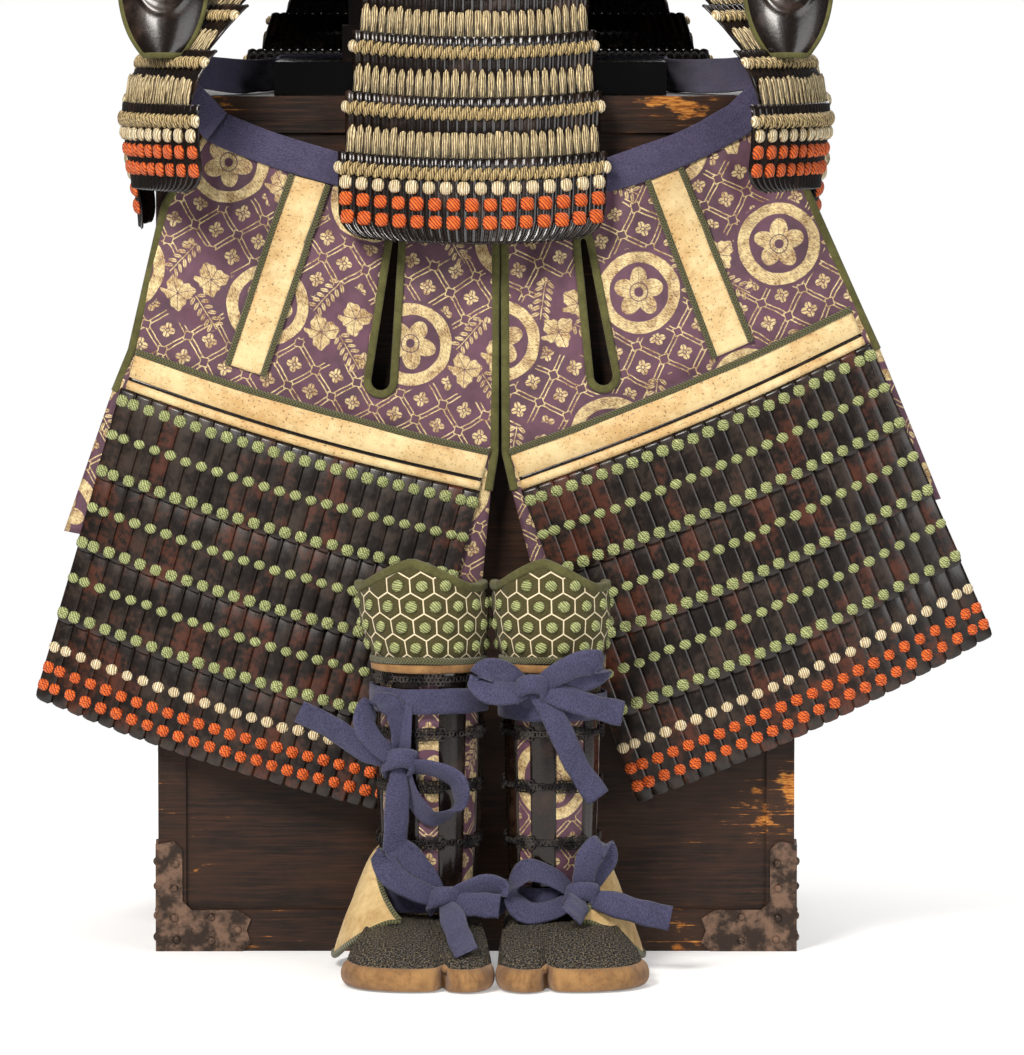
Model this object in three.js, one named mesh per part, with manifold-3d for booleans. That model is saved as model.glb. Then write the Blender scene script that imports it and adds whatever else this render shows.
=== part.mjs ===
// Samurai armour set up on a plain wooden stand on top of its storage chest.
// Sizes are in millimetres. +X is to the right as seen from the front, +Y runs to the back and +Z up.
// The origin is the middle of the chest's underside. Left and right are as the viewer sees them.

import * as THREE from 'three';
import { mergeVertices } from 'three/addons/utils/BufferGeometryUtils.js';
import Module from 'manifold-3d';

const wasm = await Module();
wasm.setup();

// Driving sizes
const SEAM = 0.3;
const SIDES = [
  { name: 'left', sign: -1 },
  { name: 'right', sign: 1 },
];

const CHEST = {
  width: 640, depth: 480, height: 860, wall: 15, floor: 20,
  stile: 28, bottomRail: 42, topRail: 12, recess: 5, lid: 24,
};
const IRON = { thickness: 2.5, armWidth: 27, armHeight: 112, footLength: 96, footHeight: 42, corner: 9 };
const BOARD = { width: 395, depth: 364, height: 33, x: -6, y: 2 };
const STAND = {
  x: -12, y: -100, postOffset: 118, postWidth: 22, postDepth: 30, postTop: 1474.2,
  barLength: 350, barHeight: 30, footWidth: 34, footDepth: 70, footHeight: 36,
  headTop: 1735.6, padRadius: 62, padHeight: 18,
};

// Body armour: rings round the torso, as half width and half depth at each height
const TORSO_Y = -118;
const WAIST_Z = 1088;
const TORSO_RINGS = [
  { z: 1088, halfWidth: 172, halfDepth: 132 },
  { z: 1160, halfWidth: 169, halfDepth: 131 },
  { z: 1260, halfWidth: 182, halfDepth: 141 },
  { z: 1360, halfWidth: 190, halfDepth: 147 },
  { z: 1450, halfWidth: 180, halfDepth: 139 },
];
const CUIRASS = { thickness: 3, lip: 4, lames: 5, topZ: 1442, armholeZ: 1290, neckDip: 22, sideSeam: 0.0012 };

// Laced skirt tassets: the lower lame always lies outside the one above it
const LAME = { pitch: 61, bottom: 87, thickness: 3, lip: 4.5, cornerRadius: 26 };
const TASSETS = [
  { part: 'front', waistArc: 0, waistWidth: 218, waistRadius: 210, facing: 0, radius: 330, width: 272, narrowing: 13,
    x: -4, y: -320, z: 722, bendZ: null, columns: 8 },
  { part: 'side', waistArc: 176, waistWidth: 104, waistRadius: 150, facing: 73.5, radius: 240, width: 262,
    narrowing: 33, x: 334, y: -268, z: 768, bendZ: 868, columns: 5 },
  { part: 'hip', waistArc: 299, waistWidth: 100, waistRadius: 170, facing: 90, radius: 900, width: 256,
    narrowing: 28, x: 348, y: 30, z: 722, bendZ: 872, columns: 4 },
  { part: 'back', waistArc: 416, waistWidth: 98, waistRadius: 190, facing: 180, radius: 900, width: 256,
    narrowing: 28, x: 136, y: 266, z: 762, bendZ: 872, columns: 4 },
];

// Shoulder guards, sleeves and hand guards
const SHOULDER_GUARD = { x: 334, y: -112, z: 1488, footX: 372, footY: -120, footZ: 1128, facing: 84, radius: 420,
  width: 296, columns: 4 };
const SLEEVE = { thickness: 2.5, sides: 10 };
const SLEEVE_RINGS = [
  { x: 252, y: -106, z: 1460.8, radius: 56 },
  { x: 276, y: -100, z: 1370, radius: 62 },
  { x: 288, y: -104, z: 1270, radius: 57 },
  { x: 298, y: -130, z: 1180, radius: 52 },
  { x: 303, y: -190, z: 1090, radius: 47 },
  { x: 304, y: -238, z: 1030, radius: 42 },
];
const HAND_GUARD = { length: 150, width: 86, thickness: 2.5, crown: 14, x: 309, y: -266.5, z: 977, lean: 52.5 };
const STRAP = { x: 108, width: 52, thickness: 9, topZ: 1479, footZ: 1400, frontY: -255, backY: 19,
  wingReach: 332.2, wingWidth: 44 };

// Helmet
const HELMET = { z: 1640, radius: 118, height: 128, thickness: 2.5, y: -100, stretch: 1.12, visorReach: 58, visorDrop: 24 };
const NECK_GUARD = { lames: 3, lap: 8, lameHeight: 44, thickness: 2.5, lip: 3.5, topRadius: 121.1, bottomRadius: 196, opening: 72 };

// Thigh guard: corners of each half in the front view, as x and z
const CLOTH = {
  thickness: 2, front: -262, lean: 16, wrap: 46, wrapHalfWidth: 450, centreX: 21, columns: 20,
  rowPlaces: [0, 0.06, 0.12, 0.18, 0.25, 0.33, 0.41, 0.5, 0.75, 1],
};
const BELT = { dipX: 24, dipZ: 751, width: 34, thickness: 2.4, overlap: 12, endX: 258, stand: 2.6,
  steepness: { left: 7.7e-4, right: 1.22e-3 } };
const THIGH_ROWS = {
  left: [
    { row: 'belt', innerX: 22, innerZ: 763, outerX: -268, outerZ: 829 },
    { row: 'hip', innerX: 22, innerZ: 690, outerX: -313, outerZ: 752 },
    { row: 'band', innerX: 21, innerZ: 505, outerX: -347, outerZ: 607 },
    { row: 'plates', innerX: 15, innerZ: 467, outerX: -364, outerZ: 566 },
    { row: 'hem', innerX: 6, innerZ: 374, outerX: -414, outerZ: 424 },
  ],
  right: [
    { row: 'belt', innerX: 26.4, innerZ: 763, outerX: 272, outerZ: 838 },
    { row: 'hip', innerX: 26.4, innerZ: 690, outerX: 328, outerZ: 776 },
    { row: 'band', innerX: 27.5, innerZ: 505, outerX: 386, outerZ: 647 },
    { row: 'plates', innerX: 36, innerZ: 467, outerX: 404, outerZ: 608 },
    { row: 'hem', innerX: 58, innerZ: 382, outerX: 467, outerZ: 456 },
  ],
};
const PLATE_CORNERS = {
  left: { innerTop: [4, 467], outerTop: [-354, 569], innerFoot: [-84, 144], outerFoot: [-441, 255] },
  right: { innerTop: [46, 468], outerTop: [393, 614], innerFoot: [163, 155], outerFoot: [518, 316] },
};
const PLATES = { tierFeet: [92, 166, 240, 322], scales: 23, thickness: 2.5, relief: 1.1, stand: 4.8, overlap: 5, sag: 7,
  depth: 322 };
const BAND = { height: 38, welt: 8, innerMargin: 0.012, outerMargin: 0.03 };
const STRAP_LIFT = 0.8;
const THIGH_STRAPS = {
  left: { topU: [0.575, 0.69], footU: [0.645, 0.735] },
  right: { topU: [0.575, 0.695], footU: [0.603, 0.7] },
};
const PLEATS = {
  left: [
    { topX: -244, footX: -266, depth: 6, halfWidth: 15, footZ: 680 },
    { topX: -212, footX: -240, depth: -4, halfWidth: 16, footZ: 660 },
    { topX: -118, footX: -126, depth: 5, halfWidth: 17, footZ: 600 },
    { topX: -36, footX: -50, depth: 5, halfWidth: 17, footZ: 560 },
    { topX: -4, footX: -12, depth: -4, halfWidth: 15, footZ: 590 },
  ],
  right: [
    { topX: 54, footX: 48, depth: -4, halfWidth: 15, footZ: 590 },
    { topX: 76, footX: 82, depth: 5, halfWidth: 15, footZ: 570 },
    { topX: 152, footX: 158, depth: 5, halfWidth: 16, footZ: 610 },
    { topX: 214, footX: 242, depth: -4, halfWidth: 16, footZ: 660 },
    { topX: 242, footX: 272, depth: 6, halfWidth: 15, footZ: 690 },
  ],
};
const SLITS = {
  left: { topX: -80, topZ: 716, footX: -95, footZ: 577, topRadius: 2.5, footRadius: 9 },
  right: { topX: 107, topZ: 716, footX: 127, footZ: 582, topRadius: 2.5, footRadius: 9 },
};
const BINDING = { lip: 8, thickness: 1.2, gap: 0.5, slitLift: 1, head: 0.12, foot: 0.75 };

// Legs: plan centre, then the shin, knee and foot pieces round it
const LEGS = {
  left: { x: -46, kneeX: -54, footX: -54, shinHalfWidth: 52, splints: [-83, -27.6, 27.6, 83] },
  right: { x: 76, kneeX: 74, footX: 93, shinHalfWidth: 47, splints: [-64, -12, 57] },
};
const LEG_Y = -342;
const SHIN = { footZ: 56.3, topZ: 301, halfDepth: 54, thickness: 3, relief: 2.2, wrap: 112, ankleScale: 0.86 };
const SPLINT_HALF_ANGLE = 14;
const KNEE = { height: 104, flare: 1.22, thickness: 4, wrap: 104, peak: -8, drop: 26, bulge: 5 };
const FOOT = { ankleRadius: 45.5, wall: 3, samples: 22 };
const FOOT_OUTLINE = [
  { across: 0, along: -290 }, { across: 34, along: -302 }, { across: 42, along: -345 }, { across: 47, along: -400 },
  { across: 64, along: -455 }, { across: 72, along: -500 }, { across: 66, along: -538 }, { across: 48, along: -554 },
  { across: 31, along: -545 }, { across: 24, along: -520 }, { across: 14, along: -544 }, { across: -18, along: -548 },
  { across: -56, along: -530 }, { across: -75, along: -490 }, { across: -66, along: -440 }, { across: -48, along: -390 },
  { across: -42, along: -340 }, { across: -33, along: -302 },
];
const FOOT_ROWS = [
  { reach: 0, z: 56 }, { reach: 0.4, z: 47 }, { reach: 0.9, z: 27 },
  { reach: 1, z: 13 }, { reach: 1, z: 0 },
];
const ANKLE_FLAP = { topZ: 116, footZ: 12, flare: 36, from: 68, to: 165, thickness: 2, stand: 1.1 };

// Ties: straps and bows, as angles in the front view counted from the right, anticlockwise
const TIE = { width: 25, thickness: 2.2, clearance: 2.7 };
const TIES = [
  { node: 'shin_tie_left', leg: 'left', ringZ: 269, knotX: -74, knotZ: 208,
    loops: [{ turn: -42, length: 64 }, { turn: 118, length: 62 }],
    ends: [{ x: -99, out: 4, z: 52 }, { x: -2, out: 6, z: -74 }] },
  { node: 'shin_tie_right', leg: 'right', ringZ: 262, knotX: 55, knotZ: 281,
    loops: [{ turn: 172, length: 66 }, { turn: 22, length: 66 }],
    ends: [{ x: 66, out: 6, z: -106 }, { x: 78, out: -4, z: -20 }] },
  { node: 'ankle_tie_left', leg: 'left', ringZ: 72, knotX: -30, knotZ: 72,
    loops: [{ turn: 142, length: 68 }, { turn: 12, length: 48 }],
    ends: [{ x: 26, out: 112, z: -30 }, { x: 50, out: 22, z: 2 }] },
  { node: 'ankle_tie_right', leg: 'right', ringZ: 72, knotX: 104, knotZ: 76,
    loops: [{ turn: 172, length: 66 }, { turn: 74, length: 52 }],
    ends: [{ x: 82, out: 12, z: -16 }, { x: -8, out: 46, z: -12 }] },
];

// Finishes
const FINISHES = {
  lacquer: { color: 0x1c1310, roughness: 0.35, metalness: 0 },
  chestWood: { color: 0x2e1d14, roughness: 0.6, metalness: 0 },
  iron: { color: 0x3b322c, roughness: 0.6, metalness: 0.8 },
  laces: { color: 0xd8c592, roughness: 0.8, metalness: 0 },
  brocade: { color: 0x5b3d57, roughness: 0.6, metalness: 0 },
  crepe: { color: 0x4b4e78, roughness: 0.85, metalness: 0 },
  leather: { color: 0xd9b97f, roughness: 0.7, metalness: 0 },
  binding: { color: 0x4c5530, roughness: 0.85, metalness: 0 },
  plates: { color: 0x3a2a24, roughness: 0.45, metalness: 0 },
  suede: { color: 0xc59a5c, roughness: 0.9, metalness: 0 },
};

const armour = new THREE.Group();

// Small helpers
const { lerp, degToRad, smoothstep } = THREE.MathUtils;
const point = (x, y, z) => new THREE.Vector3(x, y, z);

function steps(count, from = 0, to = 1) {
  return Array.from({ length: count + 1 }, (_, index) => lerp(from, to, index / count));
}

function add(name, geometry, finish) {
  const mesh = new THREE.Mesh(geometry, new THREE.MeshStandardMaterial(FINISHES[finish]));
  mesh.name = name;
  armour.add(mesh);
}

function signedVolume(points, triangles) {
  let total = 0;
  for (const [a, b, c] of triangles) {
    total += points[a].dot(points[b].clone().cross(points[c]));
  }
  return total / 6;
}

// A closed body from points and triangles, turned so that its faces point out
function body(points, triangles) {
  const inward = signedVolume(points, triangles) < 0;
  const order = inward ? triangles.map(([a, b, c]) => [a, c, b]) : triangles;
  const geometry = new THREE.BufferGeometry().setFromPoints(points);
  geometry.setIndex(order.flat());
  geometry.computeVertexNormals();
  return geometry;
}

// A wall between an outer and an inner grid of points, open at its four edges or closed to a ring
function shell(outer, inner, ring = false) {
  const rows = outer.length;
  const columns = outer[0].length;
  const points = [...outer.flat(), ...inner.flat()];
  const skin = rows * columns;
  const at = (row, column, side) => side * skin + row * columns + (column % columns);
  const triangles = [];
  const quad = (a, b, c, d) => triangles.push([a, b, c], [a, c, d]);
  const spans = ring ? columns : columns - 1;
  for (let row = 0; row < rows - 1; row += 1) {
    for (let column = 0; column < spans; column += 1) {
      quad(at(row, column, 0), at(row + 1, column, 0), at(row + 1, column + 1, 0), at(row, column + 1, 0));
      quad(at(row, column, 1), at(row, column + 1, 1), at(row + 1, column + 1, 1), at(row + 1, column, 1));
    }
    if (!ring) {
      quad(at(row, 0, 0), at(row, 0, 1), at(row + 1, 0, 1), at(row + 1, 0, 0));
      quad(at(row, spans, 0), at(row + 1, spans, 0), at(row + 1, spans, 1), at(row, spans, 1));
    }
  }
  const foot = rows - 1;
  for (let column = 0; column < spans; column += 1) {
    quad(at(0, column, 0), at(0, column + 1, 0), at(0, column + 1, 1), at(0, column, 1));
    quad(at(foot, column, 0), at(foot, column, 1), at(foot, column + 1, 1), at(foot, column + 1, 0));
  }
  return body(points, triangles);
}

// The direction out of a surface whose u runs right and v down as seen from outside
function normalAt(surface, u, v) {
  const reach = 1e-3;
  const across = surface(u + reach, v).sub(surface(u - reach, v));
  const down = surface(u, v + reach).sub(surface(u, v - reach));
  return down.cross(across).normalize();
}

// A wall on a surface, between two lifts above it; a lift is a number or a function of the place
function wallOn(surface, us, vs, outerLift, innerLift, ring = false) {
  const skin = (lift) => vs.map((v, row) => us.map((u, column) => {
    const height = typeof lift === 'function' ? lift(u, v, column, row) : lift;
    return surface(u, v).addScaledVector(normalAt(surface, u, v), height);
  }));
  return shell(skin(outerLift), skin(innerLift), ring);
}

// A section carried along stations, each with a place and the section's two axes
function sweep(stations, sectionAt, closed = false) {
  const sections = stations.map((station, index) => sectionAt(index));
  const count = sections[0].length;
  const points = stations.flatMap(({ at, a, b }, index) => sections[index].map(
    ([along, up]) => at.clone().addScaledVector(a, along).addScaledVector(b, up)));
  const triangles = [];
  const spans = closed ? stations.length : stations.length - 1;
  for (let span = 0; span < spans; span += 1) {
    const next = (span + 1) % stations.length;
    for (let corner = 0; corner < count; corner += 1) {
      const after = (corner + 1) % count;
      const [p, q] = [span * count + corner, span * count + after];
      const [r, s] = [next * count + after, next * count + corner];
      triangles.push([p, q, r], [p, r, s]);
    }
  }
  if (!closed) {
    const outline = sections[0].map(([along, up]) => new THREE.Vector2(along, up));
    const last = (stations.length - 1) * count;
    for (const [a, b, c] of THREE.ShapeUtils.triangulateShape(outline, [])) {
      triangles.push([c, b, a], [a + last, b + last, c + last]);
    }
  }
  return body(points, triangles);
}

function toSolid(geometry) {
  const bare = geometry.clone();
  bare.deleteAttribute('normal');
  bare.deleteAttribute('uv');
  const merged = mergeVertices(bare, 1e-4);
  return new wasm.Manifold(new wasm.Mesh({
    numProp: 3,
    vertProperties: Float32Array.from(merged.attributes.position.array),
    triVerts: Uint32Array.from(merged.index.array),
  }));
}

function toGeometry(solid) {
  const { vertProperties, triVerts } = solid.getMesh();
  const geometry = new THREE.BufferGeometry();
  geometry.setAttribute('position', new THREE.BufferAttribute(vertProperties, 3));
  geometry.setIndex(new THREE.BufferAttribute(triVerts, 1));
  geometry.computeVertexNormals();
  return geometry;
}

function joined(geometries) {
  return toGeometry(geometries.map(toSolid).reduce((whole, piece) => whole.add(piece)));
}

// A box by its size, the middle of its underside and that underside's height
function block(width, depth, height, x, y, z) {
  return new THREE.BoxGeometry(width, depth, height).translate(x, y, z + height / 2);
}

// A point on a table of rings or rows, between its neighbours, by one of its columns
function rowAt(table, key, value) {
  const rising = table[table.length - 1][key] > table[0][key];
  let index = table.findIndex((row) => (rising ? row[key] >= value : row[key] <= value));
  index = THREE.MathUtils.clamp(index < 0 ? table.length - 1 : index, 1, table.length - 1);
  const [from, to] = [table[index - 1], table[index]];
  const share = (value - from[key]) / (to[key] - from[key]);
  const blended = {};
  for (const column of Object.keys(from)) {
    blended[column] = typeof from[column] === 'number' ? lerp(from[column], to[column], share) : from[column];
  }
  return blended;
}

// Storage chest with its lid and corner irons
function chestBody() {
  const { width, depth, wall, floor, stile, bottomRail, topRail, recess } = CHEST;
  const height = CHEST.height - CHEST.lid - SEAM;
  const panel = height - bottomRail - topRail;
  let solid = toSolid(block(width, depth, height, 0, 0, 0));
  solid = solid.subtract(toSolid(block(width - 2 * wall, depth - 2 * wall, height, 0, 0, floor)));
  for (const { sign } of SIDES) {
    solid = solid.subtract(toSolid(block(width - 2 * stile, 2 * recess, panel, 0, sign * depth / 2, bottomRail)));
    solid = solid.subtract(toSolid(block(2 * recess, depth - 2 * stile, panel, sign * width / 2, 0, bottomRail)));
  }
  return toGeometry(solid);
}

function chestLid() {
  const { width, depth, height, lid, wall } = CHEST;
  const hollow = lid / 2;
  const plate = toSolid(block(width, depth, lid, 0, 0, height - lid));
  return toGeometry(plate.subtract(
    toSolid(block(width - 2 * wall, depth - 2 * wall, hollow * 2, 0, 0, height - lid - hollow))));
}

// One face of a corner iron: a foot along the floor and an arm up the corner, with shaped ends
function ironPlate() {
  const { armWidth, armHeight, footLength, footHeight, corner, thickness } = IRON;
  const outline = new THREE.Shape();
  outline.moveTo(0, 0);
  outline.lineTo(footLength - corner, 0);
  outline.lineTo(footLength, corner);
  outline.lineTo(footLength - corner / 2, footHeight / 2);
  outline.lineTo(footLength, footHeight - corner);
  outline.lineTo(footLength - corner * 1.5, footHeight);
  outline.lineTo(armWidth + corner, footHeight);
  outline.lineTo(armWidth, footHeight + corner);
  outline.lineTo(armWidth, armHeight - corner);
  outline.lineTo(armWidth - corner, armHeight);
  outline.lineTo(0, armHeight - corner / 2);
  return new THREE.ExtrudeGeometry(outline, { depth: thickness, bevelEnabled: false });
}

function cornerIron(signX, signY) {
  const { thickness } = IRON;
  const edgeX = signX * (CHEST.width / 2 + SEAM + thickness);
  const edgeY = signY * (CHEST.depth / 2 + SEAM + thickness);
  const front = ironPlate().rotateX(Math.PI / 2);
  const side = ironPlate().rotateX(Math.PI / 2).rotateZ(Math.PI / 2);
  front.scale(-signX, 1, 1).translate(edgeX, signY < 0 ? edgeY + thickness : edgeY, 0);
  side.scale(1, -signY, 1).translate(signX < 0 ? edgeX : edgeX - thickness, edgeY, 0);
  return joined([turnedOut(front), turnedOut(side)]);
}

// The same geometry with its faces turned out again after a mirror
function turnedOut(geometry) {
  const bare = geometry.clone();
  bare.deleteAttribute('normal');
  bare.deleteAttribute('uv');
  const merged = mergeVertices(bare, 1e-4);
  const places = merged.attributes.position;
  const points = Array.from({ length: places.count }, (_, index) => point().fromBufferAttribute(places, index));
  const order = Array.from(merged.index.array);
  const triangles = [];
  for (let corner = 0; corner < order.length; corner += 3) {
    triangles.push(order.slice(corner, corner + 3));
  }
  return body(points, triangles);
}

function standFrame() {
  const { x, y, postOffset, postWidth, postDepth, postTop, barLength, barHeight, headTop } = STAND;
  const base = CHEST.height + SEAM + BOARD.height + SEAM;
  const pieces = [
    block(barLength, postDepth, barHeight, x, y, postTop - barHeight),
    block(postDepth, postDepth, headTop - postTop + barHeight / 2, x, y, postTop - barHeight / 2),
  ];
  for (const { sign } of SIDES) {
    const postX = x + sign * (postOffset - postWidth / 2);
    pieces.push(block(postWidth, postDepth, postTop - barHeight / 2 - base, postX, y, base));
    pieces.push(block(STAND.footWidth, STAND.footDepth, STAND.footHeight, postX, y, base));
  }
  const pad = new THREE.CylinderGeometry(STAND.padRadius, STAND.padRadius, STAND.padHeight, 20).rotateX(Math.PI / 2);
  pieces.push(pad.translate(x, y, STAND.headTop));
  return joined(pieces);
}

add('chest_body', chestBody(), 'chestWood');
add('chest_lid', chestLid(), 'chestWood');
for (const { name, sign } of SIDES) {
  add(`chest_corner_front_${name}`, cornerIron(sign, -1), 'iron');
  add(`chest_corner_back_${name}`, cornerIron(sign, 1), 'iron');
}
add('stand_board', block(BOARD.width, BOARD.depth, BOARD.height, BOARD.x, BOARD.y, CHEST.height + SEAM), 'lacquer');
add('stand_frame', standFrame(), 'lacquer');

// Thigh guard: the cloth hangs as one depth over the front view, with its pleats
function pleatDepth(side, x, z) {
  return PLEATS[side].reduce((sum, pleat) => {
    const top = beltZ(side, pleat.topX);
    const share = (top - z) / (top - pleat.footZ);
    const middle = lerp(pleat.topX, pleat.footX, share);
    const fade = smoothstep(share, 0, 0.2) * (1 - smoothstep(share, 0.4, 1));
    return sum + pleat.depth * fade * Math.exp(-(((x - middle) / pleat.halfWidth) ** 2));
  }, 0);
}

function clothY(side, x, z) {
  const lean = CLOTH.lean * (840 - z) / 700;
  const wrap = CLOTH.wrap * ((x - CLOTH.centreX) / CLOTH.wrapHalfWidth) ** 4;
  return CLOTH.front - lean + wrap - pleatDepth(side, x, z);
}

// The belt's lower edge sags between the hips
function beltZ(side, x) {
  return BELT.dipZ + BELT.steepness[side] * (x - BELT.dipX) ** 2;
}

const sideOf = (x) => (x < BELT.dipX ? 'left' : 'right');

// Cloth surface: u runs from the left edge to the right one, v from the belt to the hem
function clothSurface(side) {
  const rows = THIGH_ROWS[side];
  return (u, v) => {
    const place = THREE.MathUtils.clamp(v, 0, 1) * (rows.length - 1);
    const index = Math.min(Math.floor(place), rows.length - 2);
    const share = v * (rows.length - 1) - index;
    const outward = side === 'left' ? 1 - u : u;
    const [from, to] = [rows[index], rows[index + 1]];
    const sagging = PLATES.sag * Math.sin(Math.PI * THREE.MathUtils.clamp(outward, 0, 1));
    const x = lerp(lerp(from.innerX, from.outerX, outward), lerp(to.innerX, to.outerX, outward), share);
    const height = (row) => (row.row === 'belt'
      ? beltZ(side, lerp(row.innerX, row.outerX, outward)) + BELT.overlap
      : lerp(row.innerZ, row.outerZ, outward) - (row.row === 'hip' ? 4 : 1) * sagging);
    const z = lerp(height(from), height(to), share);
    return point(x, clothY(side, x, z), z);
  };
}

// Plate surface: u as above, v in millimetres down from the plates' top line
function plateSurface(side) {
  const { innerTop, outerTop, innerFoot, outerFoot } = PLATE_CORNERS[side];
  return (u, v) => {
    const outward = side === 'left' ? 1 - u : u;
    const share = v / PLATES.depth;
    const sag = PLATES.sag * Math.sin(Math.PI * THREE.MathUtils.clamp(outward, 0, 1));
    const x = lerp(lerp(innerTop[0], outerTop[0], outward), lerp(innerFoot[0], outerFoot[0], outward), share);
    const z = lerp(lerp(innerTop[1], outerTop[1], outward), lerp(innerFoot[1], outerFoot[1], outward), share) - sag;
    return point(x, clothY(side, x, z), z);
  };
}

function teardrop(slit, grow) {
  const tilt = Math.atan2(slit.footX - slit.topX, slit.topZ - slit.footZ);
  const arc = (x, z, radius, from, to, count) => steps(count, from, to).map(
    (angle) => [x + (radius + grow) * Math.cos(angle + tilt), z + (radius + grow) * Math.sin(angle + tilt)]);
  return [
    ...arc(slit.footX, slit.footZ, slit.footRadius, -Math.PI, 0, 8),
    ...arc(slit.topX, slit.topZ, slit.topRadius, 0, Math.PI, 4),
  ];
}

function thighCloth(side) {
  const cloth = wallOn(clothSurface(side), steps(CLOTH.columns), CLOTH.rowPlaces, 0, -CLOTH.thickness);
  const outline = new THREE.Shape(teardrop(SLITS[side], 0).map(([x, z]) => new THREE.Vector2(x, z)));
  const cutter = new THREE.ExtrudeGeometry(outline, { depth: 200, bevelEnabled: false });
  cutter.rotateX(Math.PI / 2);
  cutter.translate(0, -200, 0);
  return toGeometry(toSolid(cloth).subtract(toSolid(cutter)));
}

// Binding round a slit, lying on the cloth
function slitBinding(side) {
  const rows = [SEAM * 2, BINDING.lip].map((grow) => teardrop(SLITS[side], grow));
  const skin = (lift) => rows.map((row) => row.map(([x, z]) => {
    const front = (u, v) => point(u, clothY(side, u, v), v);
    const out = normalAt(front, x, z);
    return front(x, z).addScaledVector(out.y < 0 ? out : out.negate(), lift);
  }));
  return shell(skin(BINDING.slitLift + 1.6), skin(BINDING.slitLift), true);
}

// A folded binding over one edge of the cloth: its section grips both faces
function edgeBinding(surface, u, inward, vs) {
  const stations = vs.map((v) => {
    const away = surface(u, v).sub(surface(u + inward / CLOTH.columns, v)).normalize();
    const out = normalAt(surface, u, v);
    return { at: surface(u, v), a: away, b: out.addScaledVector(away, -out.dot(away)).normalize() };
  });
  const [far, near] = [BINDING.gap + BINDING.thickness, BINDING.gap];
  const section = [
    [-BINDING.lip, near], [near, near], [near, -CLOTH.thickness - near], [-BINDING.lip, -CLOTH.thickness - near],
    [-BINDING.lip, -CLOTH.thickness - far], [far, -CLOTH.thickness - far], [far, far], [-BINDING.lip, far],
  ];
  return sweep(stations, () => section);
}

function thighBand(side) {
  const surface = plateSurface(side);
  const profile = [
    { v: -BAND.height, lift: 2.2 }, { v: -BAND.welt - 5, lift: 2.4 }, { v: -BAND.welt - 2, lift: 1 },
    { v: -BAND.welt, lift: 3.4 }, { v: -BAND.welt / 2, lift: 4.4 }, { v: -SEAM, lift: 3 },
  ];
  const [left, right] = side === 'left' ? [BAND.outerMargin, BAND.innerMargin] : [BAND.innerMargin, BAND.outerMargin];
  const us = steps(14, left, 1 - right);
  return wallOn(surface, us, profile.map(({ v }) => v), (u, v, column, row) => profile[row].lift + SEAM, SEAM);
}

function thighStrap(side) {
  const { topU, footU } = THIGH_STRAPS[side];
  const surface = clothSurface(side);
  const [topV, footV] = [0.055, 0.455];
  const strap = (u, v) => {
    const share = (v - topV) / (footV - topV);
    const outward = lerp(lerp(topU[0], topU[1], u), lerp(footU[0], footU[1], u), share);
    return surface(side === 'left' ? 1 - lerp(lerp(topU[0], topU[1], 1 - u), lerp(footU[0], footU[1], 1 - u), share)
      : outward, v);
  };
  return wallOn(strap, steps(2), steps(6, topV, footV), STRAP_LIFT + 1.8, STRAP_LIFT);
}

// One tier of scales: it stands off at its foot, over the tier below, and each scale laps the next
function scaleTier(side, tier) {
  const top = tier === 0 ? SEAM : PLATES.tierFeet[tier - 1] - PLATES.overlap;
  const foot = PLATES.tierFeet[tier];
  const us = [];
  const edges = [];
  for (let scale = 0; scale < PLATES.scales; scale += 1) {
    us.push((scale + 0.02) / PLATES.scales, (scale + 0.98) / PLATES.scales);
    edges.push(0, 1);
  }
  const stand = (v) => SEAM + PLATES.stand * (v - top) / (foot - top);
  const surface = plateSurface(side);
  const outer = (u, v, column) => stand(v) + PLATES.thickness + PLATES.relief * edges[column];
  return wallOn(surface, us, [top, foot], outer, (u, v) => stand(v));
}

function beltStation(at, along, out) {
  return { at, a: out.clone().cross(along).normalize(), b: out };
}

function waistband() {
  const frontXs = steps(12, -BELT.endX, BELT.endX + 4);
  const centre = (x) => {
    const side = sideOf(x);
    const z = beltZ(side, x) + BELT.width / 2;
    return point(x, clothY(side, x, z) - BELT.thickness / 2 - BELT.stand, z);
  };
  const front = frontXs.map((x) => centre(x));
  const boardX = BOARD.width / 2 + 6;
  const boardBack = BOARD.y + BOARD.depth / 2;
  const lidZ = CHEST.height + SEAM + BELT.width / 2;
  const overLid = (sign) => [
    point(sign * 281, CLOTH.front, lidZ - 22), point(sign * 298, -255, lidZ - 4), point(sign * 300, -243, lidZ + 8),
    point(sign * 288, -222, lidZ + 8), point(sign * 240, -130, lidZ + 1), point(sign * boardX + BOARD.x, 0, lidZ),
    point(sign * boardX + BOARD.x, boardBack - 6, lidZ), point(sign * (boardX - 6) + BOARD.x, boardBack + 5, lidZ),
    point(sign * (boardX - 30) + BOARD.x, boardBack + 7, lidZ),
  ];
  const path = [...front, ...overLid(1), ...overLid(-1).reverse()];
  const stations = path.map((at, index) => {
    const before = path[(index + path.length - 1) % path.length];
    const after = path[(index + 1) % path.length];
    const along = after.clone().sub(before).normalize();
    const out = along.clone().cross(point(0, 0, 1)).normalize();
    return beltStation(at, along, out);
  });
  const [high, thick] = [BELT.width / 2, BELT.thickness / 2];
  return sweep(stations, () => [[-high, -thick], [high, -thick], [high, thick], [-high, thick]], true);
}

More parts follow.
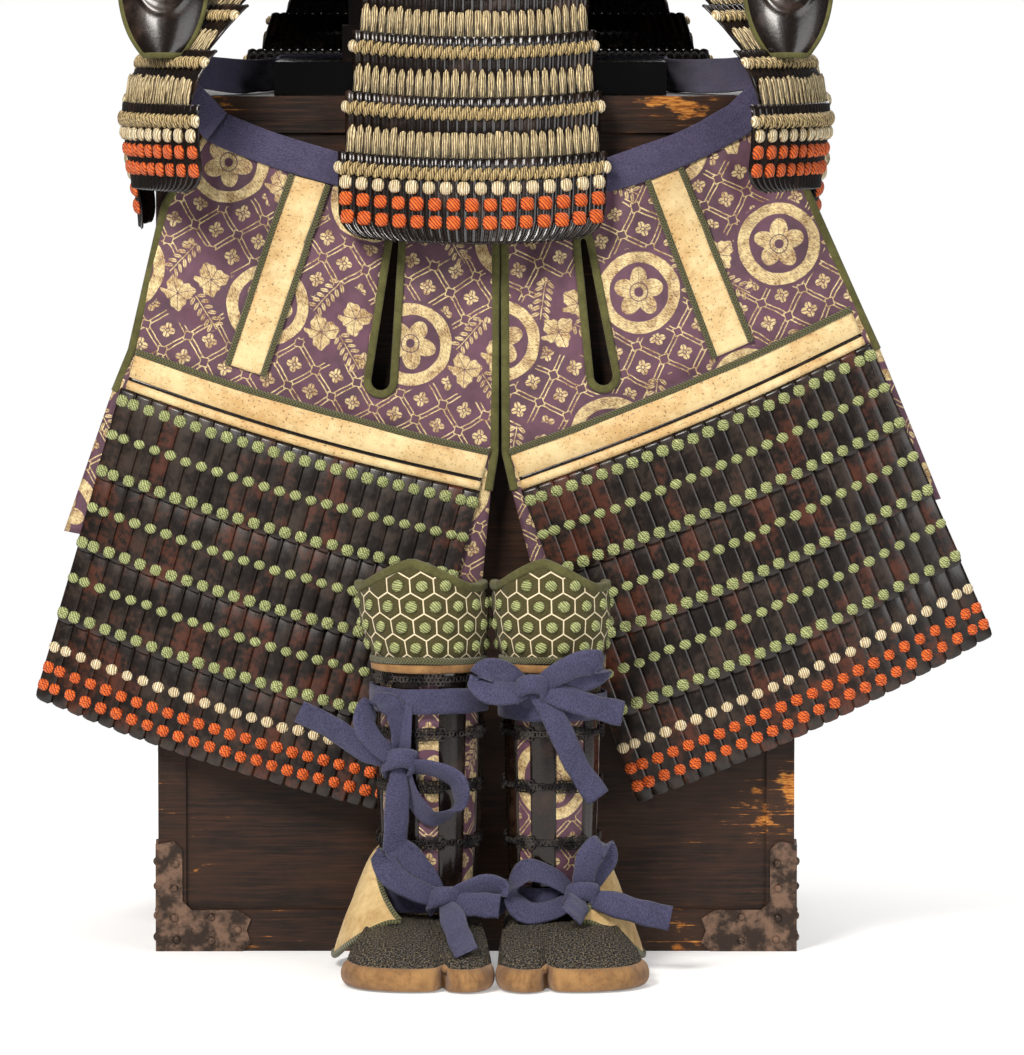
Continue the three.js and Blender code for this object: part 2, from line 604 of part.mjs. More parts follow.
for (const { name } of SIDES) {
  const surface = clothSurface(name);
  const [innerU, outerU] = name === 'left' ? [1, 0] : [0, 1];
  const inward = name === 'left' ? -1 : 1;
  const boundPlaces = CLOTH.rowPlaces.filter((place) => place >= BINDING.head && place <= BINDING.foot);
  add(`haidate_cloth_${name}`, thighCloth(name), 'brocade');
  add(`haidate_edge_${name}`, edgeBinding(surface, outerU, -inward, boundPlaces), 'binding');
  add(`haidate_centre_${name}`, edgeBinding(surface, innerU, inward, boundPlaces), 'binding');
  add(`slit_binding_${name}`, slitBinding(name), 'binding');
  add(`haidate_strap_${name}`, thighStrap(name), 'leather');
  add(`haidate_band_${name}`, thighBand(name), 'leather');
  for (let tier = 0; tier < PLATES.tierFeet.length; tier += 1) {
    add(`haidate_tier_${name}_${tier + 1}`, scaleTier(name, tier), 'plates');
  }
}
add('haidate_waistband', waistband(), 'crepe');

// Laced panels: stepped lames and their lacing in one wall, hung along a drape line
function lameRows(length, width, narrowing, topWidth) {
  const rows = [{ run: 0, width: topWidth, lift: 0 }];
  const count = Math.floor((length - LAME.bottom) / LAME.pitch) + 1;
  for (let lame = count - 1; lame >= 0; lame -= 1) {
    const top = length - LAME.bottom - lame * LAME.pitch;
    const foot = lame === 0 ? length - LAME.cornerRadius : top + LAME.pitch;
    const share = Math.max(0, width - narrowing * lame);
    if (lame === count - 1) {
      rows.push({ run: top - 0.6, width: topWidth, lift: 0 });
    }
    rows.push({ run: top, width: share, lift: LAME.lip });
    rows.push({ run: foot - 0.7, width: share, lift: lame === 0 ? 1.5 : 0.3 });
  }
  for (const turn of [40, 90]) {
    const inset = LAME.cornerRadius * (1 - Math.cos(degToRad(turn)));
    const drop = LAME.cornerRadius * Math.sin(degToRad(turn));
    rows.push({ run: length - LAME.cornerRadius + drop, width: width - 2 * inset, lift: 0.8 });
  }
  return rows;
}

function lacedPanel({ line, facingFrom, facingTo, radiusFrom, radiusTo, rows, columns }) {
  const length = line.getLength();
  const skin = (depth) => rows.map(({ run, width, lift }) => {
    const share = THREE.MathUtils.clamp(run / length, 0, 1);
    const turn = 1 - (1 - share) ** 2;
    const middle = line.getPointAt(share);
    const flat = lerp(radiusFrom, radiusTo, turn);
    const radius = flat + (depth === null ? lift : depth);
    const facing = degToRad(lerp(facingFrom, facingTo, turn));
    return steps(columns, -0.5, 0.5).map((across) => {
      const angle = facing + across * width / flat;
      const centreX = middle.x - flat * Math.sin(facing);
      const centreY = middle.y + flat * Math.cos(facing);
      return point(centreX + radius * Math.sin(angle), centreY - radius * Math.cos(angle), middle.z);
    });
  });
  return shell(skin(null), skin(-LAME.thickness));
}

// The point and facing on the waist ellipse at an arc length from its front
function waistPlace(arc) {
  const { halfWidth, halfDepth } = TORSO_RINGS[0];
  const at = (angle) => point(halfWidth * Math.sin(angle), TORSO_Y - halfDepth * Math.cos(angle), 0);
  let travelled = 0;
  let angle = 0;
  const pace = degToRad(0.25);
  while (travelled < arc) {
    travelled += at(angle).distanceTo(at(angle + pace));
    angle += pace;
  }
  const facing = Math.atan2(Math.sin(angle) / halfWidth, Math.cos(angle) / halfDepth);
  return { at: at(angle), facing: THREE.MathUtils.radToDeg(facing) };
}

function tasset(spec, sign) {
  const waist = waistPlace(spec.waistArc);
  const top = point(sign * waist.at.x, waist.at.y, WAIST_Z - SEAM * 2);
  const foot = point(sign * spec.x, spec.y, spec.z);
  const points = spec.bendZ === null
    ? [top, top.clone().lerp(foot, 0.5), foot]
    : [top, point(lerp(top.x, foot.x, 0.5), lerp(top.y, foot.y, 0.5), lerp(top.z, spec.bendZ, 0.46)),
      point(foot.x, foot.y, spec.bendZ), foot];
  const line = new THREE.CatmullRomCurve3(points);
  return lacedPanel({
    line, facingFrom: sign * waist.facing, facingTo: sign * spec.facing,
    radiusFrom: spec.waistRadius, radiusTo: spec.radius,
    rows: lameRows(line.getLength(), spec.width, spec.narrowing, spec.waistWidth), columns: spec.columns,
  });
}

for (const spec of TASSETS) {
  if (spec.part === 'front') {
    add('tasset_front', tasset(spec, 1), 'laces');
  } else {
    for (const { name, sign } of SIDES) {
      add(`tasset_${spec.part}_${name}`, tasset(spec, sign), 'laces');
    }
  }
}

// Body armour: a front and a back wall of stepped lames, open at neck, arms and waist
function cuirassHalf(facing) {
  const armhole = (angle) => smoothstep(Math.abs(angle), degToRad(38), degToRad(74));
  const neck = (angle) => 1 - smoothstep(Math.abs(angle), 0, degToRad(30));
  const topZ = (angle) => lerp(CUIRASS.topZ, CUIRASS.armholeZ, armhole(angle)) - CUIRASS.neckDip * neck(angle);
  const halfAngle = Math.PI / 2 - CUIRASS.sideSeam;
  const rows = [{ share: 0, lift: 0 }];
  for (let lame = 0; lame < CUIRASS.lames; lame += 1) {
    rows.push({ share: (lame + 0.3) / CUIRASS.lames, lift: 0 });
    rows.push({ share: (lame + 0.31) / CUIRASS.lames, lift: CUIRASS.lip });
  }
  rows.push({ share: 1, lift: 1 });
  const skin = (depth) => rows.map(({ share, lift }) => steps(8, -halfAngle, halfAngle).map((angle) => {
    const z = lerp(topZ(angle), WAIST_Z, share);
    const ring = rowAt(TORSO_RINGS, 'z', z);
    const extra = depth === null ? lift : depth;
    const y = TORSO_Y + facing * (ring.halfDepth + extra) * Math.cos(angle);
    return point((ring.halfWidth + extra) * Math.sin(angle), y, z);
  }));
  return shell(skin(null), skin(-CUIRASS.thickness));
}

// Shoulder strap from the front wall to the back one, with the wing that carries sleeve and guard
function shoulderStrap(sign) {
  const { x, width, thickness, topZ, footZ, frontY, backY, wingReach, wingWidth } = STRAP;
  const path = new THREE.CatmullRomCurve3([
    point(sign * x, frontY, footZ), point(sign * x, frontY, footZ + 50), point(sign * x, frontY + 40, topZ),
    point(sign * x, STAND.y, topZ), point(sign * x, backY - 40, topZ), point(sign * x, backY, footZ + 50),
    point(sign * x, backY, footZ),
  ]);
  const stations = steps(8).map((share) => {
    const along = path.getTangentAt(share);
    const across = point(1, 0, 0);
    return { at: path.getPointAt(share), a: across, b: along.clone().cross(across) };
  });
  const [half, thick] = [width / 2, thickness / 2];
  const band = sweep(stations, () => [[-half, -thick], [half, -thick], [half, thick], [-half, thick]]);
  const reach = wingReach - x;
  const wing = block(reach, wingWidth, thickness - 2, sign * (x + reach / 2), STAND.y, topZ - thickness / 2 + 1);
  return joined([band, wing]);
}

add('cuirass_front', cuirassHalf(-1), 'laces');
add('cuirass_back', cuirassHalf(1), 'laces');
for (const { name, sign } of SIDES) {
  add(`shoulder_strap_${name}`, shoulderStrap(sign), 'leather');
}

// Shoulder guards, sleeves and hand guards
function shoulderGuard(sign) {
  const { x, y, z, footX, footY, footZ, facing, radius, width, columns } = SHOULDER_GUARD;
  const line = new THREE.CatmullRomCurve3([
    point(sign * x, y, z + 24), point(sign * lerp(x, footX, 0.6), lerp(y, footY, 0.5), lerp(z, footZ, 0.5)),
    point(sign * footX, footY, footZ),
  ]);
  return lacedPanel({
    line, facingFrom: sign * facing, facingTo: sign * facing, radiusFrom: radius, radiusTo: radius,
    rows: lameRows(line.getLength(), width, 3, width - 24), columns,
  });
}

function sleeve(sign) {
  const path = new THREE.CatmullRomCurve3(SLEEVE_RINGS.map(({ x, y, z }) => point(sign * x, y, z)));
  const skin = (inset) => SLEEVE_RINGS.map(({ radius }, index) => {
    const share = index / (SLEEVE_RINGS.length - 1);
    const along = path.getTangent(share);
    const across = along.clone().cross(point(0, 1, 0)).normalize();
    const over = across.clone().cross(along).normalize();
    return steps(SLEEVE.sides - 1, 0, 2 * Math.PI * (1 - 1 / SLEEVE.sides)).map((angle) => path.getPoint(share)
      .addScaledVector(across, (radius - inset) * Math.cos(angle))
      .addScaledVector(over, (radius - inset) * Math.sin(angle)));
  });
  return shell(skin(0), skin(SLEEVE.thickness), true);
}

function handGuard(sign) {
  const { length, width, thickness, crown, x, y, z, lean } = HAND_GUARD;
  const surface = (u, v) => {
    const [across, down] = [2 * u - 1, 2 * v - 1];
    const half = 0.5 * Math.sqrt(Math.max(0.16, 1 - 0.86 * down ** 2));
    const bulge = crown * (1 - across ** 2) * (1 - 0.5 * down ** 2);
    return point(sign * x + across * half * width, y - bulge - lean * v, z + (0.5 - v) * length);
  };
  return wallOn(surface, steps(5), steps(6), thickness, 0);
}

for (const { name, sign } of SIDES) {
  add(`shoulder_guard_${name}`, shoulderGuard(sign), 'laces');
  add(`sleeve_${name}`, sleeve(sign), 'brocade');
  add(`hand_guard_${name}`, handGuard(sign), 'lacquer');
}

// Helmet: a bowl with its visor and turned-back wings, and the laced neck guard
function helmetBowl() {
  const { z, radius, height, thickness, y, stretch, visorReach, visorDrop } = HELMET;
  const profile = [];
  for (const angle of steps(5, 90, 0)) {
    profile.push(new THREE.Vector2(radius * Math.cos(degToRad(angle)), height * Math.sin(degToRad(angle))));
  }
  for (const angle of steps(5, 0, 90)) {
    const inner = [radius - thickness, height - thickness];
    profile.push(new THREE.Vector2(inner[0] * Math.cos(degToRad(angle)), inner[1] * Math.sin(degToRad(angle))));
  }
  profile[0].x = 0;
  profile[profile.length - 1].x = 0;
  const dome = new THREE.LatheGeometry(profile, 16).rotateX(Math.PI / 2).scale(1, stretch, 1).translate(STAND.x, y, z);
  const brim = (u, v) => {
    const angle = degToRad(lerp(-66, 66, u));
    const reach = radius - 4 + visorReach * v * Math.cos(angle) ** 0.6;
    return point(STAND.x + reach * Math.sin(angle), y - stretch * reach * Math.cos(angle), z + 6 - visorDrop * v);
  };
  const visor = wallOn(brim, steps(7), steps(1), thickness, 0);
  return joined([turnedOut(dome), visor]);
}

function neckGuard() {
  const { lames, lameHeight, thickness, lip, topRadius, bottomRadius, opening } = NECK_GUARD;
  const rows = [];
  for (let lame = 0; lame < lames; lame += 1) {
    rows.push({ share: lame / lames, lift: lip }, { share: (lame + 0.96) / lames, lift: 0 });
  }
  const skin = (depth) => rows.map(({ share, lift }) => steps(12, opening, 360 - opening).map((degrees) => {
    const angle = degToRad(degrees);
    const reach = lerp(topRadius, bottomRadius, share ** 0.8) + (depth === null ? lift : depth);
    const z = HELMET.z + NECK_GUARD.lap - lames * lameHeight * share;
    return point(STAND.x + reach * Math.sin(angle), HELMET.y - HELMET.stretch * reach * Math.cos(angle), z);
  }));
  return shell(skin(null), skin(-thickness));
}

add('helmet_bowl', helmetBowl(), 'lacquer');
add('helmet_neck_guard', neckGuard(), 'laces');

// Legs: shin and knee guards wrap an empty leg, foot guards stand on the floor
function legSurface(centreX, halfWidth, halfDepth) {
  return (degrees, z, scale = 1) => {
    const angle = degToRad(degrees);
    return point(centreX + halfWidth * scale * Math.sin(angle), LEG_Y - halfDepth * scale * Math.cos(angle), z);
  };
}

function shinScale(z) {
  const share = (z - SHIN.footZ) / (SHIN.topZ - SHIN.footZ);
  return lerp(SHIN.ankleScale, 1, Math.sin(share * Math.PI / 2));
}

function shinGuard(side) {
  const leg = LEGS[side];
  const place = legSurface(leg.x, leg.shinHalfWidth, SHIN.halfDepth);
  const columns = [{ angle: -SHIN.wrap, lift: 0 }];
  for (const middle of leg.splints) {
    columns.push(
      { angle: middle - SPLINT_HALF_ANGLE - 1, lift: 0 }, { angle: middle - SPLINT_HALF_ANGLE, lift: 1 },
      { angle: middle + SPLINT_HALF_ANGLE, lift: 1 }, { angle: middle + SPLINT_HALF_ANGLE + 1, lift: 0 });
  }
  columns.push({ angle: SHIN.wrap, lift: 0 });
  const zs = steps(3, SHIN.topZ, SHIN.footZ);
  const skin = (depth) => zs.map((z) => columns.map(({ angle, lift }) => {
    const extra = depth === null ? lift * SHIN.relief : depth;
    return place(angle, z, shinScale(z) + extra / leg.shinHalfWidth);
  }));
  return shell(skin(null), skin(-SHIN.thickness));
}

function kneeGuard(side) {
  const leg = LEGS[side];
  const rows = steps(3, 1, 0);
  const skin = (inset) => rows.map((rise) => steps(10, -KNEE.wrap, KNEE.wrap).map((angle) => {
    const fall = Math.min(1, Math.abs(angle - KNEE.peak) / 62);
    const height = KNEE.height - KNEE.drop * fall;
    const bulge = KNEE.bulge * Math.sin(Math.PI * rise);
    const centreX = lerp(leg.x, leg.kneeX, rise);
    const halfWidth = lerp(leg.shinHalfWidth, leg.shinHalfWidth * KNEE.flare, rise) + bulge - inset;
    const halfDepth = lerp(SHIN.halfDepth, SHIN.halfDepth * 1.14, rise) + bulge - inset;
    return legSurface(centreX, halfWidth, halfDepth)(angle, SHIN.topZ + SEAM + height * rise);
  }));
  return shell(skin(0), skin(KNEE.thickness));
}

function footGuard(side, sign) {
  const centreX = LEGS[side].footX;
  const outline = new THREE.CatmullRomCurve3(
    FOOT_OUTLINE.map(({ across, along }) => point(-sign * across, along, 0)), true);
  const ankle = (index, radius) => {
    const angle = -Math.PI / 2 + sign * -2 * Math.PI * index / FOOT.samples;
    return point(LEGS[side].x - centreX + radius * Math.cos(angle), LEG_Y - radius * Math.sin(angle), 0);
  };
  const skin = (inset) => FOOT_ROWS.map(({ reach, z }) => steps(FOOT.samples - 1, 0, FOOT.samples - 1).map((index) => {
    const edge = outline.getPoint(Math.round(index) / FOOT.samples);
    const inward = point(0, LEG_Y - 60, 0).sub(edge).setLength(inset);
    const rim = ankle(Math.round(index), FOOT.ankleRadius - inset);
    const place = rim.lerp(edge.add(inward), reach);
    const lowered = reach > 0.99 ? 0 : inset * 0.9;
    return point(centreX + place.x, place.y, z - (reach === 0 ? 0 : lowered));
  }));
  return shell(skin(0), skin(FOOT.wall), true);
}

// Leather flap round the outer side of the ankle
function ankleFlap(side, sign) {
  const { topZ, footZ, flare, from, to, thickness, stand } = ANKLE_FLAP;
  const leg = LEGS[side];
  const scale = shinScale(topZ);
  const skin = (lift) => steps(3).map((share) => steps(6, from, to).map((degrees) => {
    const extra = SHIN.relief + stand + flare * share ** 1.3 + lift;
    return legSurface(leg.x, leg.shinHalfWidth * scale + extra, SHIN.halfDepth * scale + extra)(
      sign * degrees, lerp(topZ, footZ, share));
  }));
  return shell(skin(thickness), skin(0));
}

// A ribbon along a path, with the way its width faces at both ends
function ribbon(points, across, width = TIE.width) {
  const path = new THREE.CatmullRomCurve3(points);
  const stations = steps(points.length - 1).map((share) => {
    const along = path.getTangentAt(share);
    const flat = across.clone().addScaledVector(along, -across.dot(along)).normalize();
    return { at: path.getPointAt(share), a: flat, b: along.cross(flat) };
  });
  const [half, thick] = [width / 2, TIE.thickness / 2];
  return sweep(stations, () => [[-half, -thick], [half, -thick], [half, thick], [-half, thick]]);
}

function tie({ leg, ringZ, knotX, knotZ, loops, ends }) {
  const { x, shinHalfWidth } = LEGS[leg];
  const scale = shinScale(ringZ + TIE.width / 2);
  const swell = SHIN.relief + TIE.clearance;
  const ringAt = (degrees, out) => {
    const angle = degToRad(degrees);
    const back = Math.cos(angle) < 0 ? 0.72 : 1;
    return point(x + (shinHalfWidth * scale + out) * Math.sin(angle),
      LEG_Y - (SHIN.halfDepth * scale + out) * back * Math.cos(angle), 0);
  };
  const heights = [ringZ + TIE.width / 2, ringZ - TIE.width / 2];
  const ring = shell(...[swell + TIE.thickness, swell].map((out) => heights.map((z) => steps(11, 0, 330).map(
    (degrees) => ringAt(degrees, out).setZ(z)))), true);
  const share = THREE.MathUtils.clamp((knotX - x) / (shinHalfWidth + 12), -0.9, 0.9);
  const knotY = LEG_Y - (SHIN.halfDepth + 8) * Math.sqrt(1 - share ** 2) - 5;
  const knot = new THREE.SphereGeometry(1, 6, 4).scale(15, 9, 13).translate(knotX, knotY, knotZ);
  const hub = point(knotX, knotY, knotZ);
  const away = (degrees, reach, out) => hub.clone().add(
    point(reach * Math.cos(degToRad(degrees)), -out, reach * Math.sin(degToRad(degrees))));
  const facing = (degrees) => point(-Math.sin(degToRad(degrees)), 0, Math.cos(degToRad(degrees)));
  const bow = ({ turn: degrees, length }) => ribbon([
    away(degrees, 4, 1), away(degrees, length * 0.5, 13), away(degrees, length * 0.95, 10),
    away(degrees, length * 0.95, 0), away(degrees, length * 0.5, -3), away(degrees, 4, -1),
  ], facing(degrees));
  const tail = ({ x: endX, out, z: endZ }) => ribbon([
    hub.clone().add(point(0, -3, 0)), hub.clone().add(point(endX * 0.5, -out * 0.5 - 3, endZ * 0.46)),
    hub.clone().add(point(endX, -out, endZ)),
  ], facing(THREE.MathUtils.radToDeg(Math.atan2(endZ, endX))));
  const landing = ringAt(share * 60, swell + TIE.thickness / 2).setZ(ringZ);
  const lead = ribbon([hub.clone(), hub.clone().lerp(landing, 0.5).add(point(0, -3, 0)), landing],
    point(Math.cos(degToRad(share * 60)), Math.sin(degToRad(share * 60)), 0), TIE.width * 0.9);
  return joined([turnedOut(knot), ring, lead, ...loops.map(bow), ...ends.map(tail)]);
}

for (const { name, sign } of SIDES) {
  add(`shin_guard_${name}`, shinGuard(name), 'lacquer');
  add(`knee_guard_${name}`, kneeGuard(name), 'binding');
  add(`foot_guard_${name}`, footGuard(name, sign), 'suede');
  add(`ankle_flap_${name}`, ankleFlap(name, sign), 'leather');
}
for (const spec of TIES) {
  add(spec.node, tie(spec), 'crepe');
}

export default armour;
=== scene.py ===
"""Samurai armour set up on a plain wooden stand over its storage chest: the looks of every piece.

Sizes are in millimetres until a mesh is built. +X is to the viewer's right, +Y to the back and +Z up.
"""

import logging
import math
from collections.abc import Callable, Iterable, Sequence
from dataclasses import dataclass, field
from enum import Enum

import bmesh
import bpy
from bpy.types import Material, Mesh, NodeSocket, NodeTree, Object
from mathutils import Matrix, Vector, noise


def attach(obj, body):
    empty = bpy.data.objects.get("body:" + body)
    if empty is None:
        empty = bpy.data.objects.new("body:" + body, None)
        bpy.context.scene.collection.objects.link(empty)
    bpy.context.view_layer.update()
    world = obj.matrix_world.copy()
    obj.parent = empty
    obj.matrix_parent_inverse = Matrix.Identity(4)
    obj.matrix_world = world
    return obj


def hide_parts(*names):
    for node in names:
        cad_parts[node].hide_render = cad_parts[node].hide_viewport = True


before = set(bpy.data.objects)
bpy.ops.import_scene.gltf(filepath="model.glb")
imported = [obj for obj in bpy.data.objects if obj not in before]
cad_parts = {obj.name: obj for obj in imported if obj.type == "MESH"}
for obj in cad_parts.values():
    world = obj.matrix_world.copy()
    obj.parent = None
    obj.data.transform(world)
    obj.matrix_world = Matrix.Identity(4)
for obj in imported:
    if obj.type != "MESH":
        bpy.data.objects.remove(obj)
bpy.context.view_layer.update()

LOG = logging.getLogger("armour")
MM = 0.001
TURN = 6.283  # a whole turn, in radians
DEGREES = 57.3  # degrees in a radian
SLANT = 0.7071  # the sine of 45 degrees
HEXAGON = 0.866  # the sine of 60 degrees
SHIN_SWEEP = 112  # how far round the leg a shin guard's cloth goes, in degrees
KNEE_SWEEP = 104  # the same of a knee guard
Pair = tuple[float, float]
Rows = list[list[Vector]]
Flat = list[list[Pair]]
Surface = Callable[[float, float], Vector]


class Side(Enum):
    """The two sides of the armour, as the viewer sees them."""

    LEFT = -1
    RIGHT = 1

    @property
    def word(self) -> str:
        """The side's name as the solids spell it."""
        return self.name.lower()


class Knot(Enum):
    """The shapes that a tied lace end takes on the surface."""

    ROUND = "round"
    CROSS = "cross"
    EYE = "eye"


def lerp(low: float, high: float, share: float) -> float:
    """The number a share of the way from low to high."""
    return low + (high - low) * share


def steps(count: int, low: float = 0.0, high: float = 1.0) -> list[float]:
    """Evenly spaced numbers from low to high, count spaces apart."""
    return [lerp(low, high, index / count) for index in range(count + 1)]


def eased(value: float, low: float, high: float) -> float:
    """A smooth rise from 0 at low to 1 at high."""
    share = min(1.0, max(0.0, (value - low) / (high - low)))
    return share * share * (3 - 2 * share)


def uneven(*place: float, seed: float = 0.0) -> float:
    """A smooth uneven value from about -1 to 1 over a place."""
    x, y, z = (*place, 0.0, 0.0, 0.0)[:3]
    return noise.noise(Vector((x + seed * 17.3, y - seed * 9.1, z + seed * 5.7))) * 1.6


# Numbers over a surface ------------------------------------------------------------------------


def feed(entry: NodeSocket, value: "Term | NodeSocket | float | tuple[float, ...]") -> None:
    """Link an input to what it reads, or set it to a plain value.

    Args:
        entry: the input.
        value: a changing number, a socket or a plain value.
    """
    source = value.socket if isinstance(value, Term) else value
    if isinstance(source, NodeSocket):
        entry.id_data.links.new(source, entry)
    else:
        entry.default_value = source


class Term:
    """A number that changes over a surface, built up as Math nodes by plain arithmetic."""

    def __init__(self, socket: NodeSocket) -> None:
        """Args:
            socket: the output that gives the number.
        """
        self.socket, self.tree = socket, socket.id_data

    def math(self, operation: str, *others: "Term | float") -> "Term":
        """One Math node on this number and the others.

        Args:
            operation: the Math node's operation.
            others: its further inputs.

        Returns:
            The node's result.
        """
        node = self.tree.nodes.new("ShaderNodeMath")
        node.operation = operation
        for entry, value in zip(node.inputs, (self, *others)):
            feed(entry, value)
        return Term(node.outputs[0])

    def __add__(self, other: "Term | float") -> "Term":
        """Sum."""
        return self.math("ADD", other)

    __radd__ = __add__

    def __sub__(self, other: "Term | float") -> "Term":
        """Difference."""
        return self.math("SUBTRACT", other)

    def __mul__(self, other: "Term | float") -> "Term":
        """Product."""
        return self.math("MULTIPLY", other)

    __rmul__ = __mul__

    def __truediv__(self, other: "Term | float") -> "Term":
        """Quotient."""
        return self.math("DIVIDE", other)

    def __abs__(self) -> "Term":
        """Size without sign."""
        return self.math("ABSOLUTE")

    def rest(self) -> "Term":
        """One minus this number."""
        return self.math("MULTIPLY", -1.0) + 1.0

    def cycle(self, pitch: float) -> "Term":
        """Distance from the middle of a repeat of this pitch, from minus half to plus half of it."""
        return (self / pitch).math("FRACT") * pitch - pitch / 2

    def soft(self, low: float, high: float) -> "Term":
        """A smooth rise from 0 to 1, or a fall where low is the larger.

        Args:
            low, high: where this number gives 0 and where it gives 1.

        Returns:
            The rise.
        """
        node = self.tree.nodes.new("ShaderNodeMapRange")
        node.interpolation_type = "SMOOTHSTEP"
        low, high, start, end = (high, low, 1.0, 0.0) if low > high else (low, high, 0.0, 1.0)
        for key, value in (("Value", self), ("From Min", low), ("From Max", high), ("To Min", start), ("To Max", end)):
            feed(node.inputs[key], value)
        return Term(node.outputs["Result"])

    def line(self, middle: float, half: float, blur: float = 0.35) -> "Term":
        """A soft-edged mask of the places where this number is within half of middle."""
        return abs(self - middle).soft(half + blur, half - blur)


def both(first: Term, second: Term) -> Term:
    """The larger of two masks."""
    return first.math("MAXIMUM", second)


def length_of(first: Term, second: Term) -> Term:
    """Distance from two legs."""
    return (first * first + second * second).math("SQRT")


def patchy(x: Term, y: Term, z: Term | float = 0.0, detail: float = 3, roughness: float = 0.55) -> Term:
    """Noise over a place whose unit is the size of one patch.

    Args:
        x, y, z: the place.
        detail: how many finer layers it has.
        roughness: how strong those are.

    Returns:
        The noise, from 0 to 1 and mostly near a half.
    """
    join, node = x.tree.nodes.new("ShaderNodeCombineXYZ"), x.tree.nodes.new("ShaderNodeTexNoise")
    for entry, value in zip(join.inputs, (x, y, z)):
        feed(entry, value)
    for key, value in (("Scale", 1.0), ("Detail", detail), ("Roughness", roughness), ("Vector", join.outputs[0])):
        feed(node.inputs[key], value)
    return Term(node.outputs[0])


def effect(name: str, inputs: dict[str, float], build: Callable[..., Term]) -> NodeTree:
    """A shader node group of one effect, built the first time that it is asked for.

    Args:
        name: the group's name.
        inputs: its inputs and their usual values.
        build: makes the effect from one Term for each input.

    Returns:
        The group, whose one output is called Value.
    """
    if name in bpy.data.node_groups:
        return bpy.data.node_groups[name]
    tree = bpy.data.node_groups.new(name, "ShaderNodeTree")
    for key, usual in inputs.items():
        tree.interface.new_socket(key, in_out="INPUT", socket_type="NodeSocketFloat").default_value = usual
    tree.interface.new_socket("Value", in_out="OUTPUT", socket_type="NodeSocketFloat")
    entry = tree.nodes.new("NodeGroupInput")
    result = build(*(Term(entry.outputs[key]) for key in inputs))
    feed(tree.nodes.new("NodeGroupOutput").inputs["Value"], result)
    return tree


def weave_height(u: Term, v: Term, pitch: Term) -> Term:
    """Plain weave: threads that go over and under each other."""
    across, along = (u / pitch * TURN).math("SINE"), (v / pitch * TURN).math("SINE")
    return across * along * 0.5 + patchy(u / 3.0, v / 3.0, 0.0, 3, 0.6)


def strand_height(u: Term, v: Term, pitch: Term) -> Term:
    """Fine silk strands lying side by side, wavering a little."""
    sway = patchy(u / 4.0, v / 14.0, 0.0, 2, 0.5) * 3.0
    return ((u + sway) / pitch * TURN).math("SINE") * 0.5 + 0.5


def mottle_value(u: Term, v: Term, size: Term) -> Term:
    """Cloudy unevenness with finer spots in it, from 0 to 1.

    Args:
        u, v: the place.
        size: the size of a cloud.

    Returns:
        The unevenness.
    """
    broad = patchy(u / size, v / size, 0.3, 5, 0.62)
    fine = patchy(u / size * 5.0, v / size * 5.0, 4.1, 3, 0.6)
    return (broad * 0.7 + fine * 0.3).soft(0.32, 0.68)


